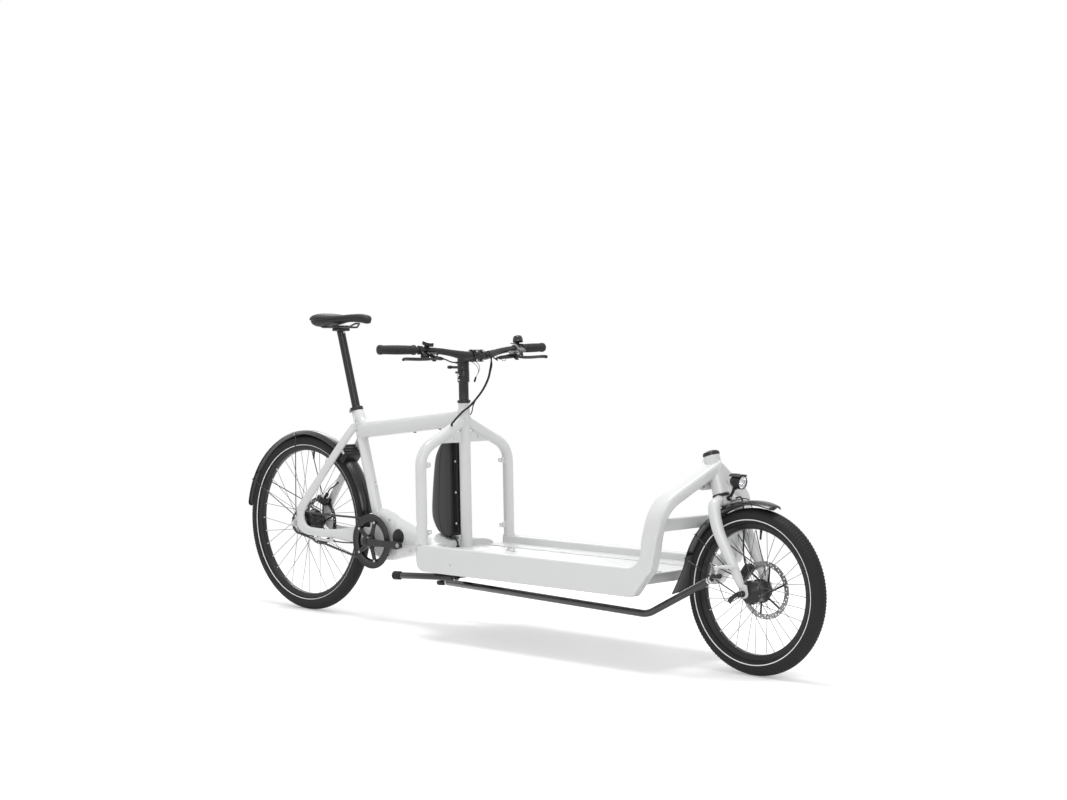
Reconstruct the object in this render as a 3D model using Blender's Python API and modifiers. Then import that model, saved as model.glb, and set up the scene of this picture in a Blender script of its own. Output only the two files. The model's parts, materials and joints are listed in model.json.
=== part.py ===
"""Electric cargo bike with a low bed between the rider and a small front wheel.

Metres, +Z up. Every size below is in the bike's own frame: x runs forward from the rear axle, y to the
rider's left, z up from the floor. At the end the root empty moves the bike so that the middle of its
length lies over the origin.
"""

import math

import bmesh
import bpy
from mathutils import Matrix, Vector

# Clearances
SEAM = 0.0003
RUNNING = 0.0004
BALL_CLEARANCE = 0.003

# Wheels and tyres
WHEELBASE = 2.10
REAR_TYRE_RADIUS = 0.3295
REAR_TYRE_WIDTH = 0.050
REAR_TYRE_HEIGHT = 0.0500
REAR_BEAD_RADIUS = REAR_TYRE_RADIUS - REAR_TYRE_HEIGHT
FRONT_TYRE_RADIUS = 0.2575
FRONT_TYRE_WIDTH = 0.055
FRONT_TYRE_HEIGHT = 0.0545
FRONT_BEAD_RADIUS = FRONT_TYRE_RADIUS - FRONT_TYRE_HEIGHT
RIM_INNER_WIDTH = 0.0236
RIM_WALL = 0.0020
RIM_FLANGE_HEIGHT = 0.0060
RIM_DEPTH = 0.0100
SPOKES = 32
SPOKE_RADIUS = 0.0011
ROTOR_RADIUS = 0.090
ROTOR_THICKNESS = 0.0020
ROTOR_Y = 0.052
FRONT_ROTOR_Y = 0.046
REAR_HUB_RADIUS = 0.044
FRONT_HUB_RADIUS = 0.034
REAR_FLANGE_Y = 0.026
FRONT_FLANGE_Y = 0.025
REAR_AXLE_RADIUS = 0.0050
FRONT_AXLE_RADIUS = 0.0045
WHEEL_STEPS = 32

# Drive
BB_X = 0.407
BB_Z = 0.290
SPINDLE_RADIUS = 0.012
CRANK_LENGTH = 0.172
CRANK_Y = 0.082
PITCH = 0.0127
CHAINRING_TEETH = 40
SPROCKET_TEETH = 20
CHAIN_Y = 0.0487
CHAIN_WIDTH = 0.0080
CHAIN_STEPS = 12
PLATE_WIDTH = 0.0078
TOOTH_THICKNESS = 0.0024
GUARD_RADIUS = 0.099
SPIDER_ARMS = 5

# Frame tubes
SEAT_ANGLE = math.radians(73.2)
SEAT_TUBE_TOP_X = 0.2653
SEAT_TUBE_TOP_Z = 0.765
SEAT_TUBE_RADIUS = 0.0200
SEAT_TUBE_LOW_Z = 0.372
SEATPOST_RADIUS = 0.0151
SEATPOST_INSERT = 0.130
SEAT_TUBE_BORE_DEPTH = 0.365
TOP_TUBE_REAR_Z = 0.684
TOP_TUBE_FRONT_Z = 0.7490
TOP_TUBE_HALF_HEIGHT = 0.0290
TOP_TUBE_OVERHANG = 0.0020
TOP_TUBE_HALF_WIDTH = SEAT_TUBE_RADIUS + TOP_TUBE_OVERHANG
COLUMN_TOP_X = 0.827
COLUMN_TOP_Z = 0.800
COLUMN_TILT = math.radians(1.5)
HEAD_TUBE_RADIUS = 0.0200
HEAD_TUBE_BOTTOM_Z = 0.2360
COLUMN_RADIUS = 0.0150
SHOULDER_RADIUS = 0.0185
SHOULDER_BEND = 0.090
SHOULDER_JOIN_Z = 0.7310
SHOULDER_SLOPE = math.radians(25.5)
STAY_Y = 0.0660
STAY_THICKNESS = 0.0150
COVER_X = 0.550
COVER_Z = 0.316
COVER_Y = 0.0535
COVER_RADIUS = 0.0280

# Bed
BED_WIDTH = 0.462
BED_REAR_X = 0.825
BED_TOP_Z = 0.325
BED_BOTTOM_Z = 0.233
BED_FRONT_SETBACK = 0.306
BED_FRONT_X = WHEELBASE - BED_FRONT_SETBACK
RAIL_WIDTH = 0.040
FLOOR_TOP_Z = 0.3000
FLOOR_THICKNESS = 0.0040
MEMBER_DEPTH = 0.0420
MEMBER_WIDTH = 0.0300
FRONT_BEAM_SETBACK = 0.024
FRONT_BEAM_X = BED_FRONT_X - FRONT_BEAM_SETBACK

# Front arches and head
ARCH_SPLIT_Z = 0.398
ARCH_FOOT_DEPTH = 0.058
ARCH_HEAD_DEPTH = 0.070
ARCH_WIDTH = 0.038
ARCH_SETBACK = 0.2405
ARCH_BEND = 0.080
FRONT_HEAD_ANGLE = math.radians(72.3)
FRONT_HEAD_SETBACK = 0.180
FRONT_HEAD_TOP_X = WHEELBASE - FRONT_HEAD_SETBACK
FRONT_HEAD_TOP_Z = 0.6810
FRONT_HEAD_LENGTH = 0.1385
FRONT_HEAD_RADIUS = 0.0255
STEERER_RADIUS = 0.0143
FORK_HALF_WIDTH = 0.066
FORK_TOP_RADIUS = 0.0190
FORK_TIP_RADIUS = 0.0140
CROSS_BAR_Z = 0.459
CROSS_BAR_HEIGHT = 0.038
CROSS_BAR_DEPTH = 0.026

# Steering linkage
ROD_Y = -0.125
ROD_RADIUS = 0.0115
ROD_REAR_Z = 0.1860
BALL_RADIUS = 0.0090
BALL_EYE_RADIUS = 0.0170
FRONT_BALL_SETBACK = 0.055
FRONT_BALL_X = WHEELBASE - FRONT_BALL_SETBACK
FRONT_BALL_Z = 0.3130

# Cockpit
RISER_RADIUS = 0.0170
BAR_CLAMP_X = 0.885
BAR_CLAMP_Z = 0.965
BAR_HALF = 0.401
BAR_END_X = 0.827
BAR_END_Z = 0.989
BAR_CLAMP_RADIUS = 0.0159
BAR_RADIUS = 0.0111
GRIP_LENGTH = 0.145
GRIP_RADIUS = 0.0165
HOSE_RADIUS = 0.0034
LEVER_LENGTH = 0.150
LEVER_TILT = math.radians(33)

# Saddle
SADDLE_REAR_X = 0.060
SADDLE_NOSE_X = 0.341
SADDLE_BASE_Z = 1.076
RAIL_GAUGE = 0.022
RAIL_RADIUS = 0.0035

# Fenders
REAR_FENDER_GAP = 0.0145
FRONT_FENDER_GAP = 0.0225
REAR_FENDER_RADIUS = REAR_TYRE_RADIUS + REAR_FENDER_GAP
FRONT_FENDER_RADIUS = FRONT_TYRE_RADIUS + FRONT_FENDER_GAP
FENDER_HALF_WIDTH = 0.0310
FENDER_SKIN = 0.0022
FENDER_CROWN = 0.0120
BRIDGE_RISE = 0.0145
BRIDGE_LEAD = math.radians(2.4)

# Battery
BATTERY_HALF_WIDTH = 0.043
BATTERY_BOTTOM_Z = 0.336
BATTERY_TOP_Z = 0.664
BATTERY_REAR_X = 0.685
BATTERY_RAIL_DEPTH = 0.0200

# Centre stand
STAND_PIVOT_X = 0.930
STAND_PIVOT_Z = 0.2160
STAND_TUBE_RADIUS = 0.0080
STAND_LEG_RADIUS = 0.0105
STAND_LEG_Y = 0.1650
STAND_LEG_LENGTH = 0.268
STAND_FOOT_RADIUS = 0.0150

X_AXIS = Vector((1, 0, 0))
Y_AXIS = Vector((0, 1, 0))
Z_AXIS = Vector((0, 0, 1))


# Scene, collections and materials

for leftover in list(bpy.data.objects):
    bpy.data.objects.remove(leftover, do_unlink=True)

PARTS = bpy.data.collections.new("electric_cargo_bike")
CUTTERS = bpy.data.collections.new("cutters")
bpy.context.scene.collection.children.link(PARTS)
bpy.context.scene.collection.children.link(CUTTERS)

ORIGINS = {}


def material(name, colour, roughness, metallic):
    made = bpy.data.materials.new(name)
    made.use_nodes = True
    shader = made.node_tree.nodes["Principled BSDF"]
    shader.inputs["Base Color"].default_value = (*colour, 1)
    shader.inputs["Roughness"].default_value = roughness
    shader.inputs["Metallic"].default_value = metallic
    made.diffuse_color = (*colour, 1)
    return made


FRAME_PAINT = material("frame_paint", (0.72, 0.73, 0.73), 0.45, 0.0)
BLACK_METAL = material("black_metal", (0.045, 0.045, 0.048), 0.42, 0.4)
BLACK_PLASTIC = material("black_plastic", (0.035, 0.035, 0.037), 0.5, 0.0)
BLACK_RUBBER = material("black_rubber", (0.04, 0.04, 0.04), 0.75, 0.0)
BARE_STEEL = material("bare_steel", (0.55, 0.55, 0.56), 0.3, 1.0)
SADDLE_COVER = material("saddle_cover", (0.035, 0.034, 0.034), 0.6, 0.0)


def empty(name, at, parent=None):
    made = bpy.data.objects.new(name, None)
    made.empty_display_size = 0.05
    PARTS.objects.link(made)
    ORIGINS[name] = Vector(at)
    made.location = at
    if parent is not None:
        made.parent = parent
        made.matrix_parent_inverse = Matrix.Translation(-ORIGINS[parent.name])
    return made


def adopt(obj, parent):
    """Parents a piece that is already where it belongs."""
    obj.parent = parent
    obj.matrix_parent_inverse = Matrix.Translation(-ORIGINS[parent.name])


# Points and directions of the frame's main lines


def lerp(a, b, t):
    return Vector(a) * (1 - t) + Vector(b) * t


def point_xz(x, z, y=0.0):
    return Vector((x, y, z))


SEAT_AXIS = Vector((-math.cos(SEAT_ANGLE), 0, math.sin(SEAT_ANGLE)))
SEAT_TUBE_TOP = point_xz(SEAT_TUBE_TOP_X, SEAT_TUBE_TOP_Z)
COLUMN_AXIS = Vector((-math.sin(COLUMN_TILT), 0, math.cos(COLUMN_TILT)))
COLUMN_TOP = point_xz(COLUMN_TOP_X, COLUMN_TOP_Z)
FRONT_HEAD_AXIS = Vector((-math.cos(FRONT_HEAD_ANGLE), 0, math.sin(FRONT_HEAD_ANGLE)))
FRONT_HEAD_TOP = point_xz(FRONT_HEAD_TOP_X, FRONT_HEAD_TOP_Z)
REAR_AXLE = point_xz(0, REAR_TYRE_RADIUS)
FRONT_AXLE = point_xz(WHEELBASE, FRONT_TYRE_RADIUS)
BB = point_xz(BB_X, BB_Z)


def seat_point(z):
    return SEAT_TUBE_TOP + SEAT_AXIS * ((z - SEAT_TUBE_TOP_Z) / SEAT_AXIS.z)


def column_point(z):
    return COLUMN_TOP + COLUMN_AXIS * ((z - COLUMN_TOP_Z) / COLUMN_AXIS.z)


def front_head_point(z):
    return FRONT_HEAD_TOP + FRONT_HEAD_AXIS * ((z - FRONT_HEAD_TOP_Z) / FRONT_HEAD_AXIS.z)


FRONT_HEAD_BOTTOM = FRONT_HEAD_TOP - FRONT_HEAD_AXIS * FRONT_HEAD_LENGTH
FORK_NECK_END = FRONT_HEAD_BOTTOM - FRONT_HEAD_AXIS * 0.0385


def rounded_path(points, radius, steps=4):
    """A polyline with each inner corner replaced by an arc of this radius."""
    points = [Vector(p) for p in points]
    path = [points[0]]
    for before, corner, after in zip(points, points[1:], points[2:]):
        into = (before - corner).normalized()
        out = (after - corner).normalized()
        half = into.angle(out) / 2
        reach = radius / math.tan(half)
        centre = corner + (into + out).normalized() * radius / math.sin(half)
        start = corner + into * reach - centre
        end = corner + out * reach - centre
        sweep = start.angle(end)
        for i in range(steps + 1):
            t = i / steps
            spoke = start * math.sin((1 - t) * sweep) + end * math.sin(t * sweep)
            path.append(centre + spoke / math.sin(sweep))
    path.append(points[-1])
    return path


def smooth_path(points, steps):
    """Points of a Catmull-Rom curve through these points."""
    points = [Vector(p) for p in points]
    ends = [points[0] * 2 - points[1], *points, points[-1] * 2 - points[-2]]
    path = []
    for a, b, c, d in zip(ends, ends[1:], ends[2:], ends[3:]):
        for i in range(steps):
            t = i / steps
            path.append(
                0.5 * (2 * b + (c - a) * t + (2 * a - 5 * b + 4 * c - d) * t * t
                       + (3 * b - a - 3 * c + d) * t ** 3)
            )
    path.append(points[-1])
    return path


def around(radius, sides):
    """The corner radius of a polygon whose flats lie at this radius."""
    return radius / math.cos(math.pi / sides)


def circle(radius, steps, centre=(0, 0), phase=0.0):
    return [
        (centre[0] + radius * math.cos(phase + math.tau * i / steps),
         centre[1] + radius * math.sin(phase + math.tau * i / steps))
        for i in range(steps)
    ]


# Shapes


def linked(name, data, collection=PARTS):
    made = bpy.data.objects.new(name, data)
    collection.objects.link(made)
    return made


def from_bmesh(name, shape):
    bmesh.ops.recalc_face_normals(shape, faces=shape.faces)
    data = bpy.data.meshes.new(name)
    shape.to_mesh(data)
    shape.free()
    return linked(name, data)


def facing(start, direction):
    """Carries local Z to this direction and the origin to start."""
    turn = Vector(direction).normalized().to_track_quat("Z", "Y").to_matrix().to_4x4()
    return Matrix.Translation(start) @ turn


def rod(start, end, radius, sides=12, end_radius=None, name="rod"):
    start = Vector(start)
    end = Vector(end)
    shape = bmesh.new()
    middle = facing((start + end) / 2, end - start)
    bmesh.ops.create_cone(
        shape, cap_ends=True, segments=sides, radius1=radius,
        radius2=radius if end_radius is None else end_radius,
        depth=(end - start).length, matrix=middle,
    )
    return from_bmesh(name, shape)


def box(size, centre, turn=None, name="box"):
    shape = bmesh.new()
    place = Matrix.Translation(centre) @ (turn or Matrix.Identity(4)) @ Matrix.Diagonal((*size, 1))
    bmesh.ops.create_cube(shape, size=1, matrix=place)
    return from_bmesh(name, shape)


def ball(centre, radius, sides=10, rings=6, name="ball"):
    shape = bmesh.new()
    bmesh.ops.create_uvsphere(
        shape, u_segments=sides, v_segments=rings, radius=radius, matrix=Matrix.Translation(centre)
    )
    return from_bmesh(name, shape)


def turned(profile, start, direction, steps=24, closed=False, name="turned"):
    """A profile of (radius, height) pairs, down its outer side, turned about a line from start."""
    data = bpy.data.meshes.new(name)
    count = len(profile)
    edges = [(i, i + 1) for i in range(count - 1)]
    if closed:
        edges.append((count - 1, 0))
    data.from_pydata([(radius, 0, height) for radius, height in profile], edges, [])
    made = linked(name, data)
    screw = made.modifiers.new("turn", "SCREW")
    screw.steps = steps
    screw.render_steps = steps
    screw.use_merge_vertices = True
    screw.merge_threshold = 0.00002
    made.matrix_world = facing(start, direction)
    return as_mesh(made)


def wire(points, radius, sides=8, radii=None, name="wire"):
    data = bpy.data.curves.new(name, "CURVE")
    data.dimensions = "3D"
    data.bevel_depth = radius
    data.bevel_resolution = (sides - 4) // 2
    data.use_fill_caps = True
    line = data.splines.new("POLY")
    line.points.add(len(points) - 1)
    for i, place in enumerate(points):
        line.points[i].co = (*place, 1)
        if radii is not None:
            line.points[i].radius = radii[i] / radius
    return as_mesh(linked(name, data))


def plate(outlines, thickness, place, name="plate"):
    """Flat outlines, the first the edge and the others holes in it, made this thick about their plane."""
    data = bpy.data.curves.new(name, "CURVE")
    data.dimensions = "2D"
    data.fill_mode = "BOTH"
    data.extrude = thickness / 2
    for outline in outlines:
        line = data.splines.new("POLY")
        line.points.add(len(outline) - 1)
        for i, (u, v) in enumerate(outline):
            line.points[i].co = (u, v, 0, 1)
        line.use_cyclic_u = True
    made = linked(name, data)
    made.matrix_world = place
    return as_mesh(made)


def side_plane(x=0.0, y=0.0, z=0.0):
    """Carries an outline's (u, v) to x and z in the side view at this y."""
    return Matrix.Translation((x, y, z)) @ Matrix.Rotation(math.pi / 2, 4, "X")


def loft(rings, name="loft"):
    """A skin over rings of equally many points, with flat ends."""
    shape = bmesh.new()
    made = [[shape.verts.new(p) for p in ring] for ring in rings]
    count = len(rings[0])
    for low, high in zip(made, made[1:]):
        for i in range(count):
            j = (i + 1) % count
            shape.faces.new((low[i], low[j], high[j], high[i]))
    shape.faces.new(made[0])
    shape.faces.new(list(reversed(made[-1])))
    return from_bmesh(name, shape)


def oval(centre, side, up, half_width, half_height, points=12, power=2.0):
    """A superellipse about centre: power 2 is an ellipse, and a higher power squares it off."""
    ring = []
    for i in range(points):
        angle = math.tau * (i + 0.5) / points
        c = math.cos(angle)
        s = math.sin(angle)
        u = math.copysign(abs(c) ** (2 / power), c) * half_width
        v = math.copysign(abs(s) ** (2 / power), s) * half_height
        ring.append(Vector(centre) + side * u + up * v)
    return ring


def sweep(path, sizes, lead, points=12, power=2.0, name="sweep"):
    """Ovals along a path. Each size is (half width across lead, half height along lead)."""
    rings = []
    for i, place in enumerate(path):
        before = path[max(i - 1, 0)]
        after = path[min(i + 1, len(path) - 1)]
        along = (after - before).normalized()
        up = (lead - along * lead.dot(along)).normalized()
        side = along.cross(up)
        rings.append(oval(place, side, up, *sizes[i], points=points, power=power))
    return loft(rings, name)


def as_mesh(obj):
    """The evaluated shape of an object as a plain mesh object in its place, with its seams welded."""
    bpy.context.view_layer.update()
    graph = bpy.context.evaluated_depsgraph_get()
    data = bpy.data.meshes.new_from_object(obj.evaluated_get(graph))
    data.transform(obj.matrix_world)
    shape = bmesh.new()
    shape.from_mesh(data)
    bmesh.ops.remove_doubles(shape, verts=shape.verts, dist=0.000005)
    bmesh.ops.recalc_face_normals(shape, faces=shape.faces)
    shape.to_mesh(data)
    shape.free()
    name = obj.name
    bpy.data.objects.remove(obj, do_unlink=True)
    return linked(name, data)


def combine(target, tool, operation):
    boolean = target.modifiers.new(operation.lower(), "BOOLEAN")
    boolean.operation = operation
    boolean.object = tool
    tool.hide_render = True
    tool.display_type = "WIRE"
    PARTS.objects.unlink(tool)
    CUTTERS.objects.link(tool)
    adopt(tool, ROOT)
    return target


def join(target, *tools):
    for tool in tools:
        combine(target, tool, "UNION")
    return target


def cut(target, *tools):
    for tool in tools:
        combine(target, tool, "DIFFERENCE")
    return target


def merged(*pieces):
    """Several closed shapes that don't touch, as one mesh object for one Boolean."""
    shape = bmesh.new()
    for piece in pieces:
        shape.from_mesh(piece.data)
        bpy.data.objects.remove(piece, do_unlink=True)
    return from_bmesh("group", shape)


def below(z, near):
    """A block whose top is at this height, to cut a piece off flat."""
    return box((0.16, 0.16, 0.06), (near[0], near[1], z - 0.03))


def mirrored(obj):
    """The finished shape of a piece, mirrored to the other side of the bike."""
    bpy.context.view_layer.update()
    graph = bpy.context.evaluated_depsgraph_get()
    data = bpy.data.meshes.new_from_object(obj.evaluated_get(graph))
    data.transform(Matrix.Diagonal((1, -1, 1, 1)) @ obj.matrix_world)
    data.flip_normals()
    return linked("mirrored", data)


def rounded(obj, width, segments=1, angle=40):
    bevel = obj.modifiers.new("edges", "BEVEL")
    bevel.width = width
    bevel.segments = segments
    bevel.limit_method = "ANGLE"
    bevel.angle_limit = math.radians(angle)
    bevel.use_clamp_overlap = True
    return as_mesh(obj)


def moved_origin(obj, origin):
    """Puts the object's origin at this point without moving its shape."""
    obj.data.transform(Matrix.Translation(-Vector(origin)))
    obj.location = origin


def piece(obj, name, paint, parent, origin=None):
    """Names, paints and parents a finished piece, with its origin where its parent has its own."""
    obj.name = name
    obj.data.name = name
    obj.data.materials.clear()
    obj.data.materials.append(paint)
    moved_origin(obj, origin if origin is not None else ORIGINS[parent.name])
    obj.data.shade_smooth()
    obj.data.set_sharp_from_angle(angle=math.radians(35))
    adopt(obj, parent)
    return obj


# Carriers, each on its joint's axis

ROOT = empty("frame_root", (0, 0, 0))
COCKPIT = empty("cockpit_pivot", column_point(0.9), ROOT)
REAR_BALL = column_point(ROD_REAR_Z) + Vector((0, ROD_Y, 0))
FRONT_BALL = Vector((FRONT_BALL_X, ROD_Y, FRONT_BALL_Z))
ROD = empty("rod_pivot", REAR_BALL, COCKPIT)
FORK = empty("fork_pivot", front_head_point(0.5), ROOT)
FRONT_WHEEL = empty("front_wheel_axis", FRONT_AXLE, FORK)
REAR_WHEEL = empty("rear_wheel_axis", REAR_AXLE, ROOT)
CRANKS = empty("crank_axis", BB, ROOT)
SEAT = empty("seat_slide", SEAT_TUBE_TOP, ROOT)
STAND = empty("stand_pivot", (STAND_PIVOT_X, 0, STAND_PIVOT_Z), ROOT)


# Wheels


def rim(bead_radius, y_half, axle):
    flange = bead_radius + RIM_FLANGE_HEIGHT
    inner = bead_radius - RIM_DEPTH
    outer_half = y_half + RIM_WALL
    profile = [
        (flange, y_half), (bead_radius, y_half), (bead_radius, -y_half), (flange, -y_half),
        (flange, -outer_half), (inner, -outer_half * 0.7), (inner, outer_half * 0.7), (flange, outer_half),
    ]
    return turned(profile, axle, Y_AXIS, WHEEL_STEPS, closed=True)


def tyre(radius, width, bead_radius, axle):
    half = width / 2
    middle = radius - half
    bead_half = RIM_INNER_WIDTH / 2 - SEAM
    flange = bead_radius + RIM_FLANGE_HEIGHT + SEAM
    low = math.asin((middle - flange) / half)
    turns = 6
    profile = [(bead_radius + SEAM, bead_half), (flange, bead_half)]
    for i in range(turns + 1):
        angle = -low + (math.pi + 2 * low) * i / turns
        profile.append((middle + half * math.sin(angle), half * math.cos(angle)))
    profile += [(flange, -bead_half), (bead_radius + SEAM, -bead_half)]
    return turned(profile, axle, Y_AXIS, WHEEL_STEPS, closed=True)


def spokes(axle, hub_radius, flange_y, rim_radius, lean):
    """Crossed spokes: alternate flanges, and on each flange alternate inner and outer, leaning apart."""
    made = []
    pair_gap = 0.0024
    for i in range(SPOKES):
        side = 1 if i % 2 else -1
        trail = 1 if (i // 2) % 2 else -1
        rim_angle = math.tau * i / SPOKES
        hub_angle = rim_angle - trail * lean
        hub_y = side * (flange_y + trail * pair_gap / 2)
        inner = axle + Vector((math.cos(hub_angle) * hub_radius, hub_y, math.sin(hub_angle) * hub_radius))
        outer = axle + Vector((math.cos(rim_angle) * rim_radius, side * 0.003, math.sin(rim_angle) * rim_radius))
        made.append(rod(inner, outer, SPOKE_RADIUS, 3))
    return merged(*made)


def rotor(axle, y, hub_radius):
    """A brake disc: a drilled friction ring on raked arms round a carrier."""
    ring_inner = ROTOR_RADIUS - 0.016
    holes = [circle(around(hub_radius, 12), 12)]
    arms = 6
    for i in range(arms):
        middle = math.tau * (i + 0.5) / arms
        window = []
        rake = 0.30
        for radius, turn in ((ring_inner, rake), (hub_radius + 0.010, 0.0)):
            half = math.pi / arms - 0.0042 / radius
            for t in ((-1, 0, 1) if radius == ring_inner else (1, -1)):
                a = middle + turn + half * t
                window.append((radius * math.cos(a), radius * math.sin(a)))
        holes.append(window)
    return plate([circle(ROTOR_RADIUS, 24), *holes], ROTOR_THICKNESS, side_plane(axle.x, y, axle.z))


def toothed(teeth, tip, root, phase=0.0):
    """The outline of a chain wheel: a tip and a root for each tooth."""
    outline = []
    step = math.tau / teeth
    for i in range(teeth):
        for share, radius in ((0.0, tip), (0.5, root)):
            angle = phase + step * (i + share)
            outline.append((radius * math.cos(angle), radius * math.sin(angle)))
    return outline


def pitch_radius(teeth):
    return PITCH / 2 / math.sin(math.pi / teeth)


def build_rear_wheel():
    wheel = rim(REAR_BEAD_RADIUS, RIM_INNER_WIDTH / 2, REAR_AXLE)
    shell = REAR_HUB_RADIUS
    bore = REAR_AXLE_RADIUS + RUNNING
    sprocket_y = CHAIN_Y
    hub = turned(
        [
            (bore, ROTOR_Y + 0.004), (0.016, ROTOR_Y + 0.004), (0.016, ROTOR_Y - ROTOR_THICKNESS / 2 - SEAM),
            (0.024, ROTOR_Y - ROTOR_THICKNESS / 2 - SEAM), (shell + 0.003, REAR_FLANGE_Y + 0.003),
            (shell + 0.003, REAR_FLANGE_Y - 0.003), (shell - 0.004, 0.0),
            (shell + 0.003, -REAR_FLANGE_Y + 0.003), (shell + 0.003, -REAR_FLANGE_Y - 0.003),
            (0.026, -sprocket_y + 0.006), (0.026, -sprocket_y - 0.003), (bore, -sprocket_y - 0.003),
        ],
        REAR_AXLE, Y_AXIS, 12, closed=True,
    )
    join(wheel, hub)
    join(wheel, spokes(REAR_AXLE, shell + 0.0005, REAR_FLANGE_Y, REAR_BEAD_RADIUS - RIM_DEPTH + 0.002, 0.55))
    pitch = pitch_radius(SPROCKET_TEETH)
    sprocket = plate(
        [toothed(SPROCKET_TEETH, pitch + 0.0015, pitch - 0.0035), circle(0.024, 12)],
        TOOTH_THICKNESS, side_plane(REAR_AXLE.x, -sprocket_y, REAR_AXLE.z),
    )
    join(wheel, sprocket)
    piece(wheel, "rear_wheel", BLACK_METAL, REAR_WHEEL)
    piece(tyre(REAR_TYRE_RADIUS, REAR_TYRE_WIDTH, REAR_BEAD_RADIUS, REAR_AXLE), "rear_tyre", BLACK_RUBBER, REAR_WHEEL)
    piece(rotor(REAR_AXLE, ROTOR_Y, 0.016 + SEAM), "rear_rotor", BARE_STEEL, REAR_WHEEL)


def build_front_wheel():
    wheel = rim(FRONT_BEAD_RADIUS, RIM_INNER_WIDTH / 2, FRONT_AXLE)
    shell = FRONT_HUB_RADIUS
    bore = FRONT_AXLE_RADIUS + RUNNING
    rotor_y = FRONT_ROTOR_Y
    hub = turned(
        [
            (bore, rotor_y + 0.004), (0.016, rotor_y + 0.004), (0.016, rotor_y - ROTOR_THICKNESS / 2 - SEAM),
            (0.024, rotor_y - ROTOR_THICKNESS / 2 - SEAM), (shell + 0.003, FRONT_FLANGE_Y + 0.0025),
            (shell + 0.003, FRONT_FLANGE_Y - 0.0025), (shell - 0.003, 0.0),
            (shell + 0.003, -FRONT_FLANGE_Y + 0.0025), (shell + 0.003, -FRONT_FLANGE_Y - 0.0025),
            (0.012, -rotor_y - 0.004), (bore, -rotor_y - 0.004),
        ],
        FRONT_AXLE, Y_AXIS, 12, closed=True,
    )
    join(wheel, hub)
    join(wheel, spokes(FRONT_AXLE, shell + 0.0005, FRONT_FLANGE_Y, FRONT_BEAD_RADIUS - RIM_DEPTH + 0.002, 0.60))
    piece(wheel, "front_wheel", BLACK_METAL, FRONT_WHEEL)
    piece(
        tyre(FRONT_TYRE_RADIUS, FRONT_TYRE_WIDTH, FRONT_BEAD_RADIUS, FRONT_AXLE),
        "front_tyre", BLACK_RUBBER, FRONT_WHEEL,
    )
    piece(rotor(FRONT_AXLE, rotor_y, 0.016 + SEAM), "front_rotor", BARE_STEEL, FRONT_WHEEL)


def build_rear_axle():
    """The axle rod with a shouldered nut outside each dropout."""
    outer = STAY_Y + STAY_THICKNESS / 2
    nut = outer + SEAM
    reach = nut + 0.012
    axle = rod(REAR_AXLE - Y_AXIS * reach, REAR_AXLE + Y_AXIS * reach, REAR_AXLE_RADIUS, 12)
    for side in (-1, 1):
        washer = rod(REAR_AXLE + Y_AXIS * side * nut, REAR_AXLE + Y_AXIS * side * (nut + 0.002), 0.0105, 10)
        hexagon = rod(REAR_AXLE + Y_AXIS * side * (nut + 0.001), REAR_AXLE + Y_AXIS * side * (nut + 0.009), 0.0085, 6)
        join(axle, washer, hexagon)
    piece(axle, "rear_axle", BARE_STEEL, ROOT)


# Drive


def tangent_angle():
    """The angle at which the chain leaves both chain wheels, above the line of their centres."""
    span = (BB - REAR_AXLE).length
    return math.acos((pitch_radius(CHAINRING_TEETH) - pitch_radius(SPROCKET_TEETH)) / span)


def chain_run():
    """The chain's pitch line in the side view: over the chainring, along below, and back round the sprocket."""
    base = math.atan2(BB.z - REAR_AXLE.z, BB.x - REAR_AXLE.x)
    lean = tangent_angle()
    line = []
    for centre, teeth, start, stop, steps in (
        (BB, CHAINRING_TEETH, base + lean, base - lean, CHAIN_STEPS),
        (REAR_AXLE, SPROCKET_TEETH, base - lean, base + lean - math.tau, CHAIN_STEPS // 2),
    ):
        for i in range(steps + 1):
            angle = start + (stop - start) * i / steps
            line.append((centre, pitch_radius(teeth), angle))
    return line


def build_chain():
    """A closed band round both wheels, with a groove in each round end that the teeth run in."""
    outlines = []
    for offset in (PLATE_WIDTH / 2, -PLATE_WIDTH / 2):
        outlines.append([
            (centre.x + (radius + offset) * math.cos(angle), centre.z + (radius + offset) * math.sin(angle))
            for centre, radius, angle in chain_run()
        ])
    chain = plate(outlines, CHAIN_WIDTH, side_plane(y=-CHAIN_Y))
    gap = (TOOTH_THICKNESS + 0.0014) / 2
    for centre, teeth in ((BB, CHAINRING_TEETH), (REAR_AXLE, SPROCKET_TEETH)):
        middle = centre - Y_AXIS * CHAIN_Y
        reach = pitch_radius(teeth) + 0.0026
        cut(chain, rod(middle - Y_AXIS * gap, middle + Y_AXIS * gap, reach, CHAIN_STEPS * 2))
    piece(chain, "chain", BLACK_METAL, ROOT)


def build_chainring():
    """The toothed ring and the guard ring, held apart by spacers under the spider's bolts."""
    pitch = pitch_radius(CHAINRING_TEETH)
    bolt_circle = 0.0725
    ring = plate(
        [toothed(CHAINRING_TEETH, pitch + 0.0012, pitch - 0.0038), circle(0.0670, 16)],
        TOOTH_THICKNESS, side_plane(BB.x, -CHAIN_Y, BB.z),
    )
    guard = plate(
        [circle(GUARD_RADIUS, 28), circle(0.0700, 16)],
        0.0024, side_plane(BB.x, -CHAIN_Y - 0.0078, BB.z),
    )
    spacers = []
    for i in range(SPIDER_ARMS):
        angle = math.tau * i / SPIDER_ARMS
        place = BB + Vector((math.cos(angle) * bolt_circle, 0, math.sin(angle) * bolt_circle))
        spacers.append(rod(place - Y_AXIS * CHAIN_Y, place - Y_AXIS * (CHAIN_Y + 0.0078), 0.0030, 6))
    join(ring, guard, merged(*spacers))
    piece(ring, "chainring", BLACK_METAL, CRANKS)


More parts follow.
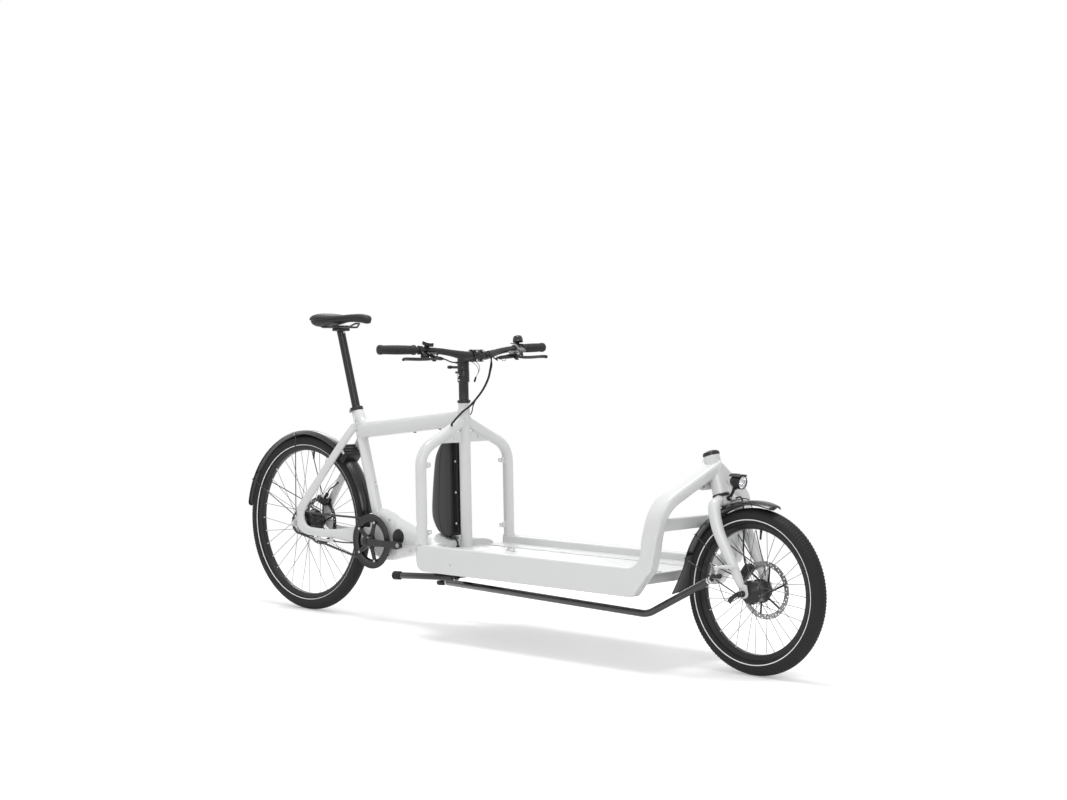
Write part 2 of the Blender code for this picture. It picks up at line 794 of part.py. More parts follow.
def crank_arm(side, forward):
    """A forged arm, waisted between its round ends, with the pedal hole through its tip."""
    path = []
    sizes = []
    for t, width, depth in (
        (-0.105, 0.009, 0.0058), (-0.07, 0.0165, 0.0070), (0.0, 0.0185, 0.0070), (0.12, 0.0150, 0.0066),
        (0.45, 0.0115, 0.0058), (0.80, 0.0120, 0.0056), (0.95, 0.0145, 0.0058), (1.02, 0.0135, 0.0056),
        (1.07, 0.0075, 0.0045),
    ):
        path.append(BB + Vector((forward * t * CRANK_LENGTH, side * CRANK_Y, 0)))
        sizes.append((width, depth))
    arm = sweep(path, sizes, Y_AXIS, points=8, power=3.0)
    tip = BB + Vector((forward * CRANK_LENGTH, side * CRANK_Y, 0))
    reach = Y_AXIS * 0.02
    return cut(arm, rod(tip - reach, tip + reach, 0.0072, 12))


def build_cranks():
    right = crank_arm(-1, 1)
    spindle_end = CRANK_Y - 0.006
    spindle = rod(BB - Y_AXIS * spindle_end, BB + Y_AXIS * (CRANK_Y - 0.016 - SEAM), SPINDLE_RADIUS, 16)
    boss = rod(BB - Y_AXIS * 0.0602, BB - Y_AXIS * CRANK_Y, 0.0195, 16)
    join(right, spindle, boss)
    arm_y = -CHAIN_Y - 0.0078 - 0.0012 - SEAM - 0.0020
    star = []
    for i in range(SPIDER_ARMS):
        angle = math.tau * i / SPIDER_ARMS
        corners = ((-0.11, 0.0780), (0.11, 0.0780), (0.30, 0.0240), (math.tau / SPIDER_ARMS - 0.30, 0.0240))
        for turn, radius in corners:
            star.append((radius * math.cos(angle + turn), radius * math.sin(angle + turn)))
    join(right, plate([star], 0.0040, side_plane(BB.x, arm_y, BB.z)))
    piece(right, "right_crank", BLACK_METAL, CRANKS)
    left = crank_arm(1, -1)
    left_boss = rod(BB + Y_AXIS * (CRANK_Y - 0.016), BB + Y_AXIS * CRANK_Y, 0.0185, 16)
    piece(join(left, left_boss), "left_crank", BLACK_METAL, CRANKS)


# Frame


def seat_tube_cutter():
    low = seat_point(SEAT_TUBE_LOW_Z) - SEAT_AXIS * SEAM
    return rod(low, SEAT_TUBE_TOP + SEAT_AXIS * 0.05, SEAT_TUBE_RADIUS + SEAM, 16)


def build_seat_tube():
    tube = rod(seat_point(SEAT_TUBE_LOW_Z), SEAT_TUBE_TOP, SEAT_TUBE_RADIUS, 16)
    bore = rod(
        SEAT_TUBE_TOP - SEAT_AXIS * SEAT_TUBE_BORE_DEPTH, SEAT_TUBE_TOP + SEAT_AXIS * 0.02,
        SEATPOST_RADIUS + RUNNING, 16,
    )
    cut(tube, bore)
    piece(tube, "seat_tube", FRAME_PAINT, ROOT)


def build_seat_collar():
    """A clamp band round the seat tube's end, with two ears and a bolt behind."""
    height = 0.013
    low = SEAT_TUBE_TOP - SEAT_AXIS * (height - 0.003)
    inner = around(SEAT_TUBE_RADIUS + SEAM, 14)
    band = turned(
        [(inner + 0.0042, height), (inner + 0.0042, 0.0), (inner, 0.0), (inner, height)],
        low, SEAT_AXIS, 14, closed=True,
    )
    back = Vector((-SEAT_AXIS.z, 0, SEAT_AXIS.x))
    ears_at = low + SEAT_AXIS * height / 2 + back * (inner + 0.0085)
    turn = Matrix.Rotation(SEAT_ANGLE - math.pi / 2, 4, "Y")
    ears = box((0.013, 0.015, 0.011), ears_at, turn)
    bolt = rod(ears_at + back * 0.001 - Y_AXIS * 0.012, ears_at + back * 0.001 + Y_AXIS * 0.012, 0.0042, 8)
    join(band, ears, bolt)
    piece(band, "seat_collar", BLACK_METAL, ROOT)


def top_tube_shape(grow=0.0):
    path = [seat_point(TOP_TUBE_REAR_Z), column_point(TOP_TUBE_FRONT_Z)]
    sizes = [(TOP_TUBE_HALF_WIDTH + grow, TOP_TUBE_HALF_HEIGHT + grow)] * 2
    return sweep(path, sizes, Z_AXIS, points=16, power=2.6)


def build_top_tube():
    start = seat_point(TOP_TUBE_REAR_Z)
    end = column_point(TOP_TUBE_FRONT_Z)
    tube = top_tube_shape()
    cut(tube, seat_tube_cutter(), head_tube_cutter())
    boss_one = lerp(start, end, 0.535)
    boss_two = lerp(start, end, 0.775)
    for boss in (boss_one, boss_two):
        low = boss - Z_AXIS * (TOP_TUBE_HALF_HEIGHT + 0.004)
        join(tube, rod(low, low + Z_AXIS * 0.008, 0.0050, 8))
    piece(tube, "top_tube", FRAME_PAINT, ROOT)


def head_tube_cutter():
    return rod(
        column_point(HEAD_TUBE_BOTTOM_Z) - COLUMN_AXIS * 0.02, COLUMN_TOP + COLUMN_AXIS * 0.02,
        HEAD_TUBE_RADIUS + SEAM, 16,
    )


def build_head_tube():
    tube = rod(column_point(HEAD_TUBE_BOTTOM_Z), COLUMN_TOP, HEAD_TUBE_RADIUS, 16)
    bore = rod(
        column_point(HEAD_TUBE_BOTTOM_Z) - COLUMN_AXIS * 0.01, COLUMN_TOP + COLUMN_AXIS * 0.01,
        COLUMN_RADIUS + RUNNING, 16,
    )
    cut(tube, bore)
    piece(tube, "steering_head_tube", FRAME_PAINT, ROOT)


def build_shoulders():
    """A tube up from the bed rail that bends inward to the head tube, with two eyelet tabs and a gusset."""
    side = -1
    edge = side * (BED_WIDTH / 2 - SHOULDER_RADIUS)
    corner_z = SHOULDER_JOIN_Z - (abs(edge) - HEAD_TUBE_RADIUS) * math.tan(SHOULDER_SLOPE)
    inner_z = SHOULDER_JOIN_Z + HEAD_TUBE_RADIUS * math.tan(SHOULDER_SLOPE)

    def at(y, z):
        return Vector((column_point(z).x, y, z))

    path = rounded_path([at(edge, BED_TOP_Z - 0.005), at(edge, corner_z), at(0.0, inner_z)], SHOULDER_BEND, 4)
    path[-1] = lerp(path[-2], path[-1], 0.93)
    tube = wire(path, SHOULDER_RADIUS, sides=10)
    inward = -side
    for z in (0.593, 0.363):
        tab = plate(
            [[(0, -0.012), (0.026, -0.007), (0.031, 0.0), (0.026, 0.007), (0, 0.012)],
             circle(0.0035, 6, (0.0235, 0))],
            0.005,
            Matrix.Translation(at(edge - side * (SHOULDER_RADIUS - 0.004), z))
            @ (Matrix.Rotation(math.pi if inward < 0 else 0, 4, "Z"))
            @ Matrix.Rotation(math.pi / 2, 4, "Z") @ Matrix.Rotation(math.pi / 2, 4, "X"),
        )
        join(tube, tab)
    gusset_low = 0.666
    gusset_high = 0.694
    reach = abs(edge) - 0.078
    outline = [
        (0.010, gusset_low), (reach, gusset_low), (reach - 0.035, gusset_high + 0.004), (0.010, gusset_high + 0.004),
    ]
    outline = [(inward * -1 * u, v) for u, v in outline]
    turn = Matrix.Rotation(math.pi / 2, 4, "Z") @ Matrix.Rotation(math.pi / 2, 4, "X")
    hole = [circle(0.004, 8, (-inward * 0.066, 0.680))]
    gusset = plate([outline, *hole], 0.008, Matrix.Translation((column_point(0.68).x, 0, 0)) @ turn)
    tube = as_mesh(join(tube, gusset))
    cut(tube, head_tube_cutter(), top_tube_shape(SEAM * 1.2), below(BED_TOP_Z + SEAM, at(edge, 0)))
    piece(mirrored(tube), "left_shoulder_tube", FRAME_PAINT, ROOT)
    piece(tube, "right_shoulder_tube", FRAME_PAINT, ROOT)


def housing_sections():
    """Stations of the motor housing: x, bottom, top and half width, from behind the cranks to the bed."""
    bed_end = BED_REAR_X - SEAM
    flank = CHAIN_Y - CHAIN_WIDTH / 2 - 0.0030
    return [
        (BB_X - 0.047, BB_Z - 0.026, BB_Z + 0.030, 0.026),
        (BB_X - 0.030, BB_Z - 0.052, BB_Z + 0.075, 0.036),
        (BB_X + 0.013, BB_Z - 0.066, BB_Z + 0.118, flank - 0.001),
        (BB_X + 0.060, BB_Z - 0.068, BB_Z + 0.112, flank),
        (BB_X + 0.098, BB_Z - 0.060, BB_Z + 0.100, flank),
        (BB_X + 0.130, BB_Z - 0.053, BB_Z + 0.091, 0.050),
        (BB_X + 0.213, BB_Z - 0.034, BB_Z + 0.073, 0.062),
        (BB_X + 0.320, BB_Z - 0.026, BB_Z + 0.052, 0.092),
        (bed_end - 0.030, BED_BOTTOM_Z + 0.022, BED_TOP_Z - 0.003, 0.135),
        (bed_end, BED_BOTTOM_Z + 0.020, BED_TOP_Z - 0.002, 0.150),
    ]


def build_motor_housing():
    rings = []
    for x, low, high, half in housing_sections():
        rings.append(oval((x, 0, (low + high) / 2), Y_AXIS, Z_AXIS, half, (high - low) / 2, points=12, power=3.2))
    housing = loft(rings)
    spindle = rod(BB - Y_AXIS * 0.1, BB + Y_AXIS * 0.1, SPINDLE_RADIUS + RUNNING, 16)
    pocket = rod((COVER_X, -COVER_Y + 0.0055, COVER_Z), (COVER_X, -0.1, COVER_Z), around(COVER_RADIUS + SEAM, 20), 20)
    cut(housing, seat_tube_cutter(), head_tube_cutter(), spindle, pocket)
    for side in (-1, 1):
        cut(housing, stay_end_cutter(side))
    piece(housing, "motor_housing", FRAME_PAINT, ROOT)


def build_motor_cover():
    """A domed cap over the motor's end, on the right face of the housing."""
    cap = turned(
        [(0.0, 0.0115), (COVER_RADIUS * 0.5, 0.0110), (COVER_RADIUS * 0.82, 0.0085), (COVER_RADIUS, 0.0035),
         (COVER_RADIUS, -0.0052), (0.0, -0.0052)],
        (COVER_X, -COVER_Y, COVER_Z), -Y_AXIS, 16,
    )
    return cap


def stay_path(side):
    """The stay's centre line: down from the seat tube, round the dropout and forward to the housing."""
    top = seat_point(0.700)
    return [
        Vector((top.x - 0.002, side * (SEAT_TUBE_RADIUS + 0.006), top.z)),
        Vector((0.245, side * 0.0385, 0.6505)),
        Vector((0.190, side * 0.0475, 0.5830)),
        Vector((0.105, side * 0.0580, 0.4790)),
        REAR_AXLE + Vector((0.046, side * STAY_Y, 0.0765)),
        REAR_AXLE + Vector((0.0235, side * STAY_Y, 0.0405)),
        REAR_AXLE + Vector((0.0270, side * STAY_Y, 0.0045)),
        REAR_AXLE + Vector((0.0580, side * STAY_Y, -0.0205)),
        REAR_AXLE + Vector((0.110, side * 0.0620, -0.0265)),
        Vector((0.200, side * 0.0500, 0.3020)),
        Vector((0.290, side * 0.0385, 0.3030)),
        Vector((0.345, side * 0.0370, 0.3030)),
        Vector((BB_X - 0.022, side * 0.0340, 0.3030)),
    ]


def stay_sizes():
    """Half thickness across the bike and half depth in the side view, at each point of the stay's path."""
    thin = STAY_THICKNESS / 2
    return [
        (0.0150, thin), (0.0155, thin), (0.0160, thin), (0.0165, thin), (0.0175, thin), (0.0215, thin),
        (0.0225, thin), (0.0170, thin), (0.0150, thin), (0.0170, thin * 0.93), (0.0290, thin * 0.8),
        (0.0330, thin * 0.8), (0.0330, thin * 0.8),
    ]


def stay_end_cutter(side):
    """The pocket in the housing that takes the stay's front end."""
    path = stay_path(side)[-3:]
    sizes = [(a + SEAM, b + SEAM) for a, b in stay_sizes()[-3:]]
    path[-1] = path[-1] + X_AXIS * SEAM
    return sweep(path, sizes, Y_AXIS, points=8, power=3.0)


def bridge_place():
    """Where the stays cross the bridge's radius: its angle round the rear axle, a little ahead, and its half span."""
    radius = REAR_FENDER_RADIUS + BRIDGE_RISE
    path = stay_path(1)
    for above, below_it in zip(path, path[1:]):
        far = math.hypot(above.x - REAR_AXLE.x, above.z - REAR_AXLE.z)
        near = math.hypot(below_it.x - REAR_AXLE.x, below_it.z - REAR_AXLE.z)
        if near <= radius <= far:
            meet = lerp(below_it, above, (radius - near) / (far - near))
            return math.atan2(meet.z - REAR_AXLE.z, meet.x - REAR_AXLE.x) - BRIDGE_LEAD, meet.y - 0.004
    raise ValueError("the stays don't cross the fender's bridge")


def bridge_half():
    """Half of the flat bridge over the fender pad, from the right stay to the middle plane."""
    angle, reach = bridge_place()
    out = Vector((math.cos(angle), 0, math.sin(angle)))
    high = REAR_AXLE + out * (REAR_FENDER_RADIUS + BRIDGE_RISE)
    turn = Matrix.Rotation(math.pi / 2 - angle, 4, "Y")
    return box((0.026, reach - SEAM / 2, 0.012), high - Y_AXIS * (reach / 2 + SEAM / 4), turn)


def build_stays():
    side = -1
    stay = sweep(stay_path(side), stay_sizes(), Y_AXIS, points=8, power=3.0)
    tab = plate(
        [[(0.030, 0.020), (0.004, 0.0155), (-0.011, 0.0110), (-0.0155, 0.0), (-0.011, -0.0110), (0.004, -0.0155),
          (0.034, -0.012)]],
        0.007, side_plane(REAR_AXLE.x, side * STAY_Y, REAR_AXLE.z),
    )
    join(stay, tab, bridge_half())
    reach = Y_AXIS * 0.1
    cut(
        stay, rod(REAR_AXLE - reach, REAR_AXLE + reach, REAR_AXLE_RADIUS + SEAM, 12), seat_tube_cutter(),
        top_tube_shape(SEAM * 1.2),
    )
    piece(mirrored(stay), "left_rear_stay", FRAME_PAINT, ROOT)
    piece(stay, "right_rear_stay", FRAME_PAINT, ROOT)


def rail_outline():
    """The bed rail in the side view: square bottom, and a sweep up at the front into the arch."""
    outline = [(BED_REAR_X, BED_TOP_Z), (BED_REAR_X, BED_BOTTOM_Z + 0.037)]
    for i in range(1, 5):
        a = math.pi + math.pi / 2 * i / 4
        outline.append((BED_REAR_X + 0.037 + 0.037 * math.cos(a), BED_BOTTOM_Z + 0.037 + 0.037 * math.sin(a)))
    front = arch_path(1)[1]
    rear_edge = front.x - ARCH_FOOT_DEPTH / 2
    front_edge = front.x + ARCH_FOOT_DEPTH / 2
    outline += [
        (BED_FRONT_X - 0.012, BED_BOTTOM_Z), (BED_FRONT_X + 0.002, BED_BOTTOM_Z + 0.006),
        (BED_FRONT_X + 0.059, BED_BOTTOM_Z + 0.070), (BED_FRONT_X + 0.077, BED_BOTTOM_Z + 0.086),
        (front_edge - 0.010, BED_BOTTOM_Z + 0.118), (front_edge, ARCH_SPLIT_Z - SEAM),
        (rear_edge, ARCH_SPLIT_Z - SEAM),
    ]
    fillet = 0.058
    corner_x = rear_edge - 0.001
    for i in range(6):
        a = math.pi / 2 * i / 5
        outline.append((corner_x - fillet + fillet * math.cos(a), BED_TOP_Z + fillet - fillet * math.sin(a)))
    return outline


def build_rail(side):
    rail = plate([rail_outline()], RAIL_WIDTH, side_plane(y=side * (BED_WIDTH / 2 - RAIL_WIDTH / 2)))
    rail = rounded(rail, 0.0045, 1, 50)
    piece(rail, "right_bed_rail" if side < 0 else "left_bed_rail", FRAME_PAINT, ROOT)


def build_floor():
    """The recessed floor sheet on its cross members, with the front beam and a lashing hook."""
    inner = BED_WIDTH - 2 * (RAIL_WIDTH + SEAM)
    start = BED_REAR_X
    end = BED_FRONT_X + 0.012
    length = end - start
    middle = (start + end) / 2
    floor = box((length, inner, FLOOR_THICKNESS), (middle, 0, FLOOR_TOP_Z - FLOOR_THICKNESS / 2))
    low = FLOOR_TOP_Z - FLOOR_THICKNESS / 2
    members = [start + MEMBER_WIDTH / 2, 1.030, 1.250, BED_FRONT_X - 0.324, BED_FRONT_X - 0.134]
    for x in members:
        join(floor, box((MEMBER_WIDTH, inner, MEMBER_DEPTH), (x, 0, low - MEMBER_DEPTH / 2)))
    join(floor, box((0.024, inner, low - 0.263), (FRONT_BEAM_X, 0, (low + 0.263) / 2)))
    for y in (-0.09, 0.09):
        join(floor, box((length - 0.02, 0.010, 0.0045), (middle, y, FLOOR_TOP_Z + 0.001)))
    hook = wire(
        rounded_path([(1.030, 0.012, FLOOR_TOP_Z - 0.002), (1.030, 0.012, FLOOR_TOP_Z + 0.010),
                      (1.072, -0.004, FLOOR_TOP_Z + 0.013), (1.072, -0.004, FLOOR_TOP_Z - 0.002)], 0.004, 2),
        0.0022, sides=4,
    )
    join(floor, hook)
    cut(floor, head_tube_cutter())
    piece(floor, "bed_floor", FRAME_PAINT, ROOT)


def arch_path(side):
    """The arch's centre line: up from the rail, then inward and up to the front head tube."""
    y = side * (BED_WIDTH / 2 - ARCH_WIDTH / 2)
    head = front_head_point(0.632)
    foot = Vector((WHEELBASE - ARCH_SETBACK, y, ARCH_SPLIT_Z))
    knee = foot + Vector((0.0300, side * -0.002, 0.1190))
    inner = Vector((head.x, side * -0.012, head.z + 0.007))
    path = rounded_path([foot, knee, inner], ARCH_BEND, 5)
    path.insert(0, foot - Z_AXIS * 0.012)
    return path


def arch_sizes(count, grow=0.0):
    sizes = []
    for i in range(count):
        t = i / (count - 1)
        depth = ARCH_FOOT_DEPTH + (ARCH_HEAD_DEPTH - ARCH_FOOT_DEPTH) * min(t / 0.7, 1.0)
        sizes.append((ARCH_WIDTH / 2 + grow, depth / 2 + grow))
    return sizes


def build_arch(side):
    path = arch_path(side)
    arch = sweep(path, arch_sizes(len(path)), X_AXIS, points=10, power=3.4)
    head_x = front_head_point(0.580).x
    gusset_plane = head_x - 0.030
    turn = Matrix.Rotation(math.pi / 2, 4, "Z") @ Matrix.Rotation(math.pi / 2, 4, "X")
    outline = [(0.012, 0.560), (0.012, 0.625), (0.055, 0.600), (0.085, 0.575), (0.045, 0.562)]
    outline = [(side * u, v) for u, v in outline]
    hole = circle(0.0045, 8, (side * 0.040, 0.5735))
    gusset = plate([outline, hole], 0.007, Matrix.Translation((gusset_plane, 0, 0)) @ turn)
    join(arch, gusset)
    other_side = box((0.3, 0.1, 0.4), (head_x, -side * (0.05 - SEAM / 2), 0.6))
    cut(arch, front_head_cutter(), below(ARCH_SPLIT_Z, path[0]), other_side)
    piece(arch, "right_front_arch" if side < 0 else "left_front_arch", FRAME_PAINT, ROOT)


def build_cross_bar():
    """The bar between the arches, coped to them."""
    x = WHEELBASE - 0.2260
    half = BED_WIDTH / 2 - ARCH_WIDTH + 0.012
    bar = rounded(box((CROSS_BAR_DEPTH, 2 * half, CROSS_BAR_HEIGHT), (x, 0, CROSS_BAR_Z)), 0.004)
    for side in (-1, 1):
        path = arch_path(side)
        cut(bar, sweep(path, arch_sizes(len(path), SEAM * 1.7), X_AXIS, points=10, power=3.4))
    piece(bar, "front_cross_bar", FRAME_PAINT, ROOT)


def front_head_cutter():
    reach = FRONT_HEAD_AXIS * 0.04
    return rod(FRONT_HEAD_BOTTOM - reach, FRONT_HEAD_TOP + reach, FRONT_HEAD_RADIUS + SEAM, 16)


def build_front_head():
    cap = 0.0150
    top = FRONT_HEAD_TOP - FRONT_HEAD_AXIS * cap
    head = rod(FRONT_HEAD_BOTTOM, top, FRONT_HEAD_RADIUS, 16)
    reach = FRONT_HEAD_AXIS * 0.01
    cut(head, rod(FRONT_HEAD_BOTTOM - reach, top + reach, STEERER_RADIUS + RUNNING, 16))
    piece(head, "front_head_tube", FRAME_PAINT, ROOT)
    lid = turned(
        [(0.0, cap + 0.001), (0.012, cap + 0.0005), (0.0245, cap - 0.004), (0.0270, cap - 0.009), (0.0270, 0.0),
         (0.0, 0.0)],
        top + FRONT_HEAD_AXIS * SEAM, FRONT_HEAD_AXIS, 16,
    )
    piece(lid, "front_head_cap", BLACK_METAL, FORK)


# Fork and what it carries


def build_fork():
    """A unicrown fork: two legs that spring from the steerer, shoulder outward and run to the dropouts."""
    crown = FRONT_HEAD_BOTTOM - FRONT_HEAD_AXIS * 0.004
    top = FRONT_HEAD_TOP - FRONT_HEAD_AXIS * 0.016
    fork = rod(crown - FRONT_HEAD_AXIS * 0.025, top, STEERER_RADIUS, 16)
    race = rod(FRONT_HEAD_BOTTOM - FRONT_HEAD_AXIS * 0.0090, FRONT_HEAD_BOTTOM - FRONT_HEAD_AXIS * SEAM, 0.0275, 16)
    neck = rod(FORK_NECK_END, crown - FRONT_HEAD_AXIS * 0.003, 0.0190, 12, 0.0235)
    join(fork, race, neck)
    for side in (-1, 1):
        low = crown - FRONT_HEAD_AXIS * 0.015
        path = smooth_path(
            [low + Y_AXIS * side * 0.004, low + Vector((0.008, side * 0.038, -0.002)),
             Vector((WHEELBASE - 0.1100, side * 0.0650, 0.4900)), Vector((WHEELBASE - 0.0920, side * 0.0690, 0.4420)),
             Vector((WHEELBASE - 0.0390, side * FORK_HALF_WIDTH, 0.3420)),
             Vector((WHEELBASE - 0.0070, side * (FORK_HALF_WIDTH - 0.004), 0.2750))],
            2,
        )
        count = len(path)
        radii = [FORK_TOP_RADIUS + (FORK_TIP_RADIUS - FORK_TOP_RADIUS) * max(0, i / (count - 1) - 0.2) / 0.8
                 for i in range(count)]
        radii[:3] = [0.0120, 0.0145, 0.0165]
        leg = wire(path, FORK_TOP_RADIUS, sides=8, radii=radii)
        tab = plate(
            [[(-0.020, 0.030), (0.006, 0.024), (0.0145, 0.004), (0.010, -0.010), (-0.004, -0.0135), (-0.014, -0.006),
              (-0.020, 0.006)]],
            0.0065, side_plane(FRONT_AXLE.x, side * (FORK_HALF_WIDTH - 0.004), FRONT_AXLE.z),
        )
        join(fork, leg, tab)
    reach = Y_AXIS * 0.1
    cut(fork, rod(FRONT_AXLE - reach, FRONT_AXLE + reach, FRONT_AXLE_RADIUS + SEAM, 12))
    stud_top = FRONT_BALL.z + BALL_EYE_RADIUS + 0.008
    arm_z = stud_top + 0.001
    arm = sweep(
        [Vector((WHEELBASE - 0.0310, -FORK_HALF_WIDTH, 0.3300)), Vector((WHEELBASE - 0.0440, -0.0980, arm_z)),
         Vector((FRONT_BALL.x, ROD_Y, arm_z)), Vector((FRONT_BALL.x - 0.003, ROD_Y - 0.011, arm_z))],
        [(0.016, 0.005), (0.0130, 0.004), (0.0105, 0.004), (0.006, 0.004)], Z_AXIS, points=8, power=3.0,
    )
    stud = rod(FRONT_BALL, FRONT_BALL + Z_AXIS * (stud_top - FRONT_BALL.z + 0.006), 0.0045, 8)
    join(fork, arm, stud, ball(FRONT_BALL, BALL_RADIUS, 8, 6), caliper_post())
    piece(fork, "fork", FRAME_PAINT, FORK)


def fender_ring(centre, radius, angle, half_width):
    """The fender's section at an angle round its wheel: a thin arched strip, edges drawn in."""
    outward = Vector((math.cos(angle), 0, math.sin(angle)))
    ring = []
    outer = 5
    for skin, order in ((0.0, 1), (FENDER_SKIN, -1)):
        for i in range(outer):
            t = (i / (outer - 1) * 2 - 1) * order
            drop = FENDER_CROWN * abs(t) ** 2.4 + skin
            reach = half_width * t * (1 - skin / half_width)
            ring.append(centre + outward * (radius - drop) + Y_AXIS * reach)
    return ring


def fender(centre, radius, start, stop, steps, half_width):
    rings = []
    for i in range(steps + 1):
        angle = start + (stop - start) * i / steps
        rings.append(fender_ring(centre, radius, angle, half_width))
    return loft(rings)


def fender_edge(centre, radius, degrees, y):
    angle = math.radians(degrees)
    reach = radius - FENDER_CROWN - 0.0005
    return centre + Vector((math.cos(angle) * reach, y, math.sin(angle) * reach))


def build_front_fender():
    """The fender with its mudflap and two stays a side down to the fork's dropouts."""
    guard = fender(FRONT_AXLE, FRONT_FENDER_RADIUS, math.radians(73), math.radians(163), 9, FENDER_HALF_WIDTH)
    flap_rings = []
    stations = ((0.2595, 0.352, 0.0285), (0.2710, 0.310, 0.0310), (0.2930, 0.262, 0.0345), (0.3100, 0.228, 0.0370))
    for back, z, half in stations:
        out = Vector((-0.93, 0, 0.30)).normalized()
        ring = []
        for skin, order in ((0.0, 1), (0.0030, -1)):
            for i in range(5):
                t = (i / 2 - 1) * order
                ring.append(Vector((WHEELBASE - back, half * t, z)) - out * (0.006 * abs(t) ** 2 + skin))
        flap_rings.append(ring)
    join(guard, loft(flap_rings))
    wires = []
    for side in (-1, 1):
        foot = FRONT_AXLE + Vector((-0.0170, side * 0.0678, -0.0050))
        hook = fender_edge(FRONT_AXLE, FRONT_FENDER_RADIUS, 162, side * (FENDER_HALF_WIDTH - 0.001))
        out = hook + (hook - foot).normalized() * 0.004
        wires.append((out, foot))
        join(guard, rod(foot - Y_AXIS * side * 0.00225, foot + Y_AXIS * side * 0.0025, 0.0045, 6))
    for out, foot in wires:
        join(guard, rod(out, foot, 0.0016, 4))
    under = (FORK_NECK_END - FRONT_AXLE).length - FRONT_FENDER_RADIUS
    join(guard, rod(FORK_NECK_END - FRONT_HEAD_AXIS * (under + 0.0012), FORK_NECK_END - FRONT_HEAD_AXIS * SEAM,
                    0.0085, 8))
    piece(guard, "front_fender", BLACK_PLASTIC, FORK)


def caliper(centre, along, rotor_y, mount):
    """A brake caliper: a rounded block astride the rotor, with its mount lug."""
    body = rounded(box((0.050, 0.032, 0.026), (0, 0, 0)), 0.005)
    body.data.transform(Matrix.Translation(centre) @ Matrix.Rotation(along, 4, "Y"))
    slot = box((0.060, ROTOR_THICKNESS + 0.003, 0.0286), (0, 0, 0))
    slot.data.transform(Matrix.Translation((centre.x, rotor_y, centre.z)) @ Matrix.Rotation(along, 4, "Y")
                        @ Matrix.Translation((0, 0, -0.0078)))
    join(body, mount)
    return cut(body, slot)


def caliper_post(grow=0.0):
    """The post on the left fork leg that the caliper is bolted to."""
    start = Vector((WHEELBASE - 0.0280, 0.0640, 0.3240))
    end = Vector((WHEELBASE - 0.0670, 0.0562, 0.3190))
    return rod(start, end + (end - start).normalized() * grow, 0.0062 + grow, 8)


def build_front_caliper():
    toward = Vector((-0.80, 0, 0.60)).normalized()
    centre = FRONT_AXLE + toward * (ROTOR_RADIUS - 0.004) + Y_AXIS * (FRONT_ROTOR_Y - 0.002)
    along = -math.atan2(toward.z, toward.x) + math.pi / 2
    lug = rod(centre + Vector((-0.004, -0.006, 0.004)), centre + Vector((0.012, 0.006, 0.0185)), 0.0075, 8)
    body = caliper(centre, along, FRONT_ROTOR_Y, lug)
    cut(body, caliper_post(SEAM))
    piece(body, "front_caliper", BLACK_METAL, FORK)


def build_rear_caliper():
    toward = Vector((0.36, 0, 0.93)).normalized()
    centre = REAR_AXLE + toward * (ROTOR_RADIUS - 0.004) + Y_AXIS * (ROTOR_Y - 0.010)
    along = -math.atan2(toward.z, toward.x) + math.pi / 2
    lug = rod(centre + Vector((0.006, 0.002, 0.008)), centre + Vector((0.020, 0.002, 0.028)), 0.007, 8)
    body = caliper(centre, along, ROTOR_Y, lug)
    hose = wire(
        smooth_path([centre + Vector((0.018, 0.0, 0.022)), REAR_AXLE + Vector((0.075, 0.036, 0.1270)),
                     REAR_AXLE + Vector((0.100, 0.0345, 0.1360)), REAR_AXLE + Vector((0.117, 0.0390, 0.1515))], 2),
        0.0024, sides=4,
    )
    join(body, hose)
    piece(body, "rear_caliper", BLACK_METAL, ROOT)


def build_rear_fender():
    """The fender with its pad under the stays' bridge and two wires a side to the dropouts."""
    guard = fender(REAR_AXLE, REAR_FENDER_RADIUS, math.radians(9), math.radians(173), 15, FENDER_HALF_WIDTH)
    angle, _ = bridge_place()
    out = Vector((math.cos(angle), 0, math.sin(angle)))
    turn = Matrix.Rotation(math.pi / 2 - angle, 4, "Y")
    pad = box((0.060, 2 * FENDER_HALF_WIDTH, 0.018), REAR_AXLE + out * (REAR_FENDER_RADIUS - 0.004), turn)
    for side in (-1, 1):
        cut(pad, sweep(stay_path(side), [(a + SEAM, b + SEAM) for a, b in stay_sizes()], Y_AXIS, points=8, power=3.0))
    join(guard, pad)
    for side in (-1, 1):
        foot = REAR_AXLE + Vector((0.0100, side * (STAY_Y + STAY_THICKNESS / 2 + 0.0024), 0.0265))
        for degrees in (98, 154):
            edge = fender_edge(REAR_AXLE, REAR_FENDER_RADIUS, degrees, side * (FENDER_HALF_WIDTH - 0.001))
            join(guard, rod(edge + (edge - foot).normalized() * 0.004, foot, 0.0016, 4))
        join(guard, rod(foot - Y_AXIS * side * 0.0021, foot + Y_AXIS * side * 0.003, 0.0045, 6))
    piece(guard, "rear_fender", BLACK_PLASTIC, ROOT)


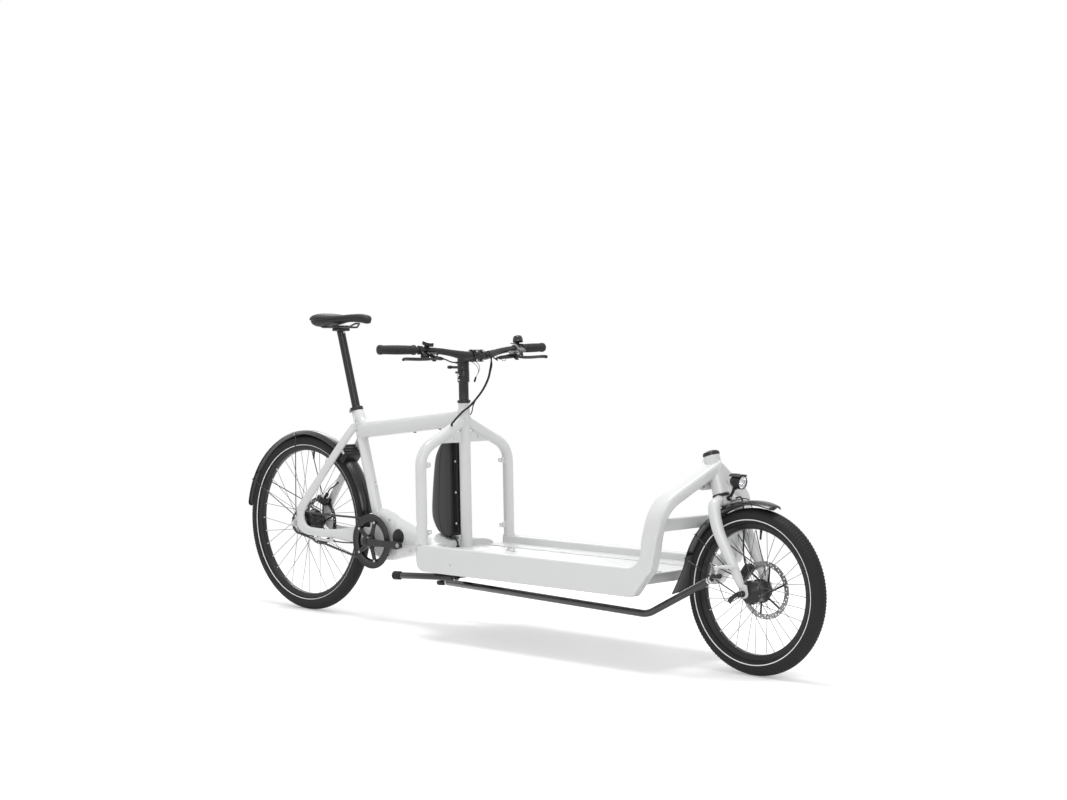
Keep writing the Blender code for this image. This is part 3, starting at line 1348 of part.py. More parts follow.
def build_front_axle():
    """The quick-release skewer with its nut on the left, and the lever on the right on its own cam pivot."""
    half = FORK_HALF_WIDTH - 0.004 + 0.00325
    left = half + SEAM
    axle = rod(FRONT_AXLE - Y_AXIS * (half + 0.013), FRONT_AXLE + Y_AXIS * (left + 0.010), FRONT_AXLE_RADIUS, 12)
    nut = rod(FRONT_AXLE + Y_AXIS * left, FRONT_AXLE + Y_AXIS * (left + 0.009), 0.0095, 10, 0.0075)
    seat = rod(FRONT_AXLE - Y_AXIS * left, FRONT_AXLE - Y_AXIS * (left + 0.006), 0.0095, 12)
    join(axle, nut, seat)
    piece(axle, "front_axle", BLACK_METAL, FORK)
    pivot = FRONT_AXLE - Y_AXIS * (half + 0.0195)
    lever = rod(pivot - Z_AXIS * 0.0085, pivot + Z_AXIS * 0.0085, 0.0060, 12)
    blade = sweep(
        [pivot + Vector((-0.002, -0.003, 0)), pivot + Vector((-0.020, -0.007, -0.004)),
         pivot + Vector((-0.042, -0.0035, -0.011))],
        [(0.0075, 0.0035), (0.0070, 0.0025), (0.0085, 0.0020)], Y_AXIS, points=8, power=3.0,
    )
    join(lever, blade)
    carrier = empty("axle_lever_pivot", pivot, FORK)
    piece(lever, "axle_lever", BLACK_METAL, carrier)


def build_headlight():
    """A lamp on a bent arm from the fork crown, with a visor over its lens."""
    aim = Vector((0.97, 0, -0.10)).normalized()
    centre = Vector((WHEELBASE - 0.080, 0, 0.5920))
    lamp = turned(
        [(0.0, 0.030), (0.0195, 0.029), (0.0215, 0.026), (0.0215, 0.006), (0.0160, -0.010), (0.0080, -0.017),
         (0.0, -0.018)],
        centre, aim, 10,
    )
    visor = rounded(box((0.050, 0.040, 0.005), centre + Vector((0.010, 0, 0.0215))), 0.0015)
    ahead = Vector((FRONT_HEAD_AXIS.z, 0, -FRONT_HEAD_AXIS.x))
    crown_front = FRONT_HEAD_BOTTOM - FRONT_HEAD_AXIS * 0.020 + ahead * 0.0229
    arm = wire(
        rounded_path([centre + Vector((-0.002, 0, -0.010)), centre + Vector((-0.010, 0, -0.032)),
                      crown_front + Vector((0.006, 0, 0.0))], 0.012, 3),
        0.0050, sides=8,
    )
    foot = rod(crown_front, crown_front + ahead * 0.011, 0.0070, 8)
    join(lamp, visor, arm, foot)
    piece(lamp, "headlight", BLACK_PLASTIC, FORK)


# Steering linkage


def build_rod():
    """The rod from the column's arm to the fork's arm, cranked up at the front, with a ball eye at each end."""
    rear_z = 0.1900
    back = REAR_BALL + Vector((0.030, 0, rear_z - REAR_BALL.z))
    bend = Vector((WHEELBASE - 0.328, ROD_Y, 0.1690))
    front = FRONT_BALL + Vector((-0.034, 0, -0.0200))
    line = rounded_path([back, bend, front], 0.10, 3)
    bar = wire(line, ROD_RADIUS, sides=8)
    up = (front - bend).normalized()
    neck_end = FRONT_BALL - up * (BALL_EYE_RADIUS - 0.004)
    neck = rod(front - up * 0.004, neck_end, 0.0065, 8)
    nut = rod(front + up * 0.0005, front + up * 0.009, 0.0105, 6)
    rear_neck = rod(back + X_AXIS * 0.004, REAR_BALL + X_AXIS * (BALL_EYE_RADIUS - 0.005), 0.0065, 8)
    join(bar, neck, nut, rear_neck)
    for centre, play in ((REAR_BALL, RUNNING), (FRONT_BALL, BALL_CLEARANCE)):
        tall = 0.0065
        inner = around(BALL_RADIUS + play, 10)
        eye = turned(
            [(BALL_EYE_RADIUS, tall), (BALL_EYE_RADIUS, -tall), (inner, -tall), (inner, tall)],
            centre, Z_AXIS, 10, closed=True,
        )
        join(bar, eye)
    piece(bar, "steering_rod", BLACK_METAL, ROD)


def build_column():
    """The steering column through the frame, with the arm at its foot that carries the rod's rear ball."""
    arm_z = 0.2000
    foot = column_point(arm_z - 0.004)
    top = COLUMN_TOP + COLUMN_AXIS * 0.075
    column = rod(foot, top, COLUMN_RADIUS, 16)
    collar = rod(foot, column_point(HEAD_TUBE_BOTTOM_Z) - COLUMN_AXIS * SEAM, 0.0190, 12)
    hub = column_point(arm_z)
    arm = sweep(
        [hub, lerp(hub, Vector((REAR_BALL.x, ROD_Y, arm_z + 0.0025)), 0.35),
         Vector((REAR_BALL.x, ROD_Y, arm_z + 0.0025)),
         Vector((REAR_BALL.x, ROD_Y - 0.011, arm_z + 0.0025))],
        [(0.019, 0.004), (0.015, 0.0035), (0.010, 0.0035), (0.006, 0.0035)], Z_AXIS, points=8, power=3.0,
    )
    stud = rod(REAR_BALL, Vector((REAR_BALL.x, ROD_Y, arm_z + 0.006)), 0.0045, 8)
    join(column, collar, arm, stud, ball(REAR_BALL, BALL_RADIUS, 8, 6))
    piece(column, "steering_column", BLACK_METAL, COCKPIT)


# Cockpit


def build_riser():
    """The grooved riser over the column: flange on the head tube, plain post, clamp sleeve at its top."""
    inner = around(COLUMN_RADIUS + SEAM, 12)
    low = COLUMN_TOP + COLUMN_AXIS * SEAM
    post = turned(
        [(0.0, 0.1110), (0.0205, 0.1110), (0.0210, 0.1095), (0.0210, 0.0735), (RISER_RADIUS, 0.0710),
         (RISER_RADIUS, 0.0125), (0.0225, 0.0100), (0.0235, 0.0060), (0.0225, 0.0), (inner, 0.0), (inner, 0.0760),
         (0.0, 0.0760)],
        low, COLUMN_AXIS, 12,
    )
    piece(post, "steering_riser", BLACK_METAL, COCKPIT)


def build_stem():
    """The stem: a body on the riser, and a clamp with a bolted face round the handlebar."""
    base = COLUMN_TOP + COLUMN_AXIS * (0.111 + 2 * SEAM)
    clamp = Vector((BAR_CLAMP_X, 0, BAR_CLAMP_Z))
    body = turned(
        [(0.0, 0.066), (0.0170, 0.066), (0.0195, 0.0625), (0.0205, 0.006), (0.0190, 0.0), (0.0, 0.0)],
        base, COLUMN_AXIS, 12,
    )
    middle = base + COLUMN_AXIS * 0.046
    reach = sweep(
        [middle, lerp(middle, clamp, 0.5), clamp - X_AXIS * 0.004],
        [(0.0180, 0.0190), (0.0170, 0.0170), (0.0230, 0.0190)], Z_AXIS, points=8, power=3.0,
    )
    face = rod(clamp - Y_AXIS * 0.0235, clamp + Y_AXIS * 0.0235, BAR_CLAMP_RADIUS + 0.0060, 12)
    stub = rod(base + Vector((-0.012, -0.006, 0.012)), base + Vector((-0.060, -0.016, 0.012)), 0.0060, 8)
    join(body, reach, face, stub)
    bolts = []
    for y in (-0.015, 0.015):
        for z in (-0.0155, 0.0155):
            start = clamp + Vector((0.008, y, z))
            bolts.append(rod(start, start + X_AXIS * 0.015, 0.0038, 6))
    join(body, merged(*bolts))
    cut(body, rod(clamp - Y_AXIS * 0.04, clamp + Y_AXIS * 0.04, around(BAR_CLAMP_RADIUS + SEAM, 12), 12))
    piece(body, "stem", BLACK_METAL, COCKPIT)


def bar_nodes():
    """Half of the handlebar's centre line, from the clamp outward, with the tube's radius at each point."""
    grip_start = BAR_HALF - GRIP_LENGTH
    back = (BAR_CLAMP_X - BAR_END_X) / BAR_HALF
    return [
        (Vector((BAR_CLAMP_X, 0.0, BAR_CLAMP_Z)), BAR_CLAMP_RADIUS),
        (Vector((BAR_CLAMP_X, 0.040, BAR_CLAMP_Z)), BAR_CLAMP_RADIUS),
        (Vector((BAR_CLAMP_X - 0.003, 0.066, BAR_CLAMP_Z + 0.003)), 0.0150),
        (Vector((BAR_CLAMP_X - 0.010, 0.110, BAR_CLAMP_Z + 0.0105)), 0.0120),
        (Vector((BAR_CLAMP_X - 0.016, 0.150, BAR_CLAMP_Z + 0.0165)), BAR_RADIUS),
        (Vector((BAR_CLAMP_X - 0.0225, 0.185, BAR_END_Z - 0.0045)), BAR_RADIUS),
        (Vector((BAR_END_X + back * GRIP_LENGTH * 1.18, grip_start, BAR_END_Z - 0.0020)), BAR_RADIUS),
        (Vector((BAR_END_X, BAR_HALF, BAR_END_Z)), BAR_RADIUS),
    ]


def bar_at(y):
    """The handlebar's centre and outward direction at this y."""
    side = -1 if y < 0 else 1
    nodes = [p for p, _ in bar_nodes()]
    for a, b in zip(nodes, nodes[1:]):
        if a.y <= abs(y) <= b.y:
            place = a.lerp(b, (abs(y) - a.y) / (b.y - a.y))
            direction = (b - a).normalized()
            return (
                Vector((place.x, side * place.y, place.z)),
                Vector((direction.x, side * direction.y, direction.z)),
            )
    return nodes[-1], Y_AXIS


def build_bar():
    nodes = bar_nodes()
    inset = 0.0038
    last, outward = bar_at(BAR_HALF - inset)
    path = [p for p, _ in nodes[:-1]] + [last]
    radii = [r for _, r in nodes]
    mirror = [Vector((p.x, -p.y, p.z)) for p in reversed(path[1:])]
    bar = wire(mirror + path, BAR_CLAMP_RADIUS, sides=10, radii=list(reversed(radii[1:])) + radii)
    piece(bar, "handlebar", BLACK_METAL, COCKPIT)
    for side, name in ((-1, "right_grip"), (1, "left_grip")):
        end, direction = bar_at(side * (BAR_HALF - 0.001))
        inner = around(BAR_RADIUS + SEAM, 12)
        length = GRIP_LENGTH
        grip = turned(
            [(0.0, 0.0), (GRIP_RADIUS - 0.0035, 0.0), (GRIP_RADIUS, -0.0035), (GRIP_RADIUS, -0.014),
             (0.0152, -0.0155),
             (0.0152, -length * 0.5), (0.0152, -length + 0.010), (0.0170, -length + 0.009), (0.0170, -length),
             (inner, -length), (inner, -0.0022), (0.0, -0.0022)],
            end, direction, 12,
        )
        piece(grip, name, BLACK_RUBBER, COCKPIT)


def clamp_ring(y, width, wall, sides=12):
    place, direction = bar_at(y)
    inner = around(BAR_RADIUS + SEAM, sides)
    return turned(
        [(inner + wall, width / 2), (inner + wall, -width / 2), (inner, -width / 2), (inner, width / 2)],
        place, direction, sides, closed=True,
    )


def lever_frame(y):
    """A frame at the bar's centre whose X runs forward and down, in the plane that the lever swings in."""
    return Matrix.Translation(bar_at(y)[0]) @ Matrix.Rotation(LEVER_TILT, 4, "Y")


def cylinder_ends(side):
    """The brake cylinder's outboard end and the inboard end that its hose leaves from."""
    frame = lever_frame(side * brake_y(side))
    return frame @ Vector((0.0310, side * 0.012, -0.004)), frame @ Vector((0.0262, side * -0.092, -0.0190))


def brake_y(side):
    return 0.2360 if side < 0 else 0.2240


def build_brake(side):
    """A hydraulic brake: clamp and cylinder fixed to the bar, lever on its own pivot in front."""
    label = "right" if side < 0 else "left"
    ring_y = side * brake_y(side)
    frame = lever_frame(ring_y)
    place, outward = bar_at(ring_y)

    def at(x, out, z):
        return frame @ Vector((x, side * out, z))

    def block(size, x, out, z):
        return box(size, at(x, out, z), Matrix.Rotation(LEVER_TILT, 4, "Y"))

    pivot_x = 0.0480
    pivot = at(pivot_x, -0.030, 0)
    up = (at(0, 0, 1) - at(0, 0, 0)).normalized()
    body = clamp_ring(ring_y, 0.013, 0.0042)
    cylinder = rod(*cylinder_ends(side), 0.0082, 8, 0.0070)
    lug = block((0.024, 0.012, 0.012), 0.0200, 0, -0.002)
    web = block((0.009, 0.016, 0.0210), pivot_x - 0.0125, -0.030, 0)
    top = block((0.020, 0.016, 0.0040), pivot_x - 0.003, -0.030, 0.0085)
    low = block((0.020, 0.016, 0.0040), pivot_x - 0.003, -0.030, -0.0085)
    join(body, lug, cylinder, web, top, low)
    cut(body, rod(place - outward * 0.03, place + outward * 0.03, around(BAR_RADIUS + SEAM, 12), 12))
    piece(body, f"{label}_brake_body", BLACK_METAL, COCKPIT)
    eye = rod(pivot - up * 0.0060, pivot + up * 0.0060, 0.0056, 10)
    blade = sweep(
        [at(pivot_x + 0.001, -0.030, 0), at(pivot_x + 0.006, 0.002, 0), at(pivot_x + 0.005, 0.040, -0.001),
         at(pivot_x + 0.001, 0.085, -0.002), at(pivot_x + 0.002, LEVER_LENGTH - 0.043, -0.001),
         at(pivot_x + 0.007, LEVER_LENGTH - 0.030, 0)],
        [(0.0040, 0.0044), (0.0045, 0.0052), (0.0032, 0.0060), (0.0030, 0.0062), (0.0034, 0.0060), (0.0044, 0.0044)],
        up, points=8, power=2.6,
    )
    lever = join(eye, blade)
    carrier = empty(f"{label}_lever_pivot", pivot, COCKPIT)
    piece(lever, f"{label}_brake_lever", BLACK_METAL, carrier)


def build_pod():
    """The display and shifter on the right of the bar, with its thumb lever."""
    y = -0.2100
    place, outward = bar_at(y)
    pod = clamp_ring(y, 0.012, 0.0036)
    head = rounded(box((0.034, 0.026, 0.013), place + Vector((0.004, 0.004, 0.0215)),
                       Matrix.Rotation(0.25, 4, "Y")), 0.003)
    neck = box((0.014, 0.011, 0.010), place + Vector((0.002, 0, 0.0165)))
    under = rounded(box((0.026, 0.012, 0.012), place + Vector((-0.006, 0.0, -0.0190))), 0.003)
    join(pod, neck, head, under)
    piece(pod, "display_pod", BLACK_PLASTIC, COCKPIT)
    pivot = place + Vector((-0.008, 0, -0.0282))
    lever = rod(pivot - Z_AXIS * 0.0026, pivot + Z_AXIS * 0.0026, 0.0075, 12)
    paddle = sweep(
        [pivot + Vector((-0.002, 0.002, 0)), pivot + Vector((-0.018, 0.012, -0.001)),
         pivot + Vector((-0.027, 0.022, 0.0))],
        [(0.0055, 0.0020), (0.0050, 0.0022), (0.0075, 0.0026)], Z_AXIS, points=8, power=2.6,
    )
    join(lever, paddle)
    carrier = empty("shift_lever_pivot", pivot, COCKPIT)
    piece(lever, "shift_lever", BLACK_PLASTIC, carrier)


def build_bell():
    """A domed bell on a stalk on the left of the bar, with a thumb striker."""
    y = 0.2450
    place, outward = bar_at(y)
    bell = clamp_ring(y, 0.010, 0.0034)
    up = Vector((-0.18, 0.10, 0.98)).normalized()
    stalk = rod(place + up * 0.0125, place + up * 0.028, 0.0055, 10)
    dome = turned(
        [(0.0, 0.0240), (0.0100, 0.0230), (0.0155, 0.0185), (0.0180, 0.0110), (0.0185, 0.0), (0.0, 0.0)],
        place + up * 0.0240, up, 12,
    )
    join(bell, stalk, dome)
    piece(bell, "bell", BLACK_METAL, COCKPIT)
    aside = Vector((up.z, 0, -up.x)).normalized()
    pivot = place + up * 0.0195 - aside * 0.0097
    lever = rod(pivot - up * 0.0022, pivot + up * 0.0022, 0.0036, 8)
    paddle = sweep(
        [pivot - X_AXIS * 0.001, pivot + Vector((-0.010, -0.004, 0.0)), pivot + Vector((-0.0185, -0.010, 0.001))],
        [(0.0026, 0.0018), (0.0024, 0.0018), (0.0040, 0.0020)], up, points=8, power=2.6,
    )
    join(lever, paddle)
    carrier = empty("bell_lever_pivot", pivot, COCKPIT)
    piece(lever, "bell_lever", BLACK_METAL, carrier)


def build_hoses():
    """The brake hoses, gathered in front of the stem and led down to the right shoulder tube."""
    z = 0.709
    slope = Vector((0, -math.sin(SHOULDER_SLOPE), math.cos(SHOULDER_SLOPE)))
    out = (X_AXIS * 0.6 + slope * 0.8).normalized()
    axis = Vector((column_point(z).x, -(HEAD_TUBE_RADIUS + (SHOULDER_JOIN_Z - z) / math.tan(SHOULDER_SLOPE)), z))
    end = axis + out * (SHOULDER_RADIUS + 5 * SEAM)
    route = [
        (0.9080, 0.056, 0.9180), (0.9070, 0.052, 0.9000), (0.9050, 0.046, 0.8780), (0.8990, 0.026, 0.8500),
        (0.8890, 0.000, 0.8220), (0.8760, -0.024, 0.7960), (0.8630, -0.046, 0.7740), end + out * 0.014, end,
    ]
    bundle = wire(smooth_path(route, 2), HOSE_RADIUS, sides=6)
    for side, middle in ((-1, [(0.9040, -0.080, 0.9440), (0.9130, -0.020, 0.9380)]), (1, [(0.8960, 0.105, 0.9440)])):
        outer, inner = cylinder_ends(side)
        away = (inner - outer).normalized()
        start = inner + away * 4 * SEAM
        end = [(0.9120, 0.050, 0.9300), (0.9078, 0.0545, 0.9060)]
        path = smooth_path([start, start + away * 0.014, *middle, *end], 2)
        join(bundle, wire(path, 0.0024, sides=4))
    piece(bundle, "handlebar_hoses", BLACK_RUBBER, COCKPIT)


# Seat


def build_saddle():
    """The saddle: rings across it from tail to nose, crowned on top and drawn in underneath."""
    stations = [
        (0.000, 0.038, 1.0980, 1.0820), (0.010, 0.058, 1.1070, 1.0660), (0.035, 0.069, 1.1120, 1.0610),
        (0.070, 0.070, 1.1100, 1.0660), (0.110, 0.058, 1.1070, 1.0740), (0.150, 0.041, 1.1070, 1.0790),
        (0.195, 0.029, 1.1100, 1.0800), (0.235, 0.023, 1.1100, 1.0780), (0.266, 0.019, 1.1050, 1.0740),
        (SADDLE_NOSE_X - SADDLE_REAR_X, 0.012, 1.0980, 1.0760),
    ]
    rings = []
    for i, (along, half, high, low) in enumerate(stations):
        ends = 1.0 if 0 < i < len(stations) - 1 else 0.6
        ring = []
        for j in range(14):
            angle = math.tau * (j + 0.5) / 14
            c = math.cos(angle)
            s = math.sin(angle)
            middle = low + (high - low) * 0.55
            height = (high - middle) if s > 0 else (middle - low)
            wide = half * (1.0 if s > 0 else 0.86)
            ring.append(Vector((
                SADDLE_REAR_X + along, math.copysign(abs(c) ** 0.75, c) * wide * ends,
                middle + math.copysign(abs(s) ** 0.75, s) * height,
            )))
        rings.append(ring)
    saddle = loft(rings)
    floor = box((0.230, 0.028, 0.012), (SADDLE_REAR_X + 0.148, 0, SADDLE_BASE_Z + 0.004))
    join(saddle, floor)
    cut(saddle, box((0.210, 0.074, 0.040), (SADDLE_REAR_X + 0.014 + 0.105, 0, 1.0735 - 0.020)))
    piece(saddle, "saddle", SADDLE_COVER, SEAT)


def build_seatpost():
    """The post with its clamp head, and the saddle's two rails held in it."""
    head = seat_point(1.050)
    post = rod(SEAT_TUBE_TOP - SEAT_AXIS * SEATPOST_INSERT, head, SEATPOST_RADIUS, 16)
    rail_z = 1.0640
    cradle = rounded(box((0.040, 0.058, 0.022), (head.x + 0.002, 0, rail_z - 0.003)), 0.004)
    join(post, cradle)
    base = SADDLE_BASE_Z - 0.002 - SEAM
    for side in (-1, 1):
        gauge = side * RAIL_GAUGE
        line = rounded_path(
            [(0.081, gauge * 0.9, 1.0690), (0.104, gauge, rail_z), (0.250, gauge, rail_z + 0.001),
             (0.292, side * 0.009, base - RAIL_RADIUS - 0.0005)],
            0.02, 2,
        )
        join(post, wire(line, RAIL_RADIUS, sides=6))
    join(post, rod((0.292, -0.011, base - RAIL_RADIUS - 0.0005), (0.292, 0.011, base - RAIL_RADIUS - 0.0005),
                   RAIL_RADIUS, 6))
    join(post, rod((0.081, -0.022, 1.0690), (0.081, 0.022, 1.0690), RAIL_RADIUS, 6))
    piece(post, "seatpost", BLACK_METAL, SEAT)


# Battery


def battery_front_x(z):
    return column_point(z).x - HEAD_TUBE_RADIUS - BATTERY_RAIL_DEPTH - 3 * SEAM


def build_battery():
    """The battery pack, its face parallel to the head tube, rounded away at the back, top and bottom."""
    outline = [
        (battery_front_x(BATTERY_BOTTOM_Z), BATTERY_BOTTOM_Z), (battery_front_x(BATTERY_TOP_Z), BATTERY_TOP_Z),
        (0.745, BATTERY_TOP_Z - 0.006), (0.722, BATTERY_TOP_Z - 0.028), (0.704, BATTERY_TOP_Z - 0.062),
        (0.693, BATTERY_TOP_Z - 0.130), (BATTERY_REAR_X, 0.450), (BATTERY_REAR_X + 0.001, 0.402),
        (0.700, 0.372), (0.722, 0.349), (0.752, 0.338),
    ]
    pack = plate([outline], 2 * BATTERY_HALF_WIDTH, side_plane())
    pack = rounded(pack, 0.012, 2, 60)
    piece(pack, "battery", BLACK_PLASTIC, ROOT)


def build_battery_rail():
    """The rail that the pack slides on, screwed to the head tube, with two eyelets showing beside it."""
    low = BATTERY_BOTTOM_Z + 0.010
    high = BATTERY_TOP_Z - 0.004
    near = -HEAD_TUBE_RADIUS - SEAM
    outline = [
        (column_point(low).x + near, low), (column_point(high).x + near, high),
        (battery_front_x(high) + SEAM, high), (battery_front_x(low) + SEAM, low),
    ]
    rail = plate([outline], 0.034, side_plane())
    for z in (0.380, 0.596):
        x = column_point(z).x + near - 0.008
        join(rail, rod((x, -0.0200, z), (x, 0.0200, z), 0.0065, 10))
    cut(rail, head_tube_cutter())
    piece(rail, "battery_rail", BLACK_PLASTIC, ROOT)


def build_battery_lead():
    """The lead from the pack's foot down into the bed."""
    start = Vector((0.778, -0.018, BATTERY_BOTTOM_Z - 0.0002))
    drop = start - Z_AXIS * 0.003
    end = Vector((0.850, -0.053, FLOOR_TOP_Z + SEAM))
    over = BED_TOP_Z + 0.0042
    route = smooth_path(
        [start, drop, Vector((0.784, -0.023, over + 0.0006)), Vector((0.802, -0.035, over)),
         Vector((0.830, -0.047, over)),
         Vector((0.846, -0.0525, over - 0.006)), end + Z_AXIS * 0.012, end], 2,
    )
    piece(wire(route, 0.0032, sides=4), "battery_lead", BLACK_RUBBER, ROOT)


# Centre stand


def build_stand():
    """The bracket under the bed, and the two-legged stand folded back beneath it."""
    pivot = Vector((STAND_PIVOT_X, 0, STAND_PIVOT_Z))
    bracket_top = FLOOR_TOP_Z - FLOOR_THICKNESS / 2 - MEMBER_DEPTH - SEAM
    bracket_low = bracket_top - 0.004
    ear_y = 0.138
    bracket = box((0.130, 2 * ear_y + 0.010, 0.004), (STAND_PIVOT_X + 0.040, 0, (bracket_top + bracket_low) / 2))
    for side in (-1, 1):
        ear = plate(
            [[(-0.020, bracket_top - 0.002 - STAND_PIVOT_Z), (0.045, bracket_top - 0.002 - STAND_PIVOT_Z),
              (0.014, -0.009), (0.006, -0.0135), (-0.006, -0.0135), (-0.0125, -0.008)]],
            0.005, side_plane(pivot.x, side * ear_y, pivot.z),
        )
        join(bracket, ear)
    reach = Y_AXIS * 0.2
    cut(bracket, rod(pivot - reach, pivot + reach, STAND_TUBE_RADIUS + RUNNING, 14))
    piece(bracket, "stand_bracket", BLACK_METAL, ROOT)
    legs = rod(pivot - Y_AXIS * STAND_LEG_Y, pivot + Y_AXIS * STAND_LEG_Y, STAND_TUBE_RADIUS, 14)
    for side in (-1, 1):
        top = pivot + Y_AXIS * side * STAND_LEG_Y
        drop = math.radians(3.5)
        along = Vector((-math.cos(drop), side * 0.03, -math.sin(drop))).normalized()
        end = top + along * STAND_LEG_LENGTH
        leg = rod(top - along * 0.010, end, STAND_LEG_RADIUS, 10)
        foot = turned(
            [(0.0, 0.032), (0.0125, 0.032), (STAND_FOOT_RADIUS, 0.027), (STAND_FOOT_RADIUS, 0.0), (0.0115, -0.004),
             (0.0, -0.004)],
            end - along * 0.024, along, 10,
        )
        join(legs, leg, foot)
    piece(legs, "stand_legs", BLACK_METAL, STAND)


# Build

build_rear_wheel()
build_front_wheel()
build_rear_axle()
build_chain()
build_chainring()
build_cranks()
build_seat_tube()
build_seat_collar()
build_top_tube()
build_head_tube()
build_motor_housing()
piece(build_motor_cover(), "motor_cover", BLACK_PLASTIC, ROOT)
for hand in (-1, 1):
    build_rail(hand)
    build_arch(hand)
    build_brake(hand)
build_stays()
build_shoulders()
build_floor()
build_cross_bar()
build_front_head()
build_fork()
build_front_fender()
build_front_caliper()
build_rear_caliper()
build_rear_fender()
build_front_axle()
build_headlight()
build_column()
build_rod()
build_riser()
build_stem()
build_bar()
build_pod()
build_bell()
build_hoses()
build_saddle()
build_seatpost()
build_battery()
build_battery_rail()
build_battery_lead()
build_stand()

FRONT_END = WHEELBASE + FRONT_TYRE_RADIUS
REAR_END = -REAR_FENDER_RADIUS
ROOT.location.x = -(FRONT_END + REAR_END) / 2
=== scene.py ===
import json

import bmesh
import bpy
import numpy as np
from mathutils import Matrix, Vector
from mathutils.geometry import tessellate_polygon
from numpy import (arange, array, asarray, broadcast_to, clip, concatenate, cos, cumsum, exp, interp, linspace, maximum,
                   meshgrid, minimum, pi, radians, repeat, roll, sin, sqrt, stack, tan, vstack, where)
from numpy.linalg import norm


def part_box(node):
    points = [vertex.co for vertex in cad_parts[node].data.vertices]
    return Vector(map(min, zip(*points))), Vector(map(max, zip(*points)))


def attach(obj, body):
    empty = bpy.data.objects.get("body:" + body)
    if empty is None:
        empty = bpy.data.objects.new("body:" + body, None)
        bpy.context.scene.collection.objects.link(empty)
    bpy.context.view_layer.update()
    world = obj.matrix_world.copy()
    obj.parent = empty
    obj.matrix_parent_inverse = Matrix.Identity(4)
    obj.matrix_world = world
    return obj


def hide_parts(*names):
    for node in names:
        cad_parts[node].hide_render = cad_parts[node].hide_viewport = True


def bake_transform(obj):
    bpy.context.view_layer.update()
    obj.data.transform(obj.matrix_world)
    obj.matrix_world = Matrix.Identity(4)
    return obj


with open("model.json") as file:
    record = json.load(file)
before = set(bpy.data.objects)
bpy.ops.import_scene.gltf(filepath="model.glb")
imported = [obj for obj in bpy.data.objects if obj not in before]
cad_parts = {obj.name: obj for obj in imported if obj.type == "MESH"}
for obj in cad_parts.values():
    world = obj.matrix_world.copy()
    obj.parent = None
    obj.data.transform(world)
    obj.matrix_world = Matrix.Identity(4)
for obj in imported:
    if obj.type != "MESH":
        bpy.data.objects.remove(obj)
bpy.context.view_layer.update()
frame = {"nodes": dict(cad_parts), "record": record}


# Studio
# A white sweep with the camera where the photographer stood: low, on the bike's
# right, ahead of it. Lengths are metres, with x from the rear hub's middle.

low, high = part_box("rear_tyre")
REAR_HUB = array([(low.x + high.x) / 2, 0.0, 0.0])
CAMERA_AT = array([5.9107, -5.0018, 1.0943])
CAMERA_YAW = radians(133.5221)
CAMERA_PITCH = radians(-2.2839)
FOCAL_PIXELS = 2051.44
PHOTO_WIDTH = 1067
SENSOR_MM = 36.0


def level_direction(yaw, pitch):
    """The unit vector at that yaw about Z and that pitch above the floor."""
    return array([cos(pitch) * cos(yaw), cos(pitch) * sin(yaw), sin(pitch)])


camera_data = bpy.data.cameras.new("camera")
camera_data.sensor_width = SENSOR_MM
camera_data.lens = SENSOR_MM * FOCAL_PIXELS / PHOTO_WIDTH
camera_data.clip_end = 60.0
camera = bpy.data.objects.new("camera", camera_data)
camera.location = CAMERA_AT + REAR_HUB
camera.rotation_mode = "QUATERNION"
camera.rotation_quaternion = Vector(level_direction(CAMERA_YAW, CAMERA_PITCH)).to_track_quat("-Z", "Y")
bpy.context.scene.collection.objects.link(camera)
bpy.context.scene.camera = camera
bpy.context.scene.view_settings.view_transform = "Standard"


class Term:
    """A shader socket that Python's operators work on: each operator adds the Math node of its name."""

    def __init__(self, tree, socket):
        self.tree = tree
        self.socket = socket

    def maths(self, operation, *values):
        return add_node(self.tree, "ShaderNodeMath", {"operation": operation}, dict(enumerate(values)))[0]

    def __add__(self, other):
        return self.maths("ADD", self, other)

    def __sub__(self, other):
        return self.maths("SUBTRACT", self, other)

    def __mul__(self, other):
        return self.maths("MULTIPLY", self, other)

    def __truediv__(self, other):
        return self.maths("DIVIDE", self, other)


def add_node(tree, kind, settings=None, sockets=None):
    """Adds one node: its settings, then a value or a link for each named or numbered socket. Gives its outputs."""
    node = tree.nodes.new(kind)
    for key, value in (settings or {}).items():
        setattr(node, key, value)
    for key, value in (sockets or {}).items():
        if isinstance(value, Term):
            tree.links.new(value.socket, node.inputs[key])
        else:
            node.inputs[key].default_value = value
    return [Term(tree, socket) for socket in node.outputs]


def mixed(tree, share, first, second):
    """A colour between two, by a share from 0 to 1."""
    colours = {6: first, 7: second}
    colours = {k: (*v, 1.0) if isinstance(v, tuple) else v for k, v in colours.items()}
    return add_node(tree, "ShaderNodeMix", {"data_type": "RGBA"}, {0: share, **colours})[2]


def backdrop(tree, seen, unseen):
    """Mixes a plain glow for the eye, mirrors and glass with the surface that takes the shadows."""
    path = add_node(tree, "ShaderNodeLightPath")
    names = [socket.socket.name for socket in path]
    direct = [path[names.index(n)] for n in ("Is Camera Ray", "Is Glossy Ray", "Is Transmission Ray")]
    looked = direct[0].maths("MAXIMUM", direct[0], direct[1].maths("MAXIMUM", direct[1], direct[2]))
    return add_node(tree, "ShaderNodeMixShader", None, {0: looked, 1: unseen, 2: seen})[0]


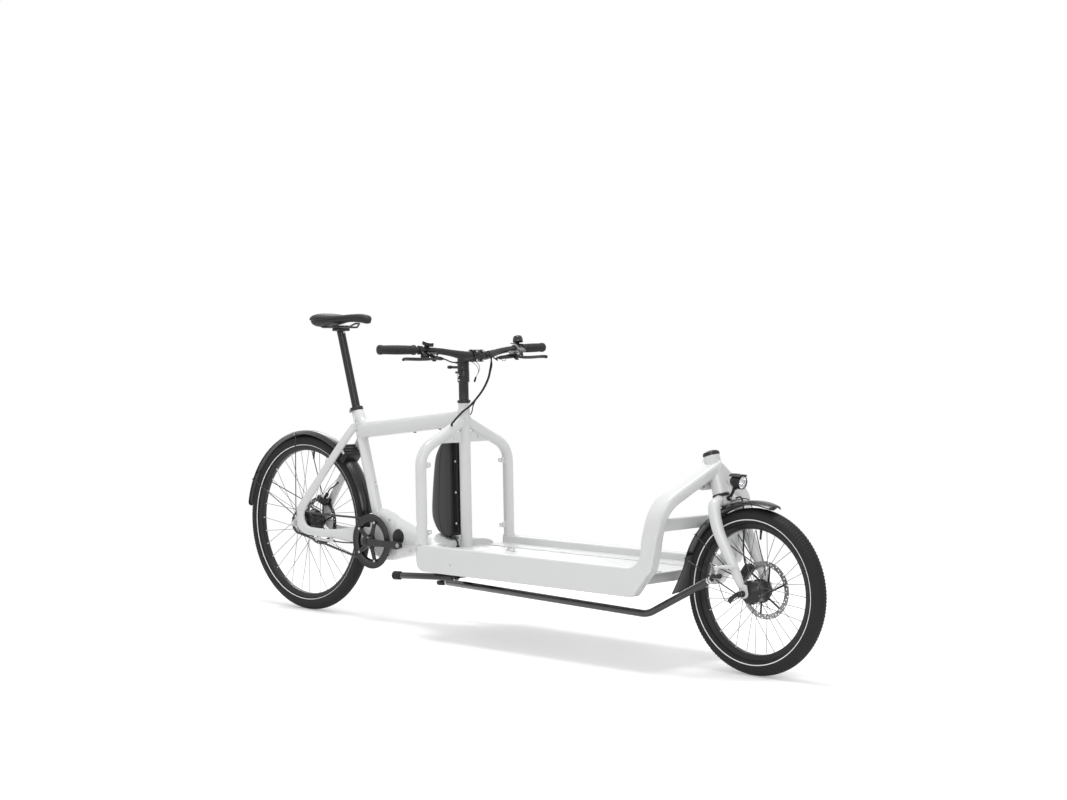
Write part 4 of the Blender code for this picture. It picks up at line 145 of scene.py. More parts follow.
world = bpy.data.worlds.new("studio_air")
world.use_nodes = True
bpy.context.scene.world = world
sky = world.node_tree
sky.nodes.clear()
glow = add_node(sky, "ShaderNodeBackground", None, {"Color": (1.0, 1.0, 1.0, 1.0), "Strength": 1.0})[0]
fill = add_node(sky, "ShaderNodeBackground", None, {"Color": (1.0, 1.0, 1.0, 1.0), "Strength": 0.68})[0]
sky_out = sky.nodes.new("ShaderNodeOutputWorld")
sky.links.new(backdrop(sky, glow, fill).socket, sky_out.inputs[0])


def soft_lamp(name, place, target, size, watts):
    """A square soft box at place, facing target."""
    data = bpy.data.lights.new(name, "AREA")
    data.shape = "SQUARE"
    data.size = size
    data.energy = watts
    lamp = bpy.data.objects.new(name, data)
    lamp.location = array(place) + REAR_HUB
    lamp.rotation_mode = "QUATERNION"
    lamp.rotation_quaternion = (Vector(target) - Vector(place)).to_track_quat("-Z", "Y")
    bpy.context.scene.collection.objects.link(lamp)


MIDDLE = (1.0, 0.0, 0.4)
soft_lamp("overhead", (1.0, -0.3, 4.2), MIDDLE, 1.4, 90.0)
soft_lamp("front_side", (4.6, -3.4, 2.6), MIDDLE, 1.8, 50.0)
soft_lamp("rim_side", (-2.4, 2.8, 2.8), MIDDLE, 1.6, 30.0)

floor_mesh = bpy.data.meshes.new("floor")
FLOOR_REACH = 30.0
corners = array([(-1, -1), (1, -1), (1, 1), (-1, 1)]) * FLOOR_REACH
floor_mesh.from_pydata([(x, y, 0.0) for x, y in corners], [], [(0, 1, 2, 3)])
floor = bpy.data.objects.new("floor", floor_mesh)
bpy.context.scene.collection.objects.link(floor)
paper = bpy.data.materials.new("white_floor")
paper.use_nodes = True
paper_tree = paper.node_tree
paper_tree.nodes.clear()
FLOOR_GLOW, FADE_FROM, FADE_OVER = 0.26, 1.5, 1.4
matte = add_node(paper_tree, "ShaderNodeBsdfDiffuse", None, {"Color": (0.86, 0.86, 0.86, 1.0)})[0]
lift = add_node(paper_tree, "ShaderNodeEmission", None, {"Strength": FLOOR_GLOW})[0]
near_floor = add_node(paper_tree, "ShaderNodeAddShader", None, {0: matte, 1: lift})[0]
white = add_node(paper_tree, "ShaderNodeEmission", None, {"Strength": 1.0})[0]
floor_place = add_node(paper_tree, "ShaderNodeTexCoord")[3]
distance = add_node(paper_tree, "ShaderNodeVectorMath", {"operation": "LENGTH"}, {0: floor_place})[1]
faded = distance.maths("MINIMUM", distance.maths("MAXIMUM", (distance - FADE_FROM) / FADE_OVER, 0.0), 1.0)
seen_floor = add_node(paper_tree, "ShaderNodeMixShader", None, {0: faded, 1: near_floor, 2: white})[0]
paper_out = paper_tree.nodes.new("ShaderNodeOutputMaterial")
paper_tree.links.new(backdrop(paper_tree, seen_floor, matte).socket, paper_out.inputs[0])
floor_mesh.materials.append(paper)


# Finishes
# Each finish is one Principled shader. Its fine grain comes from noise on the
# piece's own place, at the size of the real grain.

SLOT_OF = {}


def finish(name, slot, colour, rough, grain, grain_size, cloud=0.0, rough_cloud=0.0, metallic=0.0, coat=0.0, shine=0.5):
    """A finish in a colour or a grey: a bump of grain micrometres at grain_size millimetres, with slow clouds in its
    colour and roughness."""
    made = bpy.data.materials.new(name)
    made.use_nodes = True
    SLOT_OF[made] = slot
    colour = colour if isinstance(colour, tuple) else (colour,) * 3
    tree = made.node_tree
    shader = tree.nodes["Principled BSDF"]
    for socket, value in {"Base Color": (*colour, 1.0), "Roughness": rough, "Metallic": metallic, "Coat Weight": coat,
                          "Coat Roughness": 0.12, "Specular IOR Level": shine}.items():
        shader.inputs[socket].default_value = value
    place = add_node(tree, "ShaderNodeTexCoord")[3]

    def noise(scale, detail):
        return add_node(tree, "ShaderNodeTexNoise", None, {"Vector": place, "Scale": scale, "Detail": detail})[0]

    slow = noise(14.0, 4.0)
    if cloud:
        dark, light = (tuple(min(c * (1 + k * cloud), 1.0) for c in colour) for k in (-1, 1))
        tree.links.new(mixed(tree, slow, dark, light).socket, shader.inputs["Base Color"])
    if rough_cloud:
        spread = (slow + noise(90.0, 3.0) - 1.0) * rough_cloud + rough
        tree.links.new(spread.socket, shader.inputs["Roughness"])
    if grain:
        bump = add_node(tree, "ShaderNodeBump", None,
                        {"Height": noise(1000 / grain_size, 2.0), "Distance": grain * 1e-6, "Strength": 0.6})[0]
        tree.links.new(bump.socket, shader.inputs["Normal"])
    return made


PAINT = finish("frame_paint_gloss", "frame_paint", (0.66, 0.664, 0.668), 0.3, 60, 2.2, 0.012, 0.05, coat=0.3)
BLACK = finish("black_anodised", "black_anodised", (0.02, 0.02, 0.021), 0.3, 30, 0.7, 0.08, 0.08, 0.25, shine=0.45)
BLACK_PAINT = finish("black_gloss_paint", "black_anodised", 0.009, 0.2, 30, 2, 0, 0.05, coat=0.35, shine=0.35)
DARK_METAL = finish("dark_grey_metal", "bare_steel", (0.045, 0.045, 0.046), 0.4, 40, 0.6, 0.08, 0.08, 0.4)
PLASTIC = finish("black_plastic", "black_plastic", 0.011, 0.42, 60, 0.6, 0.05, 0.08, shine=0.3)
FENDER_GLOSS = finish("fender_gloss", "gloss_black_plastic", 0.011, 0.26, 10, 6, 0, 0.02, coat=0.12, shine=0.4)
RUBBER = finish("black_rubber", "hose_rubber", 0.017, 0.62, 100, 0.8, 0.1, 0.08, shine=0.25)
STEEL = finish("bare_steel", "bare_steel", (0.6, 0.6, 0.61), 0.26, 20, 0.4, 0, 0.1, 1.0)
BATTERY_SHELL = finish("battery_shell", "grey_plastic", (0.03, 0.03, 0.031), 0.36, 50, 0.8, 0.04, 0.06, shine=0.4)


# Seat tube, top tube and steering head tube
# Welded aluminium tube, painted pale grey. Each is its section carried along its
# axis into the next tube, with the rippled bead of its weld round the joint.

X, Y, Z = np.eye(3)


def mm(values):
    """Millimetres as metres."""
    return asarray(values, float) / 1000


def unit(vectors):
    vectors = asarray(vectors, float)
    return vectors / norm(vectors, axis=-1, keepdims=True)


def circle(steps):
    return linspace(0, 2 * pi, steps, endpoint=False)


def ramp(x, start, over):
    """0 up to start, then straight up to 1 over that distance."""
    return clip((x - start) / over, 0, 1)


def bell(x, width):
    return exp(-((x / width) ** 2))


def raised(v, power):
    """|v| to a power, with v's sign."""
    return np.sign(v) * abs(v) ** power


def polar(radius, turn, centre=(0, 0)):
    return stack([centre[0] + radius * cos(turn), centre[1] + radius * sin(turn)], -1)


def across(direction, lead=None):
    """Two unit vectors square to a direction, the first as near as can be to lead."""
    direction = unit(direction)
    lead = np.eye(3)[np.argmin(abs(direction))] if lead is None else lead
    first = unit(lead - np.dot(lead, direction) * direction)
    return first, np.cross(direction, first)


def rays_round(direction, turn, lead=None):
    """Unit vectors square to a direction, at each angle about it."""
    first, second = across(direction, lead)
    return cos(turn)[..., None] * first + sin(turn)[..., None] * second


def skin(points, loop=False, ring=True, caps=True):
    """Quads through a grid of points, each row a section. Loop joins the last row to the first, ring the last column
    to the first, and caps close the open ends with a fan."""
    points = asarray(points, float)
    rows, columns = points.shape[:2]
    index = arange(rows * columns).reshape(rows, columns)
    index = vstack([index, index[:1]]) if loop else index
    index = np.hstack([index, index[:, :1]]) if ring else index
    quads = stack([index[:-1, :-1], index[:-1, 1:], index[1:, 1:], index[1:, :-1]], -1).reshape(-1, 4)
    flat = points.reshape(-1, 3)
    faces = [quads]
    if caps and ring and not loop:
        for edge, middle in ((index[0], len(flat)), (index[-1, ::-1], len(flat) + 1)):
            faces.append(stack([edge[1:], edge[:-1], np.full(len(edge) - 1, middle)], -1))
        flat = vstack([flat, points[0].mean(0), points[-1].mean(0)])
    return flat, faces


def together(*surfaces):
    """Several surfaces as one."""
    points, faces, start = [], [], 0
    for surface in surfaces:
        points.append(surface[0])
        faces += [f + start for f in surface[1]]
        start += len(surface[0])
    return vstack(points), faces


def revolved(profile, centre, direction, steps=48):
    """A profile of (radius, height) pairs turned round the line through centre: centre + height * axis + radius * ray.
    One that starts off the axis closes on itself."""
    profile = asarray(profile, float)
    points = array(centre) + profile[:, 1, None, None] * unit(direction)
    points = points + profile[:, 0, None, None] * rays_round(direction, circle(steps))
    return skin(points, profile[0, 0] > 0, caps=False)


def lathe(profile, centre, direction, steps=48):
    """The same from a profile in millimetres."""
    return revolved(mm(profile), centre, direction, steps)


def even(profile):
    """A profile followed by its mirror image."""
    return [*profile, *((r, -h) for r, h in profile[::-1])]


def frames(path, lead=None, loop=False):
    """Tangents and two normals along a path. Without lead the normals are carried along it with no twist."""
    tangents = unit(roll(path, -1, 0) - roll(path, 1, 0) if loop else np.gradient(path, axis=0))
    if lead is not None:
        first = unit(lead - (tangents @ lead)[:, None] * tangents)
        return first, np.cross(tangents, first)
    first = [across(tangents[0])[0]]
    for tangent in tangents[1:]:
        first.append(unit(first[-1] - np.dot(first[-1], tangent) * tangent))
    return array(first), np.cross(tangents, array(first))


def swept(path, widths, heights=None, lead=None, power=2.0, sides=24, ends=0.0, loop=False):
    """A superellipse |x/w|^p + |y/h|^p = 1 carried along a path. Ends above 0 round both ends off over that length."""
    path = asarray(path, float)
    heights = widths if heights is None else heights
    widths, heights = (broadcast_to(asarray(v, float), len(path)) for v in (widths, heights))
    if ends:
        quarter = linspace(0.12, pi / 2, 5)
        swell, step = sin(quarter), ends * (1 - cos(quarter))[:, None]
        out, back = unit(path[1] - path[0]), unit(path[-2] - path[-1])
        path = vstack([path[0] + out * step, path[1:-1], (path[-1] + back * step)[::-1]])
        widths, heights = (concatenate([v[0] * swell, v[1:-1], v[-1] * swell[::-1]]) for v in (widths, heights))
    c, s = (raised(v, 2 / power) for v in (cos(circle(sides)), sin(circle(sides))))
    first, second = frames(path, lead, loop)
    points = path[:, None] + (widths[:, None] * c)[..., None] * first[:, None]
    return skin(points + (heights[:, None] * s)[..., None] * second[:, None], loop)


def through(points, steps=8):
    """A Catmull-Rom spline through the points, which leaves each one along the chord of its neighbours."""
    points = asarray(points, float)
    padded = vstack([2 * points[0] - points[1], points, 2 * points[-1] - points[-2]])
    a, b, c, d = (padded[i:len(padded) - 3 + i, None] for i in range(4))
    t = linspace(0, 1, steps, endpoint=False)[:, None]
    curve = b + (c - a) * t / 2 + (a - 2.5 * b + 2 * c - d / 2) * t**2 + (1.5 * (b - c) + (d - a) / 2) * t**3
    return vstack([curve.reshape(-1, points.shape[1]), points[-1:]])


def bent(points, radius, steps=10):
    """Straight runs between the points with a curve of about that radius at each corner."""
    points = asarray(points, float)
    path = [points[0]]
    for before, corner, after in zip(points, points[1:], points[2:]):
        into, out = unit(before - corner), unit(after - corner)
        half = np.arccos(clip(into @ out, -1, 1)) / 2
        reach = min(radius / tan(half), norm(before - corner) * 0.49, norm(after - corner) * 0.49)
        t = linspace(0, 1, steps)[:, None]
        path.append((1 - t) ** 2 * (corner + into * reach) + 2 * t * (1 - t) * corner + t**2 * (corner + out * reach))
    return vstack([*path, points[-1]])


def lengths(path):
    """The distance gone at each point of a path."""
    return concatenate([[0], cumsum(norm(np.diff(path, axis=0), axis=1))])


def graded(path, shares, sizes):
    """Sizes in millimetres, given at shares of a path's points, for each of them."""
    return interp(linspace(0, 1, len(path)), shares, mm(sizes))


def turned_about(axis, degrees):
    """The matrix that turns vectors by that angle about the axis."""
    x, y, z = unit(axis)
    skew = array([[0, -z, y], [z, 0, -x], [-y, x, 0]])
    return np.eye(3) + sin(radians(degrees)) * skew + (1 - cos(radians(degrees))) * skew @ skew


def corner_angles(steps):
    """The angles round a rounded rectangle's four corners, and the signs of x and y at each corner."""
    quarter = linspace(0, pi / 2, steps)
    signs = repeat([(1, 1), (-1, 1), (-1, -1), (1, -1)], steps, axis=0)
    return quarter, concatenate([quarter + k * pi / 2 for k in range(4)]), signs


def block(size, centre, turn=np.eye(3), corner=2.0):
    """A box, its size and corner in millimetres: a rounded rectangle drawn in by a quarter circle at both ends of z."""
    half = mm(size) / 2
    corner = min(corner / 1000, half.min() * 0.98)
    quarter, about, signs = corner_angles(4)
    swell = concatenate([sin(quarter), sin(quarter[::-1])])
    drop = half[2] - corner + corner * cos(quarter)
    flat = signs * (half[:2] - corner) + swell[:, None, None] * corner * polar(1, about)
    rise = broadcast_to(concatenate([-drop, drop[::-1]])[:, None, None], (*flat.shape[:2], 1))
    return skin(concatenate([flat, rise], -1) @ turn.T + array(centre))


def cap_of(outlines):
    return array(tessellate_polygon([[Vector((x, y, 0)) for x, y in o] for o in outlines]))


def plate(outline, thickness, origin, holes=(), right=X, up=Z):
    """A flat sheet cut to an outline, with holes, in the plane of right and up, about its middle."""
    normal = np.cross(right, up) * thickness / 2
    outlines = [asarray(outline, float), *(hole[::-1] for hole in holes)]
    flat, triangles = vstack(outlines), cap_of(outlines)
    middle = array(origin) + flat[:, :1] * right + flat[:, 1:] * up
    count = len(flat)
    faces, start = [triangles, triangles[:, ::-1] + count], 0
    for edge in outlines:
        here = arange(len(edge)) + start
        onward = roll(here, -1)
        faces.append(stack([here, onward, onward + count, here + count], -1))
        start += len(edge)
    return vstack([middle + normal, middle - normal]), faces


def ring_of(radius, steps=32, centre=(0, 0)):
    return polar(radius, circle(steps), centre)


def turned_rows(rows, centre, direction, steps, reach):
    """Rows of (share, rise) turned round a line, where reach gives each row's radius from its share and the distance
    to a six-sided outline at each angle."""
    turn = circle(steps)
    hexagon = cos(pi / 6) / cos(turn % (pi / 3) - pi / 6)
    centre, axis, rays = array(centre), unit(direction), rays_round(direction, turn)
    return skin([centre + rise * axis + broadcast_to(reach(share, hexagon), steps)[:, None] * rays
                 for share, rise in rows], caps=False)


def screw(centre, direction, radius, height, recess=True):
    """A socket-head screw standing on centre, in millimetres: rounded edge and a six-sided recess."""
    rows = [(0, 0), (1, 0), (1, 0.8), (0.94, 0.95), (0.86, 1.0), (0.56, 1.0), (0.54, 0.45), (0, 0.45)]
    rows = rows if recess else rows[:5] + [(0.5, 1.06), (0, 1.08)]
    return turned_rows([(share, rise * height / 1000) for share, rise in rows], centre, direction, 48,
                       lambda share, six: radius / 1000 * share * (six if recess and 0.5 < share < 0.6 else 1.0))


def hex_nut(centre, direction, radius, height, bore=0.0):
    """A six-sided nut standing on centre, in millimetres, its corners chamfered."""
    rows = [(None, 0.0), (0.93, 0.0), (1.0, 0.14), (1.0, 0.86), (0.93, 1.0), (None, 1.0)]
    return turned_rows([(share, rise * height / 1000) for share, rise in rows], centre, direction, 36,
                       lambda share, six: radius / 1000 * (bore / 1150 if share is None else share * minimum(six, 1)))


def add_piece(name, body, finishes, replaces=(), sharp=38.0, bevel=0.0, slot=None):
    """Makes one piece of the surfaces under each finish, shifts it to the frame's origin and lets it ride on a body."""
    points, faces, stuff, start = [], [], [], 0
    for number, surfaces in enumerate(finishes.values()):
        for surface in surfaces:
            points.append(surface[0])
            for group in surface[1]:
                faces += (group + start).tolist()
                stuff += [number] * len(group)
            start += len(surface[0])
    mesh = bpy.data.meshes.new(name)
    mesh.from_pydata((vstack(points) + REAR_HUB).tolist(), [], faces)
    mesh.polygons.foreach_set("material_index", stuff)
    shape = bmesh.new()
    shape.from_mesh(mesh)
    bmesh.ops.remove_doubles(shape, verts=shape.verts, dist=2e-6)
    bmesh.ops.recalc_face_normals(shape, faces=shape.faces)
    shape.to_mesh(mesh)
    shape.free()
    for material in finishes:
        mesh.materials.append(material)
    mesh.shade_smooth()
    mesh.set_sharp_from_angle(angle=radians(sharp))
    piece = bpy.data.objects.new(name, mesh)
    bpy.context.scene.collection.objects.link(piece)
    if bevel:
        edge = piece.modifiers.new("edge", "BEVEL")
        edge.width = bevel
        edge.segments = 3
        edge.limit_method = "ANGLE"
        edge.angle_limit = radians(45)
    if body:
        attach(piece, body)
    slot or SLOT_OF[next(iter(finishes))]
    if replaces:
        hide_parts(*replaces)
    return piece


def on_cylinder(points, direction, foot, axis, radius):
    """Slides each point along direction to where it meets a cylinder's near side: the root of a quadratic."""
    across_line = direction - (direction @ axis) * axis
    offset = points - foot
    offset = offset - (offset @ axis)[:, None] * axis
    a, b, c = across_line @ across_line, 2 * offset @ across_line, (offset**2).sum(1) - radius**2
    root = (-b - sqrt(maximum(b * b - 4 * a * c, 0))) / (2 * a)
    return points + root[:, None] * direction


def weld(ring, radius=0.0028):
    """The bead round a joint: a thin tube on the joint's line, its radius rippling once every 3.5 mm."""
    closed = vstack([ring, ring[:1]])
    length = lengths(closed)
    count = max(int(length[-1] / 0.0035) * 4, 24)
    place = linspace(0, length[-1], count, endpoint=False)
    line = stack([interp(place, length, closed[:, k]) for k in range(3)], -1)
    return swept(line, radius * (1 + 0.1 * cos(arange(count) * pi / 2)), sides=8, loop=True)


def section_ring(centre, direction, lead, width, height, power=2.0):
    """The points of one superellipse section."""
    first, second = across(direction, lead)
    c, s = (raised(v, 2 / power)[:, None] for v in (cos(circle(96)), sin(circle(96))))
    return array(centre) + width * c * first + height * s * second


SEAT_AXIS = array([-cos(radians(73.2)), 0, sin(radians(73.2))])
SEAT_TOP = array([0.2653, 0, 0.765])
COLUMN_AXIS = array([-sin(radians(1.5)), 0, cos(radians(1.5))])
COLUMN_TOP = array([0.827, 0, 0.8])
TUBE = 0.02


def seat_at(z):
    return SEAT_TOP + SEAT_AXIS * (z - SEAT_TOP[2]) / SEAT_AXIS[2]


def column_at(z):
    return COLUMN_TOP + COLUMN_AXIS * (z - COLUMN_TOP[2]) / COLUMN_AXIS[2]


seat_length = norm(SEAT_TOP - seat_at(0.372)) * 1000
add_piece("painted_seat_tube", "frame", {PAINT: [lathe(
    [(16.2, -4), (16.2, seat_length), (19.4, seat_length), (20, seat_length - 0.8), (20, -4)],
    seat_at(0.372), SEAT_AXIS, 64)]}, ["seat_tube"])
seat_ahead = array([SEAT_AXIS[2], 0, -SEAT_AXIS[0]])
cage_screws = [screw(seat_at(z) + TUBE * 0.96 * seat_ahead, seat_ahead, 3.6, 2.8) for z in (0.494, 0.478)]
add_piece("seat_tube_screws", "frame", {STEEL: cage_screws})

head_low = column_at(0.236)
head_length = norm(COLUMN_TOP - head_low) * 1000
add_piece("painted_steering_head_tube", "frame", {PAINT: [lathe(
    [(15.6, 0), (15.6, head_length), (19.2, head_length), (20, head_length - 0.8), (20, 0.8), (19.2, 0)],
    head_low, COLUMN_AXIS, 64)]}, ["steering_head_tube"])

top_rear, top_front = seat_at(0.684), column_at(0.749)
TOP_SECTION = (0.022, 0.029)
top_line = unit(top_front - top_rear)
middle_ring = section_ring((top_rear + top_front) / 2, top_line, Y, *TOP_SECTION, 3.0)
bosses = [lathe([(0, 1), (5.6, 1), (5.6, -2), (4.6, -3.2), (0, -3.2)],
                top_rear + (top_front - top_rear) * share - TOP_SECTION[1] * Z, Z, 24) for share in (0.535, 0.775)]
add_piece("painted_top_tube", "frame", {PAINT: [
    swept([top_rear + top_line * 0.004, top_front - top_line * 0.004], *TOP_SECTION, Y, 3.0, 72),
    weld(on_cylinder(middle_ring, top_line, COLUMN_TOP, COLUMN_AXIS, TUBE)),
    weld(on_cylinder(middle_ring, -top_line, SEAT_TOP, SEAT_AXIS, TUBE)),
]}, ["top_tube"])
elbow = through(mm([(267.2, 0, 759), (277.4, 0, 744.8), (295, 0, 718), (316, 0, 704), (347.6, 0, 699),
                    (385, 0, 703.6)]), 10)
add_piece("painted_tube_fillet", "frame", {PAINT: [swept(elbow, 0.0197, 0.02, Y, 2.3, 64)]})
add_piece("top_tube_bosses", "frame", {BLACK: bosses})


# Shoulder tubes
# A round tube each side, from the bed rail up and bent in to the steering head
# tube, with two lashing eyelets welded inside it and a gusset under its slope.

HANDS = ((-1, "right"), (1, "left"))
BED_HALF, BED_TOP, BED_LOW = 0.231, 0.325, 0.233
SHOULDER, SHOULDER_JOIN, SHOULDER_SLOPE = 0.0185, 0.731, radians(25.5)
shoulder_y = BED_HALF - SHOULDER
corner_z = SHOULDER_JOIN - (shoulder_y - TUBE) * tan(SHOULDER_SLOPE)
inner_z = SHOULDER_JOIN + TUBE * tan(SHOULDER_SLOPE)


def shoulder_point(y, z):
    return array([column_at(z)[0], y, z])


for side, hand in HANDS:
    line = bent([shoulder_point(side * shoulder_y, BED_TOP + 0.0006), shoulder_point(side * shoulder_y, corner_z),
                 shoulder_point(0.0, inner_z)], 0.09, 16)
    foot = shoulder_point(side * shoulder_y, BED_TOP + 0.0015)
    into = unit(line[-1] - line[-2])
    parts = [
        swept(line, SHOULDER, sides=48), weld(section_ring(foot, Z, X, SHOULDER + 0.001, SHOULDER + 0.001), 0.0024),
        weld(on_cylinder(section_ring(line[-1] - into * 0.12, into, X, SHOULDER, SHOULDER), into, COLUMN_TOP,
                         COLUMN_AXIS, TUBE)),
    ]
    for z in (0.593, 0.363):
        root = shoulder_point(side * (shoulder_y - SHOULDER + 0.004), z)
        nose = polar(0.0085, linspace(-pi / 2, pi / 2, 14), (0.0235, 0))
        outline = vstack([[(-0.002, -0.013)], nose, [(-0.002, 0.013)]])
        parts.append(plate(outline, 0.005, root, [ring_of(0.004, 20, (0.0235, 0))], -side * Y))
    low_z, high_z, reach = 0.664, 0.7, shoulder_y - 0.078
    outline = [(0.008, low_z), (reach, low_z), (reach - 0.012, low_z + 0.012), (reach - 0.04, high_z), (0.008, high_z)]
    gusset = plate(outline, 0.007, [column_at(0.68)[0], 0, 0], [ring_of(0.0048, 20, (0.06, 0.681))], side * Y)
    add_piece(f"painted_{hand}_shoulder_tube", "frame", {PAINT: [*parts, gusset]}, [f"{hand}_shoulder_tube"])


# Motor housing, stays and the bridge between them
# The housing is a cast shell from the cranks to the bed, the stays are forged and
# taper to a rounded dropout, and all of it is welded and painted with the frame.

WHEELBASE = 2.1
REAR_TYRE_RADIUS = 0.3295
REAR_AXLE = REAR_TYRE_RADIUS * Z
BB = array([0.407, 0.0, 0.29])
housing_stations = mm([
    (360, 264, 320, 26), (377, 238, 365, 36), (420, 224, 408, 40.7), (467, 222, 402, 41.7), (505, 230, 390, 41.7),
    (537, 237, 381, 50), (620, 256, 363, 62), (727, 264, 342, 92), (795, 255, 322, 135), (824.7, 253, 323, 150),
])


def lofted(stations):
    """A body along x from stations of (x, low, high, half width): superellipses on a curve, its rear end rounded."""
    x, low, high, half = through(stations, 10).T[..., None]
    swell = minimum(1.0, sqrt(clip((x - x[0] + 0.0006) / 0.012, 0, 1)))
    c, s = (raised(v, 2 / 3.2) for v in (cos(circle(64)), sin(circle(64))))
    rise = (low + high) / 2 + (high - low) / 2 * swell * s
    return skin(stack([x + 0 * c, half * swell * c, rise], -1))


def housing_side(x):
    return interp(x, housing_stations[:, 0], housing_stations[:, 3])


COVER_AT = array([0.55, -0.0535, 0.316])
cover_seat = lathe([(28.3, -1), (32.2, -1), (32.2, 1), (31, 2.2), (29.2, 2.2), (28.3, 1)], COVER_AT, -Y)
seam_x = linspace(0.47, 0.8, 40)
seam_z = interp(seam_x, housing_stations[:, 0], housing_stations[:, 1:3].mean(1)) - 0.03
shell_seam = swept(stack([seam_x, -housing_side(seam_x) - 0.0002, seam_z], -1), 0.001, sides=6, ends=0.001)
add_piece("painted_motor_housing", "frame", {PAINT: [lofted(housing_stations), cover_seat, shell_seam]},
          ["motor_housing"])
add_piece("housing_screws", "frame", {STEEL: [screw((x, 0.0035 - housing_side(x), z), -Y, 4.4, 3.5) for x, z in
                                              ((0.486, 0.372), (0.48, 0.243), (0.61, 0.268))]})
cover = lathe([(0, 11.8), (10, 11.6), (18, 10.6), (19.5, 9.8), (20, 9), (21.2, 9.2), (23.5, 8.5), (26.2, 6.6),
               (28, 3.6), (28, -5), (0, -5)], COVER_AT, -Y, 64)
cover_ribs = [swept([COVER_AT + ray * 0.006 - 0.0112 * Y, COVER_AT + ray * 0.0165 - 0.0103 * Y], 0.0014, 0.0012,
                    sides=10, ends=0.0012) for ray in cos(circle(6))[:, None] * X + sin(circle(6))[:, None] * Z]
add_piece("domed_motor_cover", "frame", {PLASTIC: [cover, *cover_ribs]}, ["motor_cover"])

STAY_Y = 0.066
REAR_FENDER = REAR_TYRE_RADIUS + 0.0145
stay_line = vstack([[(seat_at(0.7)[0] - 0.002, 0.026, 0.7)], mm([
    (245, 38.5, 650.5), (190, 47.5, 583), (105, 58, 479), (46, 66, 406), (23.5, 66, 370), (27, 66, 334), (58, 66, 309),
    (110, 62, 303), (200, 50, 302), (290, 38.5, 303), (345, 37, 303), (385, 34, 303)])])
stay_depth = [15, 15.5, 16, 16.5, 17.5, 21.5, 22.5, 17, 15, 17, 29, 33, 33]
stay_sizes = through(mm(stack([[7.5] * 9 + [7, 6, 6, 6], stay_depth], -1)), 8).T
BRIDGE_ANGLE = radians(50.5)
bridge_out = array([cos(BRIDGE_ANGLE), 0, sin(BRIDGE_ANGLE)])
bridge_turn = stack([[bridge_out[2], 0, -bridge_out[0]], Y, bridge_out], -1)
bridge_at = REAR_AXLE + bridge_out * (REAR_FENDER + 0.0145)
for side, hand in HANDS:
    points = stay_line * [1, side, 1]
    tab = vstack([[(0.034, -0.012), (0.03, 0.02)], polar(0.0158, linspace(radians(64), radians(296), 20))])
    inward = unit(points[0] - points[1])
    ring = section_ring(points[1], inward, Y, 0.0075, 0.0152, 3.0)
    add_piece(f"painted_{hand}_stay", "frame", {PAINT: [
        swept(through(points), *stay_sizes, Y, 3.0, 40), plate(tab[::-1], 0.007, REAR_AXLE + side * STAY_Y * Y),
        weld(on_cylinder(ring, inward, SEAT_TOP, SEAT_AXIS, TUBE + 0.0004), 0.0022),
        block([26, 39, 12], bridge_at + side * 0.0197 * Y, bridge_turn, 3),
    ]}, [f"{hand}_rear_stay"])


# Bed rails, front arches and the front head tube
# Each rail is a deep rounded box that sweeps up at the front. A flattened tube
# goes on from it, in and up to the head tube, with a gusset under the joint.

RAIL_WIDTH, SPLIT_Z = 0.04, 0.398
BED_FRONT = WHEELBASE - 0.306
ARCH_FOOT = array([WHEELBASE - 0.2405, BED_HALF - 0.019, SPLIT_Z])
FRONT_HEAD_AXIS = array([-cos(radians(72.3)), 0, sin(radians(72.3))])
FRONT_HEAD_TOP = array([WHEELBASE - 0.18, 0, 0.681])


def front_head_at(z):
    return FRONT_HEAD_TOP + FRONT_HEAD_AXIS * (z - FRONT_HEAD_TOP[2]) / FRONT_HEAD_AXIS[2]


def arc(centre, radius, start, stop, steps=10):
    """Points on an arc, its angles in degrees."""
    return polar(radius, radians(linspace(start, stop, steps)), centre)


def soft_plate(outline, low_y, high_y, corner, fixed=()):
    """An outline in x and z carried from low_y to high_y, drawn in by a quarter circle at both ends. Each point moves
    square to the outline there, but those in fixed move only along x."""
    outline = asarray(outline, float)
    onward, back = roll(outline, -1, 0), roll(outline, 1, 0)
    ahead, behind = unit(onward - outline), unit(outline - back)
    stretch = 1 / maximum(sqrt((1 + (ahead * behind).sum(1)) / 2), 0.5)
    area = np.sum(outline[:, 0] * onward[:, 1] - onward[:, 0] * outline[:, 1])
    move = -unit(ahead + behind)[:, ::-1] * [1, -1] * stretch[:, None] * np.sign(area)
    for number in fixed:
        move[number] = [np.sign(move[number, 0]), 0]
    quarter = linspace(0, pi / 2, 6)
    inset, rise = corner * (1 - sin(quarter)), corner * (1 - cos(quarter))
    place = concatenate([low_y + rise, high_y - rise[::-1]])
    flat = outline + concatenate([inset, inset[::-1]])[:, None, None] * move
    points = stack([flat[..., 0], broadcast_to(place[:, None], flat.shape[:2]), flat[..., 1]], -1)
    body, faces = skin(points, caps=False)
    cap = cap_of([flat[0]])
    return body, [*faces, cap, cap[:, ::-1] + len(outline) * (len(place) - 1)]


def box_tube(path, lead, widths, heights, corners):
    """A rounded rectangle carried along a path, with its half width, half height and corner radius at each point."""
    first, second = frames(path, lead)
    _, about, signs = corner_angles(6)
    widths, heights, corners = (broadcast_to(v, len(path))[:, None] for v in (widths, heights, corners))
    a = signs[:, 0] * (widths - corners) + corners * cos(about)
    b = signs[:, 1] * (heights - corners) + corners * sin(about)
    return skin(path[:, None] + a[..., None] * first[:, None] + b[..., None] * second[:, None])


